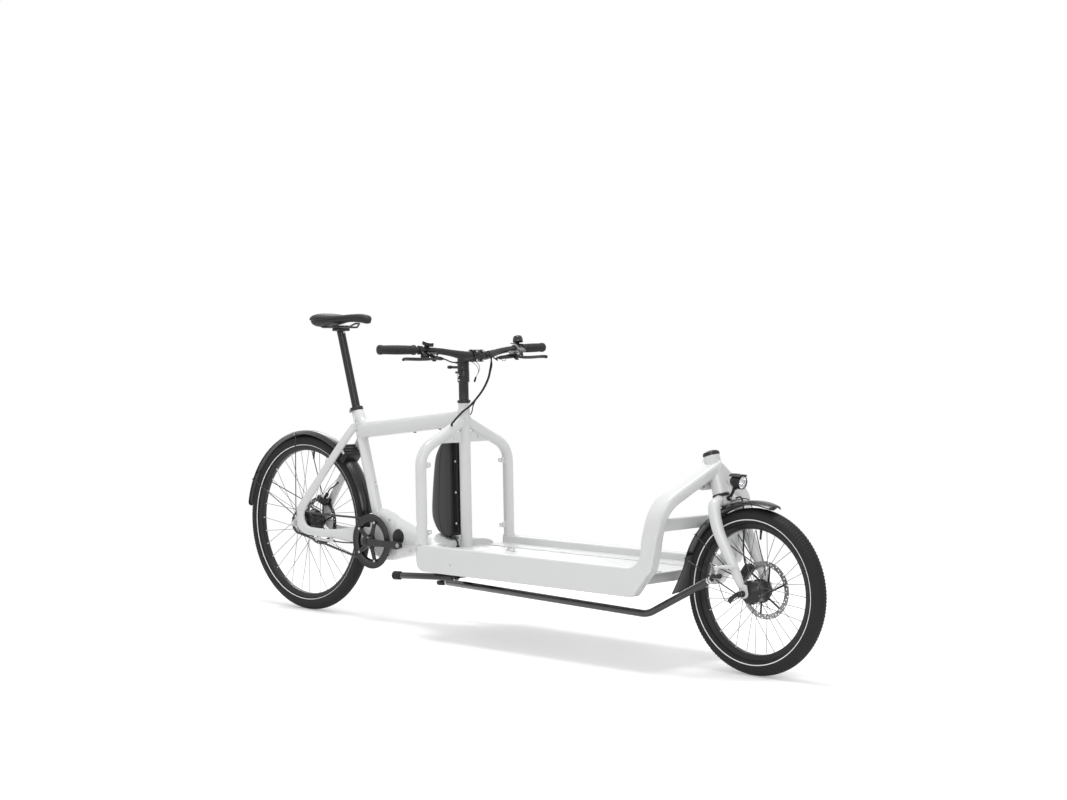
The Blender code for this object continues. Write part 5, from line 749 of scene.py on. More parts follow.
rear_x = 0.825
rear_edge, front_edge = ARCH_FOOT[0] - 0.029, ARCH_FOOT[0] + 0.029
front_curve = through([(BED_FRONT + x, BED_LOW + z) for x, z in (
    (-0.026, 0), (-0.006, 0.0008), (0.008, 0.008), (0.034, 0.04), (0.058, 0.069), (0.074, 0.083),
    (front_edge - 0.0112 - BED_FRONT, 0.112), (front_edge - 0.005 - BED_FRONT, 0.14))], 5)
rail_outline = vstack([
    arc((rear_x + 0.004, BED_TOP - 0.004), 0.004, 90, 180, 5),
    arc((rear_x + 0.037, BED_LOW + 0.037), 0.037, 180, 270, 14), front_curve, [(front_edge, SPLIT_Z)],
    [(rear_edge, SPLIT_Z)], arc((rear_edge - 0.059, BED_TOP + 0.058), 0.058, 0, -90, 16),
])
corner_points = [len(rail_outline) - 18, len(rail_outline) - 17]
arch_top = front_head_at(0.632) + [0, -0.012, 0.007]
arch_line = bent([ARCH_FOOT, ARCH_FOOT + [0.03, -0.002, 0.119], arch_top], 0.105, 22)
arch_line = vstack([arch_line[0] + (arch_line[1] - arch_line[0]) * linspace(0, 1, 6)[:-1, None], arch_line[1:]])
climb = maximum(arch_line[:, 2] - SPLIT_Z, 0)
arch_line[:, 0] = ARCH_FOOT[0] + (arch_line[:, 0] - ARCH_FOOT[0]) * climb / (climb + 0.012)
arch_line = vstack([arch_line[0] - 0.005 * Z, arch_line])
share = lengths(arch_line) / lengths(arch_line)[-1]
tucked = 0.0005 * (share == 0)
arch_sizes = (0.029 + 0.006 * ramp(share, 0, 0.7) - tucked, 0.02 - 0.001 * ramp(share, 0, 0.15) - tucked,
              0.006 + 0.0055 * ramp(share, 0, 0.3))
gusset_x = front_head_at(0.58)[0] - 0.03
for side, hand in HANDS:
    rail = soft_plate(rail_outline, *sorted((side * BED_HALF, side * (BED_HALF - RAIL_WIDTH))), 0.006, corner_points)
    arch = box_tube(arch_line * [1, side, 1], X, *arch_sizes)
    under = mm([(1, 562), (1, 622), (85, 578), (70, 568), (45, 561.5)]) * [side, 1]
    gusset = plate(under, 0.007, (gusset_x, 0, 0), [ring_of(0.0052, 24, (side * 0.04, 0.5735))], Y)
    eyelet = lathe(even([(5.2, -4), (6.4, -4)]), (gusset_x, side * 0.04, 0.5735), X, 24)
    bolt = screw((0.995, side * BED_HALF, 0.268), side * Y, 5.2, 3)
    add_piece(f"painted_{hand}_rail_and_arch", "frame", {PAINT: [rail, arch, gusset]},
              [f"{hand}_bed_rail", f"{hand}_front_arch"], sharp=32)
    add_piece(f"{hand}_arch_eyelet", "frame", {STEEL: [eyelet, bolt]})

bar_half = BED_HALF - 0.038 + 0.01
cross_line = array([(WHEELBASE - 0.226, y, 0.459) for y in linspace(-bar_half, bar_half, 9)])
add_piece("painted_cross_bar", "frame", {PAINT: [box_tube(cross_line, X, 0.013, 0.019, 0.005)]}, ["front_cross_bar"])
# The head tube's two ends are turned a little thicker, as reinforcing rings.
FRONT_HEAD_LENGTH = 0.1385
HEAD_FOOT = FRONT_HEAD_TOP - FRONT_HEAD_AXIS * FRONT_HEAD_LENGTH
tall = (FRONT_HEAD_LENGTH - 0.015) * 1000
front_head = lathe([(15, 0), (15, tall), (24.5, tall), (25.5, tall - 1), (25.5, tall - 12), (25, tall - 13.5),
                    (25, 13.5), (25.5, 12), (25.5, 1), (24.5, 0)], HEAD_FOOT, FRONT_HEAD_AXIS, 64)
add_piece("painted_front_head_tube", "frame", {PAINT: [front_head]}, ["front_head_tube"])
cap_foot = FRONT_HEAD_TOP - FRONT_HEAD_AXIS * 0.0147
head_cap = lathe([(0, 16), (5, 16), (5.6, 15), (6.4, 15), (7, 15.8), (12, 15.4), (18, 14), (22.5, 12.2), (25, 10.2),
                  (26.5, 7.8), (27, 5), (27, 0.4), (26.2, 0), (0, 0)], cap_foot, FRONT_HEAD_AXIS, 64)
cap_screw = screw(cap_foot + FRONT_HEAD_AXIS * 0.0146, FRONT_HEAD_AXIS, 4.8, 2)
add_piece("front_head_dome", "fork_unit", {BLACK: [head_cap, cap_screw]}, ["front_head_cap"])


# Cargo floor
# A pressed aluminium sheet between the rails, painted with the frame: shallow
# dimples, two long ribs, folded members and a wire hook.

FLOOR_TOP, FLOOR_HALF = 0.3, 0.1907
floor_x = (0.825, BED_FRONT + 0.012)


def dimples(x, y):
    """The pressing's depth: crossing diagonal grooves, each a narrow bell, kept off the ribs and edges."""
    along, side = (x - 0.9) / 0.11, y / 0.055
    groove = maximum(*(bell(abs((along + lean * side + 0.5) % 1 - 0.5) * 0.11, 0.006) for lean in (1, -1)))
    edge = ramp(FLOOR_HALF - 0.02 - abs(y), 0, 0.012) * ramp(x, 0.88, 0.03)
    return 0.0016 * groove * edge * ramp(BED_FRONT - 0.03 - x, 0, 0.03) * ramp(abs(abs(y) - 0.09), 0.01, 0.006)


grid_x, grid_y = meshgrid(linspace(*floor_x, 300), linspace(-FLOOR_HALF, FLOOR_HALF, 130), indexing="ij")
top = stack([grid_x, grid_y, FLOOR_TOP - dimples(grid_x, grid_y)], -1)
low_sheet = top - 0.003 * Z
rim_line = [concatenate([a[:, 0], a[-1, 1:], a[-2::-1, -1], a[0, -2:0:-1]]) for a in (top, low_sheet)]
sheet = together(skin(top, ring=False), skin(low_sheet, ring=False), skin(stack(rim_line), caps=False))
wide = 2000 * FLOOR_HALF
members = [block([30, wide, 40], (x, 0, 0.2775), corner=3)
           for x in (0.84, 1.03, 1.25, BED_FRONT - 0.324, BED_FRONT - 0.134)]
members.append(block([24, wide, 34.5], (BED_FRONT - 0.024, 0, 0.2803), corner=4))
members += [block([1000 * (floor_x[1] - floor_x[0]) - 20, 10, 4.5], (sum(floor_x) / 2, y, FLOOR_TOP + 0.001),
                  corner=1.8)
            for y in (-0.09, 0.09)]
hook = bent(mm([(1030, 12, 298), (1030, 12, 310), (1072, -4, 312.5), (1072, -4, 298)]), 0.006, 6)
plates = [block([16, 12, 2], at, corner=0.9) for at in mm([(1030, 12, 300.8), (1072, -4, 300.8)])]
add_piece("painted_bed_floor", "frame",
          {PAINT: [sheet, *members], STEEL: [swept(through(hook, 2), 0.0023, sides=14), *plates]}, ["bed_floor"])


# Wheels, tyres and brake discs
# Rubber tyres with a fine block tread and a pale reflective stripe sit on black
# rims, each laced with thirty-two thin steel spokes to a black hub.

RIM_INNER = 0.0118
TREAD_BLACK = finish("tread_rubber", "tyre_rubber", 0.013, 0.66, 120, 0.9, 0.15, 0.1, shine=0.3)
STRIPE = finish("reflective_stripe", "tyre_rubber", 0.82, 0.42, 40, 1, 0.02, 0.06)
RIM_BLACK = finish("rim_black", "black_anodised", 0.013, 0.32, 20, 0.6, 0.06, 0.08, 0.15, shine=0.4)
SPOKE_STEEL = finish("spoke_steel", "bare_steel", 0.12, 0.34, 10, 0.5, 0.05, 0.08, 0.8)
DISC_STEEL = finish("disc_steel", "bare_steel", 0.3, 0.32, 40, 0.6, 0.04, 0.1, 1.0)


def round_axle(axle, radius, turn, y=0.0):
    """Points at a radius and an angle round an axle, y to its side."""
    return axle + stack(np.broadcast_arrays(radius * cos(turn), y, radius * sin(turn)), -1)


def tyre(axle, radius, width, bead, stripe):
    """The tyre's section turned round its axle. Across the section the casing is a circle, and the tread rises on it
    where two sets of slanting grooves, cosines of the angle round the wheel and the place across it, leave blocks."""
    half = width / 2
    middle = radius - half
    low = np.arcsin((middle - bead - 0.0063) / half)
    count = int(2 * pi * radius / 0.0112)
    around = circle(count * 4)
    place, turn = meshgrid(linspace(-low, pi + low, 73), around, indexing="ij")
    share = (place - pi / 2) / (pi / 2)
    lift = abs(share)
    slant = 0.5 + 0.5 * cos(turn * count + 2.2 * lift * np.sign(share))
    groove = ramp(slant, 0.2, 0.25) * (lift > 0.16) * (lift < 0.74)
    rows = 1 - bell(lift - 0.16, 0.02) - bell(lift - 0.45, 0.022)
    tread = where(lift <= 0.16, 1.0, groove * clip(rows, 0, 1))
    ribs = 0.25 * (0.5 + 0.5 * cos(turn * count * 2)) * (lift > 0.8) * (lift < 0.95)
    reach = half - 0.0013 * (1 - tread) * (lift < 0.78) - 0.0004 * ribs - 0.001 * (lift > 0.78)
    bead_rings = [round_axle(axle, bead + up, around, side * (RIM_INNER - 0.0003))
                  for side, up in ((-1, 0.0063), (-1, 0.0004), (1, 0.0004), (1, 0.0063))]
    grid = concatenate([round_axle(axle, middle + reach * sin(place), turn, reach * cos(place)), bead_rings])
    at = np.arccos((stripe - middle) / half)
    bow = 0.0003 * (1 - (arange(5) / 2 - 1) ** 2) - 0.0006
    reach, turn = half + array([*bow, -0.0022]), pi / 2 - at - array([*linspace(-0.0016, 0.0016, 5) / half, 0])
    stripes = [revolved(stack([middle + reach * sin(turn), side * reach * cos(turn)], -1), axle, Y, 192)
               for side in (-1, 1)]
    return skin(grid, loop=True), stripes


def rim(axle, bead):
    """The rim's hollow section turned round the axle, with hooked edges and a machined line on each flank."""
    b, w = bead * 1000, 11.8
    o = w + 2
    inside = [(b + 6, w), (b + 4.6, w - 0.5), (b + 3, w), (b, w), (b - 1.2, w - 4), (b - 3.2, 4)]
    outside = [(b + 6.4, -w - 1), (b + 6, -o), (b + 0.5, -o), (b + 0.1, 0.3 - o), (b - 0.3, -o), (b - 6, -o * 0.94),
               (b - 8.8, -o * 0.8), (b - 10, -o * 0.6)]
    return lathe(even(inside) + even(outside), axle, Y, 160)


def lacing(axle, hub, flange_y, bead, lean):
    """Thirty-two spokes from alternate flanges, those on each leaning apart, with their heads, nipples and eyelets."""
    number = arange(32)
    side, trail = where(number % 2, 1, -1), where((number // 2) % 2, 1, -1)
    at_rim = 2 * pi * number / 32
    inner = round_axle(axle, hub + 0.0005, at_rim - trail * lean, side * (flange_y + trail * 0.0012))
    outer = round_axle(axle, bead - 0.008, at_rim, side * 0.003)
    thin, fittings = [], []
    for a, b, t in zip(inner, outer, trail):
        way = unit(b - a)
        thin.append(swept([a - way * 0.001, a + way * 0.012, a + way * 0.018, b - way * 0.012, b],
                          mm([1.1, 1.1, 0.9, 0.9, 1.1]), sides=6))
        nipple = b + way * mm([-13, -12.5, -6, -5.5, 2])[:, None]
        fittings += [swept(nipple, mm([1.3, 1.7, 1.7, 2.1, 2.1]), sides=8),
                     swept([a + t * 0.0016 * Y, a - t * 0.003 * Y, a - t * 0.0036 * Y], mm([1.2, 1.7, 0.8]), sides=8)]
    return thin, fittings


def disc(axle, y):
    """A brake disc: a friction ring cut by three rows of round holes, on six thin raked arms of black alloy."""
    inner, bore, arms = 0.0745, 0.0163, 6
    holes = []
    for middle in 2 * pi * (arange(arms) + 0.5) / arms:
        edges = []
        for radius, turn, steps, way in ((inner, 0.3, 12, 1), (bore + 0.0105, 0.0, 6, -1)):
            half = way * (pi / arms - 0.003 / radius)
            edges.append(polar(radius, middle + turn + linspace(-half, half, steps)))
        upper, lower = edges
        bow = linspace(0, 1, 8)[1:-1, None]
        holes.append(vstack([upper, upper[-1] + (lower[0] - upper[-1]) * bow, lower,
                             lower[-1] + (upper[0] - lower[-1]) * bow]))
    drilled = [ring_of(0.0026, 10, polar((0.0785, 0.0825, 0.0865)[k % 3], 2 * pi * k / 48)) for k in range(48)]
    sheet = plate(ring_of(0.09, 144), 0.0018, axle + y * Y, [ring_of(inner, 96), *drilled])
    spider = plate(ring_of(inner + 0.0012, 96), 0.0026, axle + y * Y, [*holes, ring_of(bore, 48)])
    return sheet, spider, [screw(at, Y, 2.6, 1.6) for at in round_axle(axle, 0.0205, circle(6), y + 0.0009)]


FRONT_TYRE_RADIUS = 0.2575
FRONT_AXLE = array([WHEELBASE, 0.0, FRONT_TYRE_RADIUS])
rear_hub_shape = [
    (5.4, 56), (15, 56), (16, 55), (16, 51.2), (22, 50.7), (24, 49.7), (29, 44), (45, 30.2), (46.6, 29), (47.2, 27.5),
    (47.2, 24.5), (46.6, 23), (44, 21.5), (41.5, 14), (40.5, 0), (41.5, -14), (44, -21.5), (46.6, -23), (47.2, -24.5),
    (47.2, -27.5), (46.6, -29), (44, -31), (33, -37), (26.5, -42), (26, -51.5), (5.4, -51.7),
]
front_hub_shape = [
    (4.9, 50), (15, 50), (16, 49), (16, 45.2), (22, 44.7), (24, 43.7), (28, 38.5), (35.2, 29), (36.8, 28), (37.4, 26.5),
    (37.4, 23.5), (36.8, 22.2), (34.5, 21), (32.2, 14), (31.2, 0), (32.2, -14), (34.5, -21), (36.8, -22.2),
    (37.4, -23.5), (37.4, -26.5), (36.8, -28), (34, -29.8), (20, -40), (13, -44), (12.2, -49.5), (4.9, -50),
]
for end, axle, radius, width, bead, stripe, hub, flange_y, lean, hub_shape, disc_y, disc_finish in (
    ("rear", REAR_AXLE, REAR_TYRE_RADIUS, 0.05, 0.2795, 0.2895, 0.044, 0.026, 0.55, rear_hub_shape, 0.052, DARK_METAL),
    ("front", FRONT_AXLE, FRONT_TYRE_RADIUS, 0.055, 0.203, 0.2222, 0.034, 0.025, 0.6, front_hub_shape, 0.046,
     DISC_STEEL),
):
    body = f"{end}_wheel_unit"
    casing, stripes = tyre(axle, radius, width, bead, stripe)
    add_piece(f"treaded_{end}_tyre", body, {TREAD_BLACK: [casing]}, [f"{end}_tyre"], sharp=50)
    add_piece(f"{end}_tyre_stripes", body, {STRIPE: stripes})
    add_piece(f"{end}_rim_and_hub", body, {RIM_BLACK: [rim(axle, bead)], BLACK: [lathe(hub_shape, axle, Y, 72)]},
              [f"{end}_wheel"])
    spokes, fittings = lacing(axle, hub, flange_y, bead, lean)
    valve_line = round_axle(axle, bead - mm([4, 20, 21, 40, 41.2]), pi / 2 - pi / 32)
    valve = swept(valve_line, mm([4, 4, 3.3, 3.3, 2]), sides=16)
    add_piece(f"{end}_spokes", body, {SPOKE_STEEL: spokes, STEEL: fittings, PLASTIC: [valve]})
    sheet, spider, bolts = disc(axle, disc_y)
    add_piece(f"drilled_{end}_disc", body, {disc_finish: [sheet], BLACK: [spider], STEEL: bolts}, [f"{end}_rotor"])


def toothed(teeth, places, offset=0.0):
    """An outline of teeth, each with the same (share of a tooth, radius in millimetres) points."""
    shares, radii = array(places).T
    return polar(mm(radii), 2 * pi * (arange(teeth)[:, None] + shares + offset) / teeth).reshape(-1, 2)


sprocket_edge = toothed(20, [(0, 36.8), (0.18, 36.6), (0.34, 39), (0.44, 41.8), (0.56, 41.8), (0.66, 39), (0.82, 36.6)],
                        0.5)
sprocket = plate(sprocket_edge, 0.0022, REAR_AXLE - 0.0487 * Y,
                 [ring_of(0.024, 48), *(ring_of(0.0034, 14, at) for at in ring_of(0.03, 8))])
lock_ring = lathe([(20, -50), (26.2, -50), (26.2, -51.2), (24.5, -52.4), (20, -52.4)], REAR_AXLE, Y)
add_piece("rear_sprocket", "rear_wheel_unit", {DISC_STEEL: [sprocket, lock_ring]})


# Fork, front axle and its lever
# A unicrown fork: two tapered tubes bent out of one crown and painted with the
# frame. The axle's black lever is on the right, the caliper's mount on the left.


def from_front(values):
    """Millimetres measured from below the front axle, on the rear axle's frame."""
    return mm(values) + WHEELBASE * X


def down_head(*distances):
    """Points below the front head tube's foot, on its axis."""
    return HEAD_FOOT - FRONT_HEAD_AXIS * mm(distances)[:, None]


FORK_Y = 0.066
race = lathe([(15, -0.6), (26.8, -0.6), (27.7, -1.4), (27.7, -5.2), (26.2, -8), (21.5, -9.6), (15, -9.6)],
             HEAD_FOOT, FRONT_HEAD_AXIS, 64)
neck_end, low_crown = down_head(38.5, 19)
fork_parts = [swept(down_head(9, 12, 20, 30, 37, 39.2), mm([20.5, 21.2, 22.8, 23.2, 20.5, 16]), lead=Y, sides=48)]
for side in (-1, 1):
    leg = through(vstack([low_crown + mm([(0, 4, 0), (4, 22, 0), (10, 40, -6)]), from_front([
        (-117, 57.5, 519), (-110, 65, 490), (-92, 69, 442), (-66, 68, 392), (-39, 66, 342), (-7, 62, 275)])]), 9)
    share = lengths(leg) / lengths(leg)[-1]
    thick = interp(share, [0, 0.12, 0.2, 0.55, 0.9, 0.97, 1], mm([15, 18.2, 19, 17.2, 13.8, 11.5, 8]))
    tab = vstack([polar(0.0155, linspace(radians(-195), radians(20), 26)), mm([(10, 26), (-20, 32)])])
    fork_parts += [swept(leg * [1, side, 1], thick * 0.97, thick * 1.03, Y, 2.1, 40),
                   plate(tab, 0.0065, FRONT_AXLE + side * (FORK_Y - 0.004) * Y, [ring_of(0.0052, 28)])]
FRONT_BALL = from_front([-55, -125, 313])
arm = through(from_front([(-33, -62, 331), (-36, -78, 336), (-44, -98, 339), (-52, -114, 339), (-56, -134.5, 339)]), 6)
post = from_front([(-28, 64, 324), (-67, 56.2, 319)])
post_line = post[0] + (post[1] - post[0]) * array([0, 0.3, 0.6, 0.93, 1])[:, None]
fork_parts += [swept(arm, graded(arm, [0, 0.2, 0.6, 0.9, 1], [18, 15, 12, 10.5, 7]),
                     graded(arm, [0, 0.2, 0.6, 1], [10, 6.5, 4.8, 4]), X, 2.8, 32, ends=0.003),
               swept(post_line, mm([10, 7.8, 6.6, 6.2, 5.4]), sides=24)]
add_piece("painted_unicrown_fork", "fork_unit", {PAINT: fork_parts}, ["fork"], sharp=44)
stud = [swept(FRONT_BALL + mm([32.5, 32, 10, 0])[:, None] * Z, mm([4, 4.5, 4.5, 7]), sides=20),
        hex_nut(FRONT_BALL + 0.018 * Z, Z, 7.8, 5.8, 4.5)]
add_piece("fork_ball_stud_and_race", "fork_unit", {STEEL: stud, BLACK: [race]})
end = (FORK_Y - 0.004 + 0.00325) * 1000
nut = lathe([(4.5, end + 0.3), (9.5, end + 0.3), (10, end + 1), (10, end + 3), (8.8, end + 6), (7.6, end + 9.2),
             (6, end + 9.8), (4.5, end + 9.8)], FRONT_AXLE, Y, 40)
seat = lathe([(4.5, -end - 0.3), (9.2, -end - 0.3), (9.8, -end - 1), (9.8, -end - 5), (8.5, -end - 6.2),
              (4.5, -end - 6.2)],
             FRONT_AXLE, Y, 40)
skewer = lathe([(0, end + 10.3), (4, end + 10.3), (4.5, end + 9.8), (4.5, -end - 12.7), (4, -end - 13), (0, -end - 13)],
               FRONT_AXLE, Y, 28)
add_piece("front_axle_skewer", "fork_unit", {BLACK: [nut, seat], STEEL: [skewer]}, ["front_axle"])
cam_at = FRONT_AXLE - mm([0, end + 19.5, 0])
blade = through(cam_at + mm([(-2, -3, 0), (-10, -5.8, -4), (-18, -6.8, -10), (-28, -6, -19), (-36, -4, -27)]), 5)
handle = swept(blade, graded(blade, [0, 0.4, 1], [3.5, 2.5, 2]), graded(blade, [0, 0.3, 0.7, 1], [7.5, 6.6, 7.2, 8.5]),
               Y, 2.8, 28, ends=0.003)
add_piece("curved_axle_lever", "axle_lever_unit", {
    BLACK: [lathe(even([(0, -8.5), (5.2, -8.5), (6, -7.7)]), cam_at, Z, 32), handle],
    STEEL: [lathe(even([(0, -9.4), (2.6, -9.4)]), cam_at, Z, 20)]}, ["axle_lever"])


# Fenders, mudflap and their stays
# Thin glossy black mouldings, arched across, their edges rolled and two ribs
# pressed along them. Wire stays run from the dropouts to silver screws.

FENDER_HALF, FENDER_CROWN, FENDER_SKIN = 0.031, 0.012, 0.0022


def quarter_round(gone, reach):
    """0 to 1 up a quarter circle, over that reach."""
    return sqrt(1 - (1 - ramp(gone, 0, reach)) ** 2)


def there_and_back(steps):
    """Across from -1 to 1 on the outer side and back on the inner, with a 0 or 1 that says which side."""
    return concatenate([linspace(-1, 1, steps), linspace(1, -1, steps)]), repeat([0.0, 1.0], steps)


def fender_shell(axle, radius, start, stop, steps):
    """The fender on two parameters: the angle round the wheel, and t across from -1 to 1. The skin drops from the crown
    as |t| to the power 2.4, the half width closes in a circle at both tips, and two bells across t raise the ribs."""
    angle = radians(linspace(start, stop, steps))
    across_t, below = there_and_back(49)
    turn, t = meshgrid(angle, across_t, indexing="ij")
    gone = minimum(turn - angle[0], angle[-1] - turn) * radius
    close = quarter_round(gone, 0.02) * 0.45 + 0.55
    ribs = 0.0011 * sum(bell(t - at, 0.06) for at in (-0.42, 0.42)) * ramp(gone, 0.012, 0.02)
    curl = 0.001 * ramp(abs(t), 0.94, 0.06)
    drop = FENDER_CROWN * abs(t) ** 2.4 + (FENDER_SKIN - curl) * below - (ribs + curl) * (1 - below)
    return skin(round_axle(axle, radius - drop, turn, FENDER_HALF * t * close * (1 - 0.04 * below)))


def stay_wire(kit, axle, radius, foot, degrees, side, thick=0.0018):
    """Adds a wire from an eye at its foot to just past the fender's edge, with its clamp and screw there."""
    edge = round_axle(axle, radius - FENDER_CROWN - 0.0005, radians(degrees), side * (FENDER_HALF - 0.001))
    way = unit(edge - foot)
    at = edge + way * 0.0005
    kit[0].append(swept([foot, foot + way * 0.004, edge, edge + way * 0.006], thick, sides=12, ends=0.001))
    kit[1].append(block([9, 5, 7.5], at + side * 0.001 * Y, corner=1.4))
    kit[2].append(screw(at + side * 0.0034 * Y, side * Y, 2.7, 2.2))


FRONT_FENDER = 0.28
rear_shell = fender_shell(REAR_AXLE, REAR_FENDER, 9, 173, 200)
saddle_block = [block([60, 74, 40], REAR_AXLE + bridge_out * (REAR_FENDER + 0.002), bridge_turn, 4)]
saddle_block += [block([11, 76, 43], REAR_AXLE + bridge_out * (REAR_FENDER + 0.0025) + bridge_turn[:, 0] * dx,
                       bridge_turn, 3)
                 for dx in (-0.022, -0.007, 0.008, 0.023)]
kit = wires, fixings, silver = [], [], []
for side in (-1, 1):
    foot = REAR_AXLE + [0.01, side * (STAY_Y + 0.0103), 0.0265]
    for degrees in (98, 154):
        stay_wire(kit, REAR_AXLE, REAR_FENDER, foot, degrees, side)
    silver.append(lathe([(0, 5.6), (3, 5.6), (4.6, 4.2), (5, 2), (5, 0), (0, 0)], foot - side * 0.0021 * Y, side * Y,
                        24))
add_piece("ribbed_rear_fender", "frame", {FENDER_GLOSS: [rear_shell, *wires], PLASTIC: [*saddle_block, *fixings]},
          ["rear_fender"])
add_piece("rear_fender_screws", "frame", {STEEL: silver})

front_shell = fender_shell(FRONT_AXLE, FRONT_FENDER, 73, 163, 120)
under = (norm(neck_end - FRONT_AXLE) - FRONT_FENDER) * 1000
fender_bolt = lathe([(0, 0.3), (8.5, 0.3), (8.5, under + 1), (0, under + 1)], neck_end, -FRONT_HEAD_AXIS, 32)
flap_out = unit([-0.93, 0, 0.3])
back, height, half = through(mm([(259.5, 352, 28.5), (271, 310, 31), (293, 262, 34.5), (310, 228, 37)])).T[..., None]
t, below = there_and_back(33)
flap_ribs = 0.001 * sum(bell(t - at, 0.05) for at in (-0.5, 0, 0.5)) * (1 - below)
flap_points = stack(np.broadcast_arrays(WHEELBASE - back, half * t, height), -1)
flap = skin(flap_points - (0.006 * t**2 + 0.003 * below - flap_ribs)[:, None] * flap_out)
kit = wires, fixings, silver = [], [], []
for side in (-1, 1):
    foot = FRONT_AXLE + [-0.017, side * 0.0686, -0.005]
    stay_wire(kit, FRONT_AXLE, FRONT_FENDER, foot, 162, side, 0.002)
    silver.append(lathe([(0, 5), (3, 5), (4.4, 3.8), (4.8, 1.6), (4.8, 0), (0, 0)], foot - side * 0.0022 * Y, side * Y,
                        24))
for foot, degrees, side in (([-47, 59, 332], 140, 1), ([-49, 59, 339], 122, 1), ([-50, -58.5, 318], 143, -1)):
    stay_wire(kit, FRONT_AXLE, FRONT_FENDER, from_front(foot), degrees, side)
thin_wire = from_front([(-10, -72, 246), (-40, -72.5, 230), (-65, -70, 233), (-82, -66, 255), (-100, -60, 285),
                        (-115, -56, 300)])
wires.append(swept(through(thin_wire, 6), 0.0012, sides=10))
silver += [lathe([(0, 3), (3, 2.8), (4.6, 1.4), (4.8, 0), (0, 0)], from_front([-261.5, y, 345]), flap_out, 24)
           for y in (15, -15)]
add_piece("ribbed_front_fender", "fork_unit",
          {FENDER_GLOSS: [front_shell, fender_bolt, *wires], PLASTIC: [flap, *fixings]}, ["front_fender"])
add_piece("front_fender_screws", "fork_unit", {STEEL: silver})


# Disc brake calipers
# Forged aluminium, anodised black: a body astride the disc, with the piston
# bores, the pad's retaining pin, the hose's banjo and two mounting bolts.


def brake_caliper(axle, toward, y, disc):
    """A caliper in its own frame, in millimetres: the third axis points out from the axle, and disc is how far the disc
    stands beside its middle."""
    out = unit(toward)
    turn = stack([[out[2], 0, -out[0]], Y, out], -1)

    def place(*at):
        return axle + out * 0.086 + y * Y + turn @ mm(at)

    body = [
        block([50, disc + 13.5, 26], place(0, (disc - 18.5) / 2, 0), turn, 4),
        block([50, 13.5 - disc, 26], place(0, (disc + 18.5) / 2, 0), turn, 4),
        block([46, 31, 6.2], place(0, 0, 10.3), turn, 2.2),
        *(lathe([(0, 2.6), (7.8, 2.4), (9.4, 1), (9.8, -1), (0, -1)], place(1, s * 16, -1), s * Y, 36)
          for s in (-1, 1)),
    ]
    steel = [
        screw(place(-19.5, 15.4, 6.5), Y, 3.4, 2.6), screw(place(19.5, 15.4, 6.5), Y, 3.4, 2.6),
        swept([place(-10, -17.5, -8.5), place(-10, 17.5, -8.5)], 0.0014, sides=12),
        swept([place(14.5, 0, 12.5), place(14.5, 0, 18), place(15, 0, 19.5)], mm([3.6, 3.6, 2.6]), sides=16),
        *(block([26, 1.4, 20], place(0, disc + s * 1.95, -5.5), turn, 0.6) for s in (-1, 1)),
    ]
    return body, steel, place


body, steel, place = brake_caliper(FRONT_AXLE, [-0.8, 0, 0.6], 0.044, 2)
mount = swept(FRONT_AXLE + mm([(-72.8, 38, 55.6), (-56.8, 50, 70.1)]), 0.0074, sides=24, ends=0.003)
front_hose = through(vstack([[place(15, 0, 18.5)], from_front([
    (-79.5, 45, 345), (-85, 47.5, 365), (-88, 50, 395), (-87, 52, 440), (-88, 51.5, 490), (-93, 44, 538)]),
    low_crown + mm([(18, 34, 2), (6, 26, 0)])]))
lamp_lead = through(vstack([[low_crown + mm([16, 12, -4])], from_front([
    (-66, 42, 535), (-50, 50, 490), (-36, 52, 420), (-12, 56, 330), (-4, 59, 266)])]))
add_piece("forged_front_caliper", "fork_unit", {
    BLACK: [*body, mount], STEEL: steel,
    RUBBER: [swept(front_hose, 0.0025, sides=14), swept(lamp_lead, 0.0015, sides=10)]}, ["front_caliper"])
body, steel, place = brake_caliper(REAR_AXLE, [0.36, 0, 0.93], 0.042, 10)
middle = place(0, 0, 0)
mount = swept(middle + mm([(6, 2, 8), (20, 2, 28)]), 0.0068, sides=24, ends=0.003)
rear_hose = through(vstack([middle + mm([(18, 0, 22), (23.5, 0, 29)]),
                            REAR_AXLE + mm([(72, 38.5, 125), (98, 37, 137), (117, 39, 151.5)])]))
grommet = swept([rear_hose[-1] + (rear_hose[-2] - rear_hose[-1]) * 1.2, rear_hose[-1]], mm([3.6, 4.6]), sides=20,
                ends=0.001)
add_piece("forged_rear_caliper", "frame", {
    BLACK: [*body, mount], STEEL: steel, RUBBER: [swept(rear_hose, 0.0025, sides=14), grommet]}, ["rear_caliper"])


# Headlight
# A small round lamp on a bent arm bolted to the crown: black shell and visor, a
# silvered bowl behind clear glass, and a hooded edge over it.

LAMP_AIM = unit([0.97, 0, -0.1])
lamp_at = from_front([-80, 0, 592])
LENS = bpy.data.materials.new("lamp_glass")
LENS.use_nodes = True
glass = LENS.node_tree.nodes["Principled BSDF"]
for socket, value in (("Base Color", (0.93, 0.94, 0.95, 1.0)), ("Roughness", 0.06), ("Transmission Weight", 0.85),
                      ("IOR", 1.45)):
    glass.inputs[socket].default_value = value
SILVERED = finish("silvered_bowl", None, (0.86, 0.86, 0.87), 0.16, 30, 1.2, 0, 0.06, 1.0)
shell = lathe([(0, -18), (7, -17.6), (12.5, -14), (16.5, -9), (20, -1), (21.3, 6), (21.5, 15), (21.5, 28), (21, 28.8),
               (20, 28.8), (19.6, 27), (15, 12), (8, 4), (0, 1.5)], lamp_at, LAMP_AIM, 56)
bowl_height = linspace(2.5, 25.5, 14)
bowl = stack([19.4 * sqrt((bowl_height - 2) / 24), bowl_height], -1)
bowl = lathe([(0, 2.2), *bowl, (19.6, 26.8)], lamp_at, LAMP_AIM, 64)
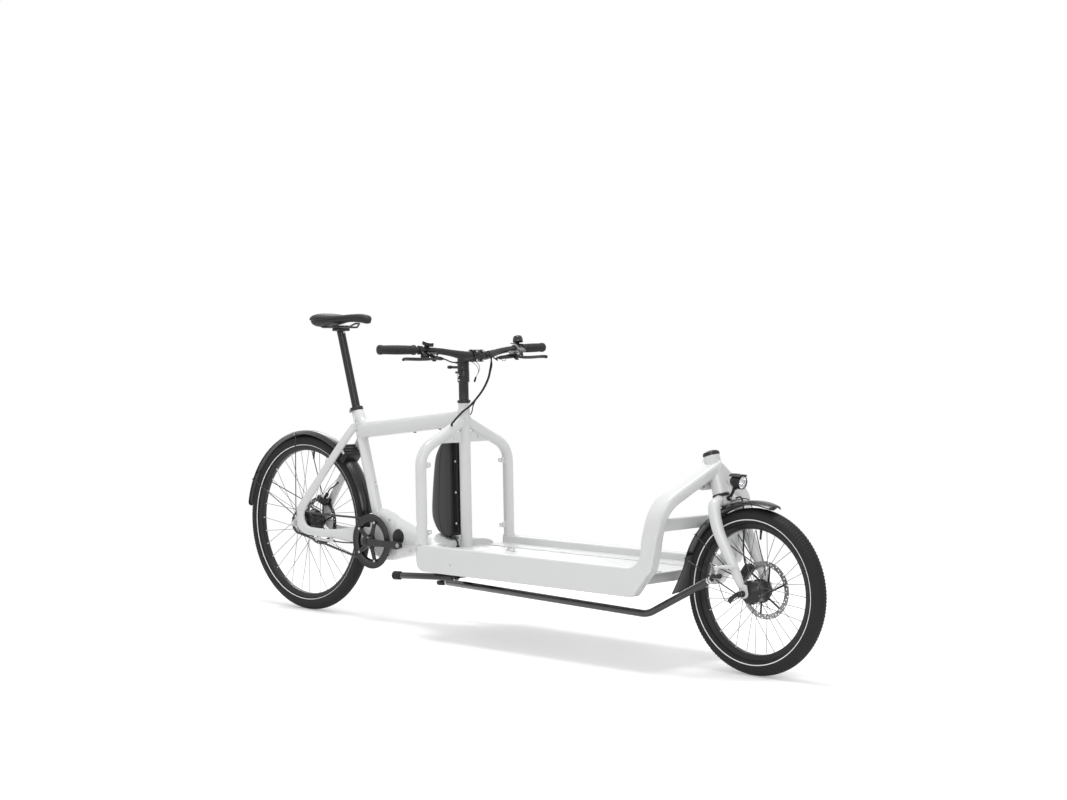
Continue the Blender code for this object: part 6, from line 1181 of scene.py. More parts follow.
lens_disc = lathe([(0, 28.5), (9, 28.2), (16, 27.2), (19.3, 26.2), (19.3, 25), (0, 25)], lamp_at, LAMP_AIM, 48)
emitter = block([4, 9, 6], lamp_at + LAMP_AIM * 0.006, corner=1.2)
row, t = meshgrid(linspace(0, 1, 13), linspace(-1, 1, 25), indexing="ij")
visor_top = lamp_at + stack([-0.015 + 0.05 * row - 0.006 * t**2 * row, (0.0155 + 0.0045 * sin(pi * row * 0.55)) * t,
                             0.024 - 0.0058 * abs(t) ** 2.2 - 0.0015 * row], -1)
visor = skin(concatenate([visor_top, visor_top[:, ::-1] - 0.0022 * Z], 1))
lamp_ahead = array([FRONT_HEAD_AXIS[2], 0, -FRONT_HEAD_AXIS[0]])
lamp_foot = down_head(20)[0] + lamp_ahead * 0.0229
lamp_arm = bent([*(lamp_at + mm([(-2, 0, -10), (-10, 0, -32)])), lamp_foot + 0.006 * X], 0.014)
add_piece("hooded_headlight", "fork_unit", {
    PLASTIC: [shell, visor, block([24, 20, 5], lamp_at + mm([-2, 0, 21.2]), corner=1.8),
              swept(lamp_arm, 0.0048, 0.0042, Y, 2.6, 24),
              lathe([(0, 11.2), (4.6, 11.2), (6.8, 10.4), (7.4, 9), (7.4, 0.4), (0, 0.4)], lamp_foot, lamp_ahead, 36),
              lathe(even([(0, -6.4), (5, -6.4), (5.6, -5.6)]), lamp_at + mm([-3, 0, -21.5]), Y, 28)],
    SILVERED: [bowl], LENS: [lens_disc], STRIPE: [emitter],
    STEEL: [screw(lamp_foot + lamp_ahead * 0.0108, lamp_ahead, 4.2, 3)]}, ["headlight"])


# Rear axle and the shift cable's bracket
# A solid steel axle with washers and nuts outside the dropouts. The hub's gear
# cable comes in under the right stay, through a folded plate and a clamp.

axle_parts = [lathe(even([(0, 85.8), (4.2, 85.8), (5, 85)]), REAR_AXLE, Y, 28)]
for side in (-1, 1):
    face = REAR_AXLE + side * 0.0738 * Y
    washer = [(5.2, 0), (10.8, 0), (11.5, 0.6), (11.5, 1.6), (10.8, 2.2), (5.2, 2.2)]
    axle_parts += [lathe(washer, face, side * Y, 40), hex_nut(face + side * 0.0022 * Y, side * Y, 9.8, 7.2, 5)]
add_piece("rear_axle_and_nuts", "frame", {STEEL: axle_parts}, ["rear_axle"])
keeper = plate(vstack([arc((0, 0), 0.0118, 100, 330, 20), mm([(20, -16.5), (34, -20), (34, -12), (16, -4)])]),
               0.0018, REAR_AXLE - 0.0571 * Y, [ring_of(0.0055, 20)])
bracket = [block(size, mm([x, -60, z]), corner=corner) for size, x, z, corner in (
    ([30, 5, 6], 112, 281, 1.6), ([100, 2.2, 8], 156, 277, 0.8), ([6, 8, 12], 109, 276.5, 1.4),
    ([6, 8, 11], 204, 276.5, 1.4), ([12, 4, 12], 125, 285, 1.2), ([12, 4, 12], 190, 282, 1.2))]
bracket[4:4] = [
    swept(mm([(70, -60, 284), (98, -60, 279), (106, -60, 277.6)]), 0.0012, sides=10),
    swept(mm([(108, -60, 277.2), (132, -60, 275.2), (166, -60, 274.2), (201, -60, 275.2)]), mm([2.2, 3.2, 3.2, 2.4]),
          sides=18),
    screw(mm([130, -61.2, 279.5]), -Y, 3, 2.2), screw(mm([188, -61.2, 279]), -Y, 3, 2.2),
]
cable = through(mm([(204, -60, 276.5), (230, -57, 274.5), (260, -49, 273.5), (295, -42, 274.5), (320, -38, 277),
                    (348, -35, 281)]))
inner = through(mm([(70.5, -60, 283.8), (40, -59.2, 293), (15, -58, 306), (8, -57, 318)]))
add_piece("shift_cable_bracket", "frame", {STEEL: [keeper, *bracket],
                                           RUBBER: [swept(cable, 0.0024, sides=12), swept(inner, 0.0022, sides=12)]})


# Chain
# Ninety-four links of black steel: pairs of waisted plates, inner and outer by
# turns, on rollers one pitch apart round both wheels.

PITCH, CHAIN_Y, LINKS = 0.0127, -0.0487, 94


def pitch_circle(teeth):
    return PITCH / 2 / sin(pi / teeth)


def chain_place(gone):
    """The place and direction at a distance along the closed line of two arcs and their two outer tangents."""
    big, small = pitch_circle(40), pitch_circle(20)
    front, rear = BB[[0, 2]], REAR_AXLE[[0, 2]]
    span = norm(front - rear)
    base = np.arctan2(*(front - rear)[::-1])
    lean = np.arccos((big - small) / span)
    straight = sqrt(span**2 - (big - small) ** 2)
    marks = cumsum([0, 2 * lean * big, straight, (2 * pi - 2 * lean) * small, straight])
    gone = asarray(gone) % marks[-1]
    on_big = polar(big, base + lean - gone / big, front)
    on_small = polar(small, base - lean - (gone - marks[2]) / small, rear)
    low = [polar(big, base - lean, front), polar(small, base - lean, rear)]
    up = [polar(small, base + lean, rear), polar(big, base + lean, front)]
    lower = low[0] + (low[1] - low[0]) * ((gone - marks[1]) / straight)[:, None]
    upper = up[0] + (up[1] - up[0]) * ((gone - marks[3]) / straight)[:, None]
    which = np.searchsorted(marks, gone, side="right")[:, None]
    return np.select([which == 1, which == 2, which == 3], [on_big, lower, on_small], upper), marks[-1]


_, chain_length = chain_place([0.0])
pins, _ = chain_place((arange(LINKS) + 0.25) * chain_length / LINKS)
left_round = polar(0.0039, radians([35, 65, 90, 115, 145, 180, 215, 245, 270, 295, 325]))
links, rollers = [], []
for number, (a, b) in enumerate(zip(pins, roll(pins, -1, 0))):
    way = unit(b - a)
    size = norm(b - a)
    shape = vstack([left_round, [(size / 2, -0.0026)], [size, 0] + left_round[::-1] * [-1, 1], [(size / 2, 0.0026)]])
    for side in (-1, 1):
        offset = (0.0037 if number % 2 else 0.0026) * side
        links.append(plate(shape, 0.0009, (a[0], CHAIN_Y + offset, a[1]), (), way[0] * X + way[1] * Z,
                           way[0] * Z - way[1] * X))
    rollers += [swept([(a[0], CHAIN_Y - half, a[1]), (a[0], CHAIN_Y + half, a[1])], radius, sides=sides)
                for half, radius, sides in ((0.0021, 0.0038, 12), (0.0046, 0.0018, 8))]
CHAIN_STEEL = finish("chain_steel", "black_anodised", (0.075, 0.075, 0.076), 0.34, 20, 0.4, 0.15, 0.12, 0.8)
add_piece("linked_chain", "frame", {CHAIN_STEEL: [*links, *rollers]}, ["chain"])


# Chainring, spider and cranks
# A forty-tooth ring behind a guard ring, bolted to a five-armed spider, with
# forged grey arms that carry steel inserts where the pedals screw in.

FORGED = finish("forged_crank_grey", "black_anodised", (0.045, 0.045, 0.046), 0.24, 30, 0.7, 0.06, 0.08, 0.7)
tooth = [(0, -3.8), (0.16, -3.4), (0.32, -0.4), (0.44, 1.2), (0.56, 1.2), (0.68, -0.4), (0.84, -3.4)]
teeth_edge = toothed(40, [(share, pitch_circle(40) * 1000 + rise) for share, rise in tooth])
teeth_ring = plate(teeth_edge, 0.0023, BB + CHAIN_Y * Y, [ring_of(0.067, 72)])
guard = lathe([(70, -55.3), (98.5, -55.3), (99, -55.8), (99, -57.2), (98.5, -57.7), (93.5, -57.7), (91.5, -57.1),
               (76, -57.1), (74.2, -57.7), (70.5, -57.7), (70, -57.2)], BB, Y, 144)
bolts_at = round_axle(BB, 0.0725, circle(5))
spacers = [swept([at + CHAIN_Y * Y, at + (CHAIN_Y - 0.0078) * Y], 0.0034, sides=16) for at in bolts_at]
ring_bolts = [screw(at - 0.0622 * Y, -Y, 4.4, 2.2) for at in bolts_at]
add_piece("guarded_chainring", "cranks", {BLACK: [teeth_ring, guard, *spacers]}, ["chainring"])

CRANK_Y, CRANK = 0.082, 0.172


def forged_arm(side):
    """An arm: half widths on a smooth curve along it, in shares of its length, both ends closed by that curve."""
    smooth = through(array([
        (-0.108, 1), (-0.1, 7.5), (-0.07, 15), (-0.02, 18.8), (0.04, 18.2), (0.12, 15), (0.28, 12.6), (0.45, 11.5),
        (0.65, 11.5), (0.8, 12.2), (0.92, 14.2), (0.985, 14.2), (1.04, 10.8), (1.065, 6.2), (1.072, 0.8),
    ]) * [CRANK, 0.001], 5)
    outline = vstack([smooth, smooth[::-1] * [1, -1]])[::side] * [-side, 1]
    return plate(outline, 0.0125, BB + side * CRANK_Y * Y, [ring_of(0.0074, 36, (-side * CRANK, 0.0))])


inserts = [lathe([(5.8, -6.4), (7.4, -6.4), (7.4, 6.4), (6.2, 6.4), (5.8, 6)], BB + [-side * CRANK, side * CRANK_Y, 0],
                 side * Y, 40)
           for side in (-1, 1)]
tips = polar(0.078, circle(5)[:, None] + linspace(-0.105, 0.105, 7))
part = linspace(0, 1, 15)[1:-1]
far = 0.0255 + 0.04 * abs(2 * part - 1) ** 5.5 + 0.004 * abs(2 * part - 1)
hollows = polar(far, circle(5)[:, None] + 0.105 + (2 * pi / 5 - 0.21) * part)
spider = plate(concatenate([tips, hollows], 1).reshape(-1, 2), 0.004, BB - 0.0601 * Y)
boss = lathe([(0, -60.2), (23.5, -60.2), (24, -62.5), (21.5, -68), (19.8, -74), (19.2, -80), (0, -80)], BB, Y, 56)
left_boss = lathe([(0, 66.2), (17.8, 66.2), (18.5, 67), (19, 76), (0, 80)], BB, Y, 56)
spindle = swept([BB - 0.078 * Y, BB + 0.066 * Y], 0.012, sides=40)
right_cap, left_cap = (lathe([(0, 3), (5, 3), (5, 1.2), (6, 1.2), (6, 3.4), (10.5, 3), (11.8, 1.8), (12, 0), (0, 0)],
                             BB + side * (CRANK_Y + 0.006) * Y, side * Y, 40) for side in (-1, 1))
add_piece("right_arm_and_spider", "cranks",
          {FORGED: [forged_arm(-1), boss], BLACK: [spider, right_cap], STEEL: [spindle]},
          ["right_crank"], bevel=0.0026)
add_piece("left_arm", "cranks", {FORGED: [forged_arm(1), left_boss], BLACK: [left_cap]}, ["left_crank"], bevel=0.0026)
add_piece("crank_bolts_and_inserts", "cranks", {STEEL: [*ring_bolts, *inserts]})


# Steering column, its arm and the rod
# A flat arm on the column's foot pushes a black tube that runs under the bed to
# the fork. Each end has a threaded steel neck, a lock nut and a ball joint.

ROD_Y, ROD = -0.125, 0.0115
REAR_BALL = array([0.843, ROD_Y, 0.186])
hub_at = column_at(0.2)
arm_end = array([REAR_BALL[0], ROD_Y, 0.2025])
steer_arm = through([hub_at + 0.004 * Y, hub_at - 0.014 * Y,
                     *(hub_at + (arm_end - hub_at) * share for share in (0.35, 0.7, 1)), arm_end - 0.011 * Y], 6)
column_parts = [
    swept([column_at(0.226), COLUMN_TOP + COLUMN_AXIS * 0.074, COLUMN_TOP + COLUMN_AXIS * 0.0748], mm([15, 15, 14.2]),
          sides=40),
    lathe([(0, -4), (17.6, -4), (19, -2.6), (19, 19), (18.2, 20), (18.2, 22.5), (19, 23.5), (19, 34.5), (18.2, 35.5),
           (0, 35.5)], hub_at, COLUMN_AXIS),
    swept(steer_arm, graded(steer_arm, [0, 0.2, 0.4, 0.8, 0.95, 1], [19, 18.5, 15, 10.5, 9.5, 6]),
          graded(steer_arm, [0, 1], [4.2, 3.5]), X, 3.6, 36, ends=0.002),
]
column_steel = [
    swept(REAR_BALL + mm([23.5, 10, 0])[:, None] * Z, mm([4.5, 4.5, 7]), sides=20),
    hex_nut(arm_end + 0.0036 * Z, Z, 8, 5.8, 4.5),
    *(screw(hub_at + mm([18, -4, z]), X, 3.4, 3) for z in (12, 28)),
]
add_piece("column_and_arm", "cockpit", {BLACK: column_parts, STEEL: column_steel}, ["steering_column"])

rod_back = REAR_BALL + [0.03, 0, 0.004]
rod_bend = from_front([-328, -125, 169])
rod_front = FRONT_BALL + [-0.034, 0, -0.02]
rod_rise = unit(rod_front - rod_bend)
ROD_BLACK = finish("rod_gloss_black", "black_anodised", (0.012, 0.012, 0.013), 0.16, 20, 3, 0, 0.04, coat=0.5)
rod_tube = swept(bent([rod_back, rod_bend, rod_front], 0.1, 14), ROD, sides=40, ends=0.003)
thread = rod_front + rod_rise * (0.0005 + linspace(0, 0.02, 60))[:, None]
rod_steel = [
    swept(thread, 0.0062 + 0.0004 * (arange(60) % 3 - 1), sides=24),
    hex_nut(rod_front + rod_rise * 0.0004, rod_rise, 11.2, 6.2),
    hex_nut(rod_front + rod_rise * 0.0105, rod_rise, 11.2, 5.8),
    swept([rod_back - 0.001 * X, REAR_BALL + mm([12, 0, 1.2])], 0.0062, sides=24),
    hex_nut(rod_back - 0.0002 * X, [-1, 0, -0.05], 10.8, 5.5),
]
eyes, rings = [], []
for centre, neck in ((REAR_BALL, rod_back), (FRONT_BALL, rod_front)):
    eye = [(10.5, 6.5), (15, 6.5), (16.5, 5.2), (17.2, 2)]
    eyes += [lathe(even(eye) + [(11.2, -4), (11.5, 0), (11.2, 4)], centre, Z),
             swept(centre + unit(neck - centre) * mm([15, 18.5, 22.5])[:, None], mm([6.8, 8, 7.8]), sides=28)]
    rings += [lathe(profile, centre, Z, 40) for profile in (
        [(9.8, -6.6), (12.8, -6.6), (13.4, -7.4), (12.8, -8.6), (9.8, -8.6)],
        [(0, -9.2), (4, -9), (7.6, -7), (9.4, -3), (9.8, 0), (9.4, 3), (7.8, 5.8), (5, 8), (0, 8.4)])]
add_piece("cranked_steering_rod", "rod", {ROD_BLACK: [rod_tube], BLACK: eyes, STEEL: [*rod_steel, *rings]},
          ["steering_rod"])


# Riser and stem
# A black post on the head tube, fluted between its flange and its clamp sleeve,
# and a forged stem whose ridged face plate is held by four steel bolts.

rays = rays_round(COLUMN_AXIS, circle(144), X)
flute = 1.1 * (0.5 + 0.5 * cos(circle(144) * 18))
riser_rows = [(15.7, 0), (22.2, 0), (23, 1), (23.5, 5.5), (22.8, 9), (17.6, 11.8), (17.2, 13.2), (17.2, 15), (17.2, 67),
              (17.2, 68.8), (17.6, 70.4), (20.4, 72.2), (21, 73.2), (21, 88), (20.3, 88.4), (20.3, 90), (21, 90.4),
              (21, 110), (20.6, 111.2), (0, 111.2)]
riser = skin([COLUMN_TOP + COLUMN_AXIS * mm(h + 0.3) + mm(r - (15 <= h <= 67) * flute)[:, None] * rays
              for r, h in riser_rows], caps=False)
knob = [lathe([(0, 8.5), (4, 8.5), (5.2, 7.4), (5.2, 3.4), (3.6, 2.6), (3.6, -1), (0, -1)],
              COLUMN_TOP + COLUMN_AXIS * 0.0965 - 0.02 * Y, -Y, 32),
        screw(COLUMN_TOP + COLUMN_AXIS * 0.08 - 0.02 * Y, -Y, 3.6, 3)]
add_piece("fluted_riser", "cockpit", {BLACK: [riser], STEEL: knob}, ["steering_riser"])

STEM_FOOT = COLUMN_TOP + COLUMN_AXIS * 0.1116
CLAMP = array([0.885, 0, 0.965])
stem_body = lathe([(0, 0), (19, 0), (20.3, 1.2), (20.5, 6), (20.5, 13), (20, 13.6), (20, 15), (20.5, 15.6), (20.3, 50),
                   (19.5, 62.2), (18.2, 65), (17, 66), (9, 66.8), (6, 66), (0, 66)], STEM_FOOT, COLUMN_AXIS, 56)
reach_from = STEM_FOOT + COLUMN_AXIS * 0.046
reach_line = reach_from + (CLAMP - 0.004 * X - reach_from) * linspace(0, 1, 9)[:, None]
reach = swept(reach_line, graded(reach_line, [0, 0.5, 0.85, 1], [19, 16.5, 18, 19]),
              graded(reach_line, [0, 0.45, 0.8, 1], [18, 16.5, 21.5, 22.8]), Z, 3.0, 40)
clamp_ring = lathe(even([(16.2, -23.5), (20.8, -23.5), (21.9, -22.4)]), CLAMP, Y, 64)
face = [block([4.2, 40, 3.4], CLAMP + mm([21.4 - 0.8 * abs(k), 0, 6 * k]), turned_about(Y, k * 15.0), 1.2)
        for k in (-1, 0, 1)]
bolts_at = [(y, z) for y in (-15, 15) for z in (-15.5, 15.5)]
bolt_seats = [lathe([(0, 0), (6, 0), (5.8, 13), (5, 14.2), (0, 14.2)], CLAMP + mm([6, *at]), X, 28) for at in bolts_at]
stub = [swept(STEM_FOOT + mm(line), radius, sides=sides, ends=ends) for line, radius, sides, ends in (
    ([(-10, -6, 12), (-44, -12.8, 12)], 0.0048, 24, 0.001), ([(-45, -13.6, 12), (-60, -16, 12)], 0.006, 28, 0.0014),
    ([(-12, -4, -6), (-30, -8.5, -6)], 0.004, 20, 0.001))]
ears = [block([13, 10, 8.5], STEM_FOOT + mm([-22.5, s * 7.2, h]), corner=2) for s in (-1, 1) for h in (28, 48)]
stem_bolts = [screw(CLAMP + mm([19.8, *at]), X, 3.6, 2.8) for at in bolts_at]
stem_bolts += [screw(STEM_FOOT + mm([-23, -12, h]), -Y, 3.4, 3) for h in (28, 48)]
add_piece("forged_stem", "cockpit",
          {BLACK: [stem_body, reach, clamp_ring, *face, *bolt_seats, *stub, *ears], STEEL: stem_bolts}, ["stem"])


# Handlebar and grips
# A butted aluminium bar, swept back and up, with soft rubber grips: a ribbed
# sleeve between two plain rings, closed by a plug at the end.

BAR_HALF, GRIP = 0.401, 0.145
bar_nodes = mm([(885, 0, 965, 15.9), (885, 40, 965, 15.9), (882, 66, 968, 15), (875, 110, 975.5, 12),
                (869, 150, 981.5, 11.1), (862.5, 185, 984.5, 11.1), (827 + 58 * GRIP * 1.18 / BAR_HALF, 256, 987, 11.1),
                (827, 401, 989, 11.1)])
half_bar = vstack([through(bar_nodes[:5], 6), bar_nodes[5:]])
half_bar[-1, :3] -= unit(bar_nodes[-1, :3] - bar_nodes[-2, :3]) * 0.0038
whole_bar = vstack([half_bar[:0:-1] * [1, -1, 1, 1], half_bar])
add_piece("butted_handlebar", "cockpit", {BLACK: [swept(whole_bar[:, :3], whole_bar[:, 3], lead=Z, sides=40)]},
          ["handlebar"])


def bar_at(y):
    """The bar's centre and outward direction at that y."""
    side, nodes = (-1 if y < 0 else 1), bar_nodes[:, :3]
    k = min(np.searchsorted(nodes[:, 1], abs(y), side="right") - 1, len(nodes) - 2)
    a, b = nodes[k], nodes[k + 1]
    return (a + (b - a) * (abs(y) - a[1]) / (b[1] - a[1])) * [1, side, 1], unit(b - a) * [1, side, 1]


GRIP_RUBBER = finish("grip_rubber", "grip_rubber", 0.024, 0.6, 80, 0.7, 0.08, 0.08, shine=0.3)
g = GRIP * 1000
along = mm([0, 0, 0.8, 3.5, 13, 13.8, 14.2, 15, *linspace(15.8, g - 11.5, 300), g - 10.5, g - 9.5, g - 8.5, g - 1, g,
            g])
radius = interp(along, mm([0, 0.8, 3.5, 13, 13.8, 14.2, 15.5, 40, 75, 110, g - 11, g - 10, g - 9, g - 1, g]),
                mm([13, 14.8, 16.5, 16.5, 16, 15, 15, 15.6, 16, 15.5, 14.8, 15.8, 17, 17, 16.2]))
radius[0], radius[-1] = 0.0, 0.0115
place, about = meshgrid(along, circle(120), indexing="ij")
knurl = maximum(*(abs(cos(place / 0.0034 * pi + lean * about * 6)) for lean in (1, -1))) ** 6
grip_reach = radius[:, None] - 0.00075 * knurl * ramp(place, 0.018, 0.004) * ramp(GRIP - 0.014 - place, 0, 0.004)
for side, hand in HANDS:
    end, outward = bar_at(side * (BAR_HALF - 0.001))
    grip = end - place[..., None] * outward + grip_reach[..., None] * rays_round(outward, about, Z)
    sleeve = add_piece(f"ribbed_{hand}_grip", "cockpit", {GRIP_RUBBER: [skin(grip, caps=False)]}, [f"{hand}_grip"],
                       sharp=60)


# Brake levers
# A forged body on each side of the bar with its cylinder and a black blade on a
# steel pin. The left one's reservoir cap is of a paler grey.

LEVER_TURN = turned_about(Y, 33)
PALE_GREY = finish("pale_grey_casting", None, (0.17, 0.17, 0.172), 0.45, 40, 0.6, 0.06, 0.08, 0.3)
up = LEVER_TURN @ Z
hose_starts = []
for (side, hand), ring_y in zip(HANDS, (0.236, 0.224)):
    bar_centre, outward = bar_at(side * ring_y)

    def at(x, out, z):
        return bar_centre + LEVER_TURN @ mm([x, side * out, z])

    outer, inner = at(31, 12, -4), at(26.2, -92, -19)
    barrel = outer + (inner - outer) * array([0, 0.02, 0.1, 0.55, 0.66, 0.7, 0.9, 0.985, 1])[:, None]
    clamp = lathe(even([(11.4, -6.5), (15, -6.5), (15.6, -5.8)]), bar_centre, outward)
    cylinder = swept(barrel, mm([7.2, 8.2, 8.4, 8.2, 7.8, 7, 6.6, 6.2, 5]), sides=36)
    arm, *yoke, cap, wing = (block(size, at(*spot), LEVER_TURN, corner) for size, spot, corner in (
        ([24, 12, 13], (20, 0, -2), 3), ([10, 16, 20], (35.5, -30, 0), 2.4), ([22, 16, 4], (44.5, -30, 8.5), 1.6),
        ([22, 16, 4], (44.5, -30, -8.5), 1.6), ([17, 43, 6], (28.5, -34, 3.8), 2.2), ([21, 30, 10], (19, 12, 8), 3)))
    steel = [screw(at(28.5, out, 6.2), up, 1.7, 1) for out in (-18, -50)]
    steel += [lathe([(0, 0), (4.2, 0), (4.2, 1), (3, 1.6), (0, 1.6)], at(48, -30, s * 10.4), up * s, 24)
              for s in (-1, 1)]
    steel.append(screw(at(-15, 0, -2), LEVER_TURN @ -X, 3, 2.4))
    stuff = {BLACK: [clamp, cylinder, arm, *yoke, cap]} if side < 0 else {
        BLACK: [cylinder, *yoke], PALE_GREY: [clamp, arm, cap, wing]}
    add_piece(f"forged_{hand}_brake_body", "cockpit", {**stuff, STEEL: steel}, [f"{hand}_brake_body"])
    blade = through([at(*spot)
                     for spot in ((49, -30, 0), (54, 2, 0), (53, 40, -1), (49, 85, -2), (50, 107, -1), (55, 120, 0))])
    tall = graded(blade, [0, 0.2, 0.4, 0.8, 0.93, 1], [4.4, 5.2, 6, 6.2, 6, 4.8])
    thin = graded(blade, [0, 0.2, 0.4, 0.6, 0.8, 1], [4, 4.5, 3.2, 3, 3.4, 4.6])
    eye = lathe(even([(0, -6), (5, -6), (5.6, -5.4)]), at(48, -30, 0), up, 32)
    adjuster = swept([at(45, -10, 0), at(54, -10, 0)], 0.003, sides=18, ends=0.0006)
    add_piece(f"bladed_{hand}_lever", f"{hand}_lever",
              {BLACK: [swept(blade, tall, thin, up, 2.6, 28, ends=0.003), eye], STEEL: [adjuster]},
              [f"{hand}_brake_lever"])
    hose_starts.append((inner, unit(inner - outer)))


# Display, shifter and bell
# The display is a black plastic pod on a strap round the bar, the shifter hangs
# under it, and the bell is a turned dome on a stalk with a sprung striker.

pod_at, pod_way = bar_at(-0.21)
pod_turn = turned_about(Y, np.degrees(0.25))
pod_face = pod_at + mm([4, 4, 21.5])
pod = [
    lathe(even([(11.4, -6), (14.6, -6), (15.1, -5.4)]), pod_at, pod_way),
    block([14, 11, 11], pod_at + mm([2, 0, 16.5])), block([34, 26, 13], pod_face, pod_turn, 3.4),
    block([26, 12, 12], pod_at + mm([-6, 0, -19]), corner=3.2),
]
SCREEN = finish("display_glass", None, (0.012, 0.013, 0.015), 0.08, 10, 4, 0, 0.02, coat=0.8)
screen = block([26, 19, 0.8], pod_face + pod_turn @ Z * 0.0065, pod_turn, 0.3)
buttons = [block([5, 6, 1.2], pod_face + pod_turn @ mm([x, -12.8, 0]), pod_turn @ turned_about(X, 90), 0.5)
           for x in (-7, 7)]
add_piece("display_and_shifter", "cockpit", {
    PLASTIC: pod, SCREEN: [screen], DARK_METAL: buttons, STEEL: [screw(pod_at + mm([14.2, 0, -8]), X, 2.2, 1.8)]},
    ["display_pod"])
shift_at = pod_at + mm([-8, 0, -28.2])
paddle = through(shift_at + mm([(-2, 2, 0), (-18, 12, -1), (-27, 22, 0)]), 6)
add_piece("thumb_paddle", "shifter", {PLASTIC: [
    lathe([(0, -2.8), (6.4, -2.8), (7.5, -2), (7.5, 2.6), (0, 2.6)], shift_at, Z, 32),
    swept(paddle, graded(paddle, [0, 1], [2, 2.6]), graded(paddle, [0, 0.6, 1], [5.5, 5, 7.5]), Z, 2.6, 24, ends=0.002),
]}, ["shift_lever"])
bell_at, bell_way = bar_at(0.245)
bell_up = unit([-0.18, 0.1, 0.98])
BELL_BLACK = finish("bell_black", "black_anodised", (0.02, 0.02, 0.021), 0.2, 10, 2, 0, 0.05, 0.4, 0.4)
dome = lathe([(0, 24.2), (4, 24.1), (8, 23.5), (11.8, 22), (14.6, 19.5), (16.6, 16), (17.8, 11.5), (18.4, 5),
              (18.7, 0.6), (18.4, -0.4), (17.6, -0.4), (17.2, 3), (15.8, 13), (12, 18),
              (0, 20)], bell_at + bell_up * 0.024, bell_up,
              64)
bell_clamp = lathe(even([(11.4, -5), (14.2, -5), (14.8, -4.4)]), bell_at, bell_way, 40)
stalk = lathe([(0, 12), (7.5, 12), (6.2, 15), (5.2, 18), (5.2, 25), (0, 25)], bell_at, bell_up, 32)
add_piece("domed_bell", "cockpit", {
    BELL_BLACK: [dome, bell_clamp, stalk], STEEL: [screw(bell_at + bell_up * 0.048, bell_up, 2.4, 1.4, False)]},
    ["bell"])
striker_at = bell_at + bell_up * 0.0195 - unit([bell_up[2], 0, -bell_up[0]]) * 0.0097
striker = through(striker_at + mm([(-1, 0, 0), (-10, -4, 0), (-18.5, -10, 1)]), 6)
add_piece("bell_thumb_striker", "bell_striker", {BELL_BLACK: [
    lathe(even([(0, -2.2), (3.6, -2.2)]), striker_at, bell_up, 24),
    swept(striker, 0.0018, graded(striker, [0, 0.5, 1], [2.6, 2.4, 4]), bell_up, 2.6, 20, ends=0.001)]}, ["bell_lever"])


# Brake and gear hoses
# Black rubber hoses from the two cylinders, gathered in front of the stem and led
# down into the right shoulder tube.

HOSE_END_Z = 0.709
SLOPE = array([0, -sin(SHOULDER_SLOPE), cos(SHOULDER_SLOPE)])
hose_out = unit(0.6 * X + SLOPE * 0.8)
hose_end = shoulder_point(-(TUBE + (SHOULDER_JOIN - HOSE_END_Z) / tan(SHOULDER_SLOPE)), HOSE_END_Z)
hose_end = hose_end + hose_out * (SHOULDER + 0.0015)
route = mm([(908, 53, 964), (909, 52.5, 938), (907.5, 48, 912), (905, 40, 883), (897, 24, 848), (886, 3, 817),
            (874, -19, 790), (862, -42, 771)])
bundle = vstack([route, hose_end + hose_out * 0.014, hose_end])
hoses = []
for (side, _), (start, away), middle in zip(HANDS, hose_starts, (
    [(904, -128, 944), (912, -89, 947), (917, -56, 953), (917.5, -20, 964), (913, 18, 974), (907, 43, 977)],
    [(897, 95, 948), (901, 75, 956), (906, 60, 964)],
)):
    line = vstack([start + away * 0.0012, start + away * 0.014, mm(middle), bundle[1:] - side * 0.0022 * X])
    hoses.append(swept(through(line), 0.0023, sides=14))
branch = vstack([bundle[4:6] + [0.003, 0, 0.003], mm([(870, 3, 793), (856, 11, 772), (844, 15, 759)])])
hoses.append(swept(through(branch), 0.0019, sides=12))
hoses += [swept(through(mm(wire)), 0.0009, sides=8) for wire in (
    [(885, -20, 945), (898, -8, 930), (904, -5, 913), (904, -12, 899), (903, -16.5, 892)],
    [(890, -5, 946), (899, 4, 930), (903, -1, 913), (903.5, -11, 900), (903.2, -15.5, 892)],
    [(886, 86, 970), (902, 89, 961), (906, 104, 950), (900, 129, 946), (886, 148, 952), (872, 156, 957.8)])]
wraps = [swept(through(bundle)[i:i + 3], 0.0052, 0.0036, X, sides=20, ends=0.0006) for i in (14, 44)]
plug = lathe([(0, 0), (2.2, 0), (3, 3), (3.6, 11), (3.4, 17), (2, 19), (0, 19)], mm([903, -16.5, 892.5]),
             [-0.1, -0.35, -1], 24)
collars = [swept([start + away * 0.0006, start + away * 0.009], 0.0038, sides=20, ends=0.0008)
           for start, away in hose_starts]
flexing = add_piece("bar_hoses", None, {RUBBER: hoses, PLASTIC: [*wraps, plug, *collars]}, ["handlebar_hoses"])
still, turning = (tuple(array([*hose_end[:2], z]) + REAR_HUB) for z in (0.745, 0.935))
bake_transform(flexing)
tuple(still)
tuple(turning)


# Saddle
# A foam pad under a stretched black cover on a moulded plastic base. Its wide tail
# narrows to the nose, a channel runs down its middle, and a seam follows its edge.

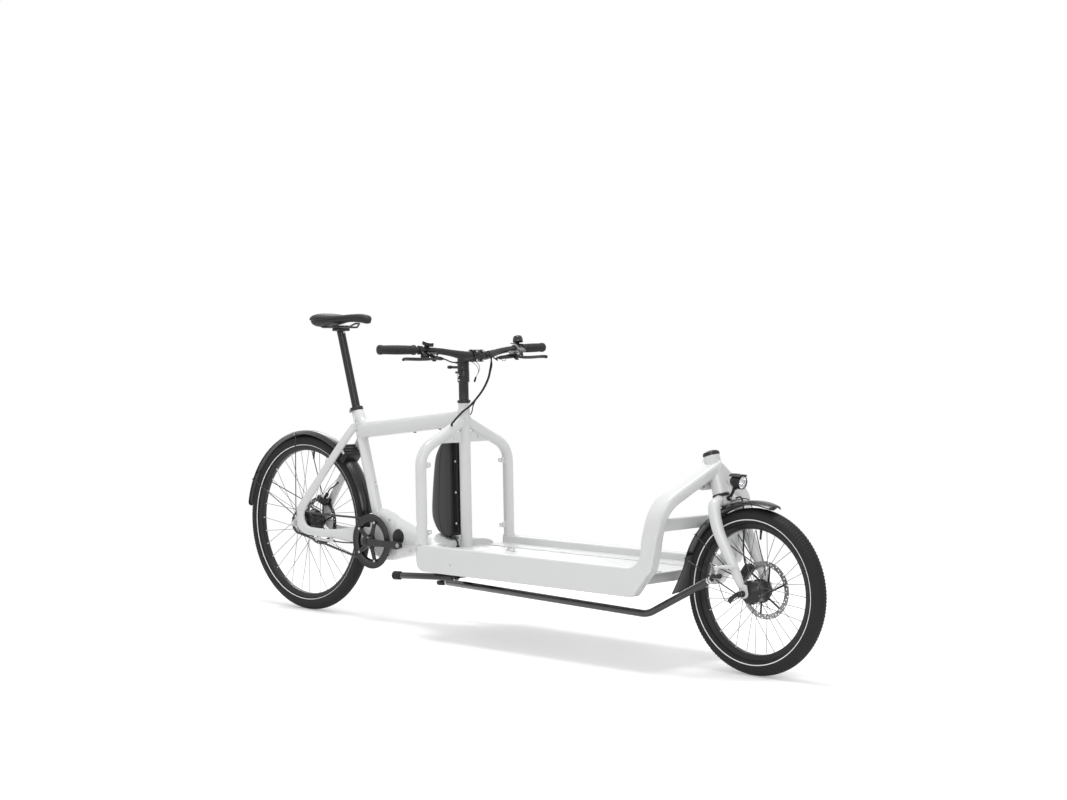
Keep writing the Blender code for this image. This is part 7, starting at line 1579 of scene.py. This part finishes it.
SADDLE_REAR, NOSE, SEAM_ANGLE = 0.06, 0.281, 0.16
saddle_stations = mm([(0, 36, 1097, 1083), (10, 58, 1107, 1066), (35, 69, 1112, 1061), (70, 70, 1110, 1066),
                      (110, 58, 1107, 1074), (150, 41, 1107, 1079), (195, 29, 1110, 1080), (235, 23, 1110, 1078),
                      (266, 19, 1105, 1074), (281, 10, 1097.5, 1077)])
along, half, high, low = through(saddle_stations, 14).T[..., None]
turn = 2 * pi * (arange(96) + 0.5) / 96
gone, about = meshgrid(along[:, 0], turn, indexing="ij")
c, s = cos(about), sin(about)
middle = low + (high - low) * 0.5
close = 0.35 + 0.65 * quarter_round(gone + 0.0004, 0.01) * quarter_round(NOSE + 0.0004 - gone, 0.012)
y = raised(c, 0.72) * half * close * where(s > 0, 1.0, 0.88)
rise = where(s > 0, high - middle, middle - low) * raised(s, 0.8) * close
share = gone / NOSE
channel = 0.0042 * bell(y, 0.0095) * (s > 0) * ramp(share, 0.12, 0.2) * ramp(0.8 - share, 0, 0.2)
y = y - np.sign(c) * 0.0009 * (bell(about - SEAM_ANGLE, 0.03) + bell(about - pi + SEAM_ANGLE, 0.03))
edge = stack([SADDLE_REAR + gone, y, middle + rise], -1)
SADDLE_COVER = finish("saddle_cover", "saddle_cover", 0.025, 0.55, 60, 1.2, 0.1, 0.1, shine=0.3)
cushion = add_piece("stitched_saddle_cover", "seat", {SADDLE_COVER: [skin(edge - channel[..., None] * Z)]}, ["saddle"],
                    sharp=60)
seam_paths = []
for side, angle in ((-1, pi - SEAM_ANGLE), (1, SEAM_ANGLE)):
    row = np.argmin(abs(turn - angle))
    seam_paths.append(swept(edge[8:-6, row] + side * 0.0002 * Y, 0.0007, sides=8))
add_piece("saddle_seam", "seat", {PLASTIC: seam_paths}, slot="saddle_cover")


# Seatpost and its collar
# A black aluminium post with a two-bolt cradle that grips the saddle's rails, and
# a clamp collar round the top of the seat tube, closed by one bolt.

RAIL_Z, RAIL_TOP, RAIL_TAIL = 1.0605, 1.0745, 1.069
post_head = seat_at(1.05)
post_line = [SEAT_TOP - SEAT_AXIS * 0.13, SEAT_TOP - SEAT_AXIS * 0.129, post_head - SEAT_AXIS * 0.02,
             post_head - SEAT_AXIS * 0.006, post_head]
post = swept(post_line, mm([14, 15.1, 15.1, 15.6, 15]), sides=48)
hold = array([post_head[0] + 0.002, 0, RAIL_Z])
cradle = [block([40, 56, 11], hold - 0.0085 * Z, corner=4), block([36, 58, 8], hold + 0.003 * Z, corner=3)]
cradle_bolts = [swept(hold + mm([(dx, 0, -22), (dx, 0, 8)]), 0.0026, sides=16, ends=0.0006) for dx in (-16, 16)]
cradle_bolts += [hex_nut(hold + mm([dx, 0, -18]), Z, 5, 4, 2.6) for dx in (-16, 16)]
SADDLE_RAIL = finish("saddle_rail", None, 0.1, 0.3, 10, 0.6, 0, 0.06, 0.8)
rail_lines = [bent([(0.081, side * 0.0198, RAIL_TAIL), (0.104, side * 0.022, RAIL_Z), (0.246, side * 0.022, RAIL_Z),
                    (0.272, side * 0.01, RAIL_TOP)], 0.014, 8) for side in (-1, 1)]
rail_lines += [[(x, -half, z), (x, half, z)] for x, half, z in ((0.272, 0.011, RAIL_TOP), (0.081, 0.022, RAIL_TAIL))]
rails = [swept(line, 0.0035, sides=16, ends=0.001) for line in rail_lines]
add_piece("post_and_saddle_rails", "seat", {BLACK: [post, *cradle], SADDLE_RAIL: rails, STEEL: cradle_bolts},
          ["seatpost"])
collar = lathe([(20.6, -10), (23.8, -10), (24.4, -9.3), (24.4, 2), (23.8, 2.8), (17, 2.8), (16.4, 2), (16.4, 0.8),
                (20.6, 0.8)],
               SEAT_TOP, SEAT_AXIS, 56)
ear_at = SEAT_TOP - SEAT_AXIS * 0.0035 - seat_ahead * 0.0285
ears = [block([12, 6.2, 11.5], ear_at + s * 0.0052 * Y, stack([-seat_ahead, Y, SEAT_AXIS], -1)) for s in (-1, 1)]
collar_bolt = [swept([ear_at - 0.01 * Y, ear_at + 0.01 * Y], 0.0026, sides=16), screw(ear_at - 0.0082 * Y, -Y, 4, 3.4)]
add_piece("seat_clamp_collar", "frame", {BLACK: [collar, *ears], STEEL: collar_bolt}, ["seat_collar"])


# Battery, its rail and its lead
# A moulded dark grey pack that slides onto a black rail screwed to the head tube,
# with a split line round its shell and a rubber lead from its foot into the bed.

PACK_LOW, PACK_HIGH, PACK_HALF, PACK_ROUND = 0.336, 0.664, 0.043, 0.01


def pack_front(z):
    return column_at(z)[0] - TUBE - 0.0209


back_curve = through(vstack([mm([(752, 338), (722, 349), (700, 372), (686, 402), (685, 450), (693, 534), (704, 602),
                                 (722, 636), (745, 658)]), [(pack_front(PACK_HIGH), PACK_HIGH)]]))
back_curve = back_curve[np.argsort(back_curve[:, 1])]
end_turn = sin(linspace(0, 1, 9) * pi / 2)
pack_z = concatenate([PACK_LOW + PACK_ROUND * end_turn[:-1] ** 2,
                      linspace(PACK_LOW + PACK_ROUND, PACK_HIGH - PACK_ROUND, 60),
                      PACK_HIGH - PACK_ROUND + PACK_ROUND * end_turn[1:]])
height, about = meshgrid(pack_z, turn, indexing="ij")
front_x = pack_front(PACK_LOW) + (height - PACK_LOW) * COLUMN_AXIS[0] / COLUMN_AXIS[2]
rear_x = interp(height, back_curve[:, 1], back_curve[:, 0])
shrink = 1 - 0.1 * (1 - quarter_round(minimum(height - PACK_LOW, PACK_HIGH - height), PACK_ROUND))
waist = front_x - (front_x - rear_x) * 0.42
c, s = cos(about), sin(about)
ahead = where(c > 0, front_x - waist, waist - rear_x) * raised(c, where(c > 0, 0.35, 0.8)) * shrink
beside = PACK_HALF * raised(s, where(c > 0, 0.35, 0.86)) * shrink
pack = stack([waist + ahead, beside, height], -1)
split = [swept(pack[6:-6, k] * [1, 1.004, 1], 0.0007, sides=6) for k in (24, 71)]
latch = block([20, 28, 6], (0.756, 0, PACK_HIGH - 0.002), corner=2.4)
add_piece("moulded_battery", "frame", {BATTERY_SHELL: [skin(pack)], PLASTIC: [*split, latch]}, ["battery"])
rail_low, rail_high = PACK_LOW + 0.01, PACK_HIGH - 0.004
rail_points = [(pack_front(rail_low) + 0.0003, rail_low), (pack_front(rail_high) + 0.0003, rail_high),
               (column_at(rail_high)[0] - TUBE - 0.0015, rail_high), (column_at(rail_low)[0] - TUBE - 0.0015, rail_low)]
lips = [block([4, 3, (rail_high - rail_low) * 1000],
              (column_at(0.5)[0] - TUBE - 0.015, s * 0.018, (rail_low + rail_high) / 2),
              turned_about(Y, -1.5), 1.2) for s in (-1, 1)]
rail_screws = []
for z in (0.38, 0.488, 0.596):
    x = column_at(z)[0] - TUBE - 0.0083
    lips.append(swept([(x, -0.02, z), (x, 0.02, z)], 0.0064, sides=32, ends=0.001))
    rail_screws += [screw((x, s * 0.0196, z), s * Y, 4.2, 2.6) for s in (-1, 1)]
add_piece("battery_slide_rail", "frame",
          {PLASTIC: [soft_plate(rail_points, -0.017, 0.017, 0.0014), *lips], STEEL: rail_screws}, ["battery_rail"])
lead = through(mm([(778, -18, 335.8), (778, -18, 332.8), (784, -23, 329.8), (802, -35, 329.2), (830, -47, 329.2),
                   (846, -52.5, 323.2), (850, -53, 312.3), (850, -53, 300.3)]))
lead_ends = [lathe([(0, 0), (6.8, 0), (7, 4), (5, 8), (3.4, 10), (0, 10)], mm([850, -53, 300.3]), Z, 28),
             lathe([(0, 0), (6.4, 0), (6, 3), (4, 5.2), (0, 5.2)], (0.778, -0.018, PACK_LOW), -Z, 28)]
add_piece("battery_lead_and_grommets", "frame", {RUBBER: [swept(lead, 0.0032, sides=16), *lead_ends]}, ["battery_lead"])


# Centre stand
# A black steel bracket under the floor carries a cross tube with two legs, folded
# back. Each leg ends in a thick rubber foot, and a spring holds the stand up.

STAND = array([0.93, 0.0, 0.216])
BRACKET_TOP = 0.2557
rise = (BRACKET_TOP - 0.002 - STAND[2]) * 1000
cheek = vstack([arc((0, 0), 0.0135, 200, 345, 14), mm([(45, rise), (-20, rise)])])
stand_parts = [block([130, 286, 4], (STAND[0] + 0.04, 0, BRACKET_TOP - 0.002), corner=1.2)]
stand_parts += [plate(cheek, 0.005, STAND + side * 0.138 * Y, [ring_of(0.009, 28)]) for side in (-1, 1)]
stand_bolts = [screw((STAND[0] + 0.04 + dx, y, BRACKET_TOP - 0.004), -Z, 5, 3.6) for dx in (-0.045, 0.045)
               for y in (-0.11, 0.11)]
add_piece("folded_stand_bracket", "frame", {BLACK_PAINT: stand_parts, STEEL: stand_bolts}, ["stand_bracket"])
leg_parts, feet = [swept([STAND - 0.165 * Y, STAND + 0.165 * Y], 0.008, sides=32)], []
for side in (-1, 1):
    top = STAND + side * 0.165 * Y
    way = unit([-cos(radians(3.5)), side * 0.03, -sin(radians(3.5))])
    leg_parts.append(swept([top - way * 0.01, top + way * 0.268], 0.0115, sides=36, ends=0.004))
    feet.append(lathe([(0, 32), (10.5, 32), (12.8, 30.8), (14.8, 28.5), (15, 26.5), (14.3, 25), (15, 23.5), (14.3, 22),
                       (15, 20.5), (14.3, 19), (15, 17.5), (15, 1), (14.3, 0), (12, -4),
                       (0, -4)], top + way * 0.244, way, 44))
spring_turn = linspace(0, 2 * pi * 14, 14 * 12)
spring_from, spring_to = mm([(915, 110, 224), (988, 110, 244.5)])
coil = spring_from + (spring_to - spring_from) * linspace(0, 1, len(spring_turn))[:, None]
coil = coil + 0.0042 * rays_round(spring_to - spring_from, spring_turn)
add_piece("stand_spring", "frame", {STEEL: [swept(coil, 0.0009, sides=6)]})
add_piece("folding_stand_legs", "stand", {BLACK_PAINT: leg_parts, RUBBER: feet}, ["stand_legs"])


SLOT_FINISH = {
    "frame_paint": PAINT, "black_paint": BLACK_PAINT, "black_anodised": BLACK,
    "bare_steel": STEEL, "black_plastic": PLASTIC, "gloss_black_plastic": FENDER_GLOSS,
    "grey_plastic": BATTERY_SHELL, "tyre_rubber": RUBBER, "grip_rubber": RUBBER, "hose_rubber": RUBBER,
    "saddle_cover": RUBBER,
}
for part in frame["record"]["subparts"]:
    node = frame["nodes"][part["node"]]
    node.data.materials.clear()
    node.data.materials.append(SLOT_FINISH[part["material_slot"]])
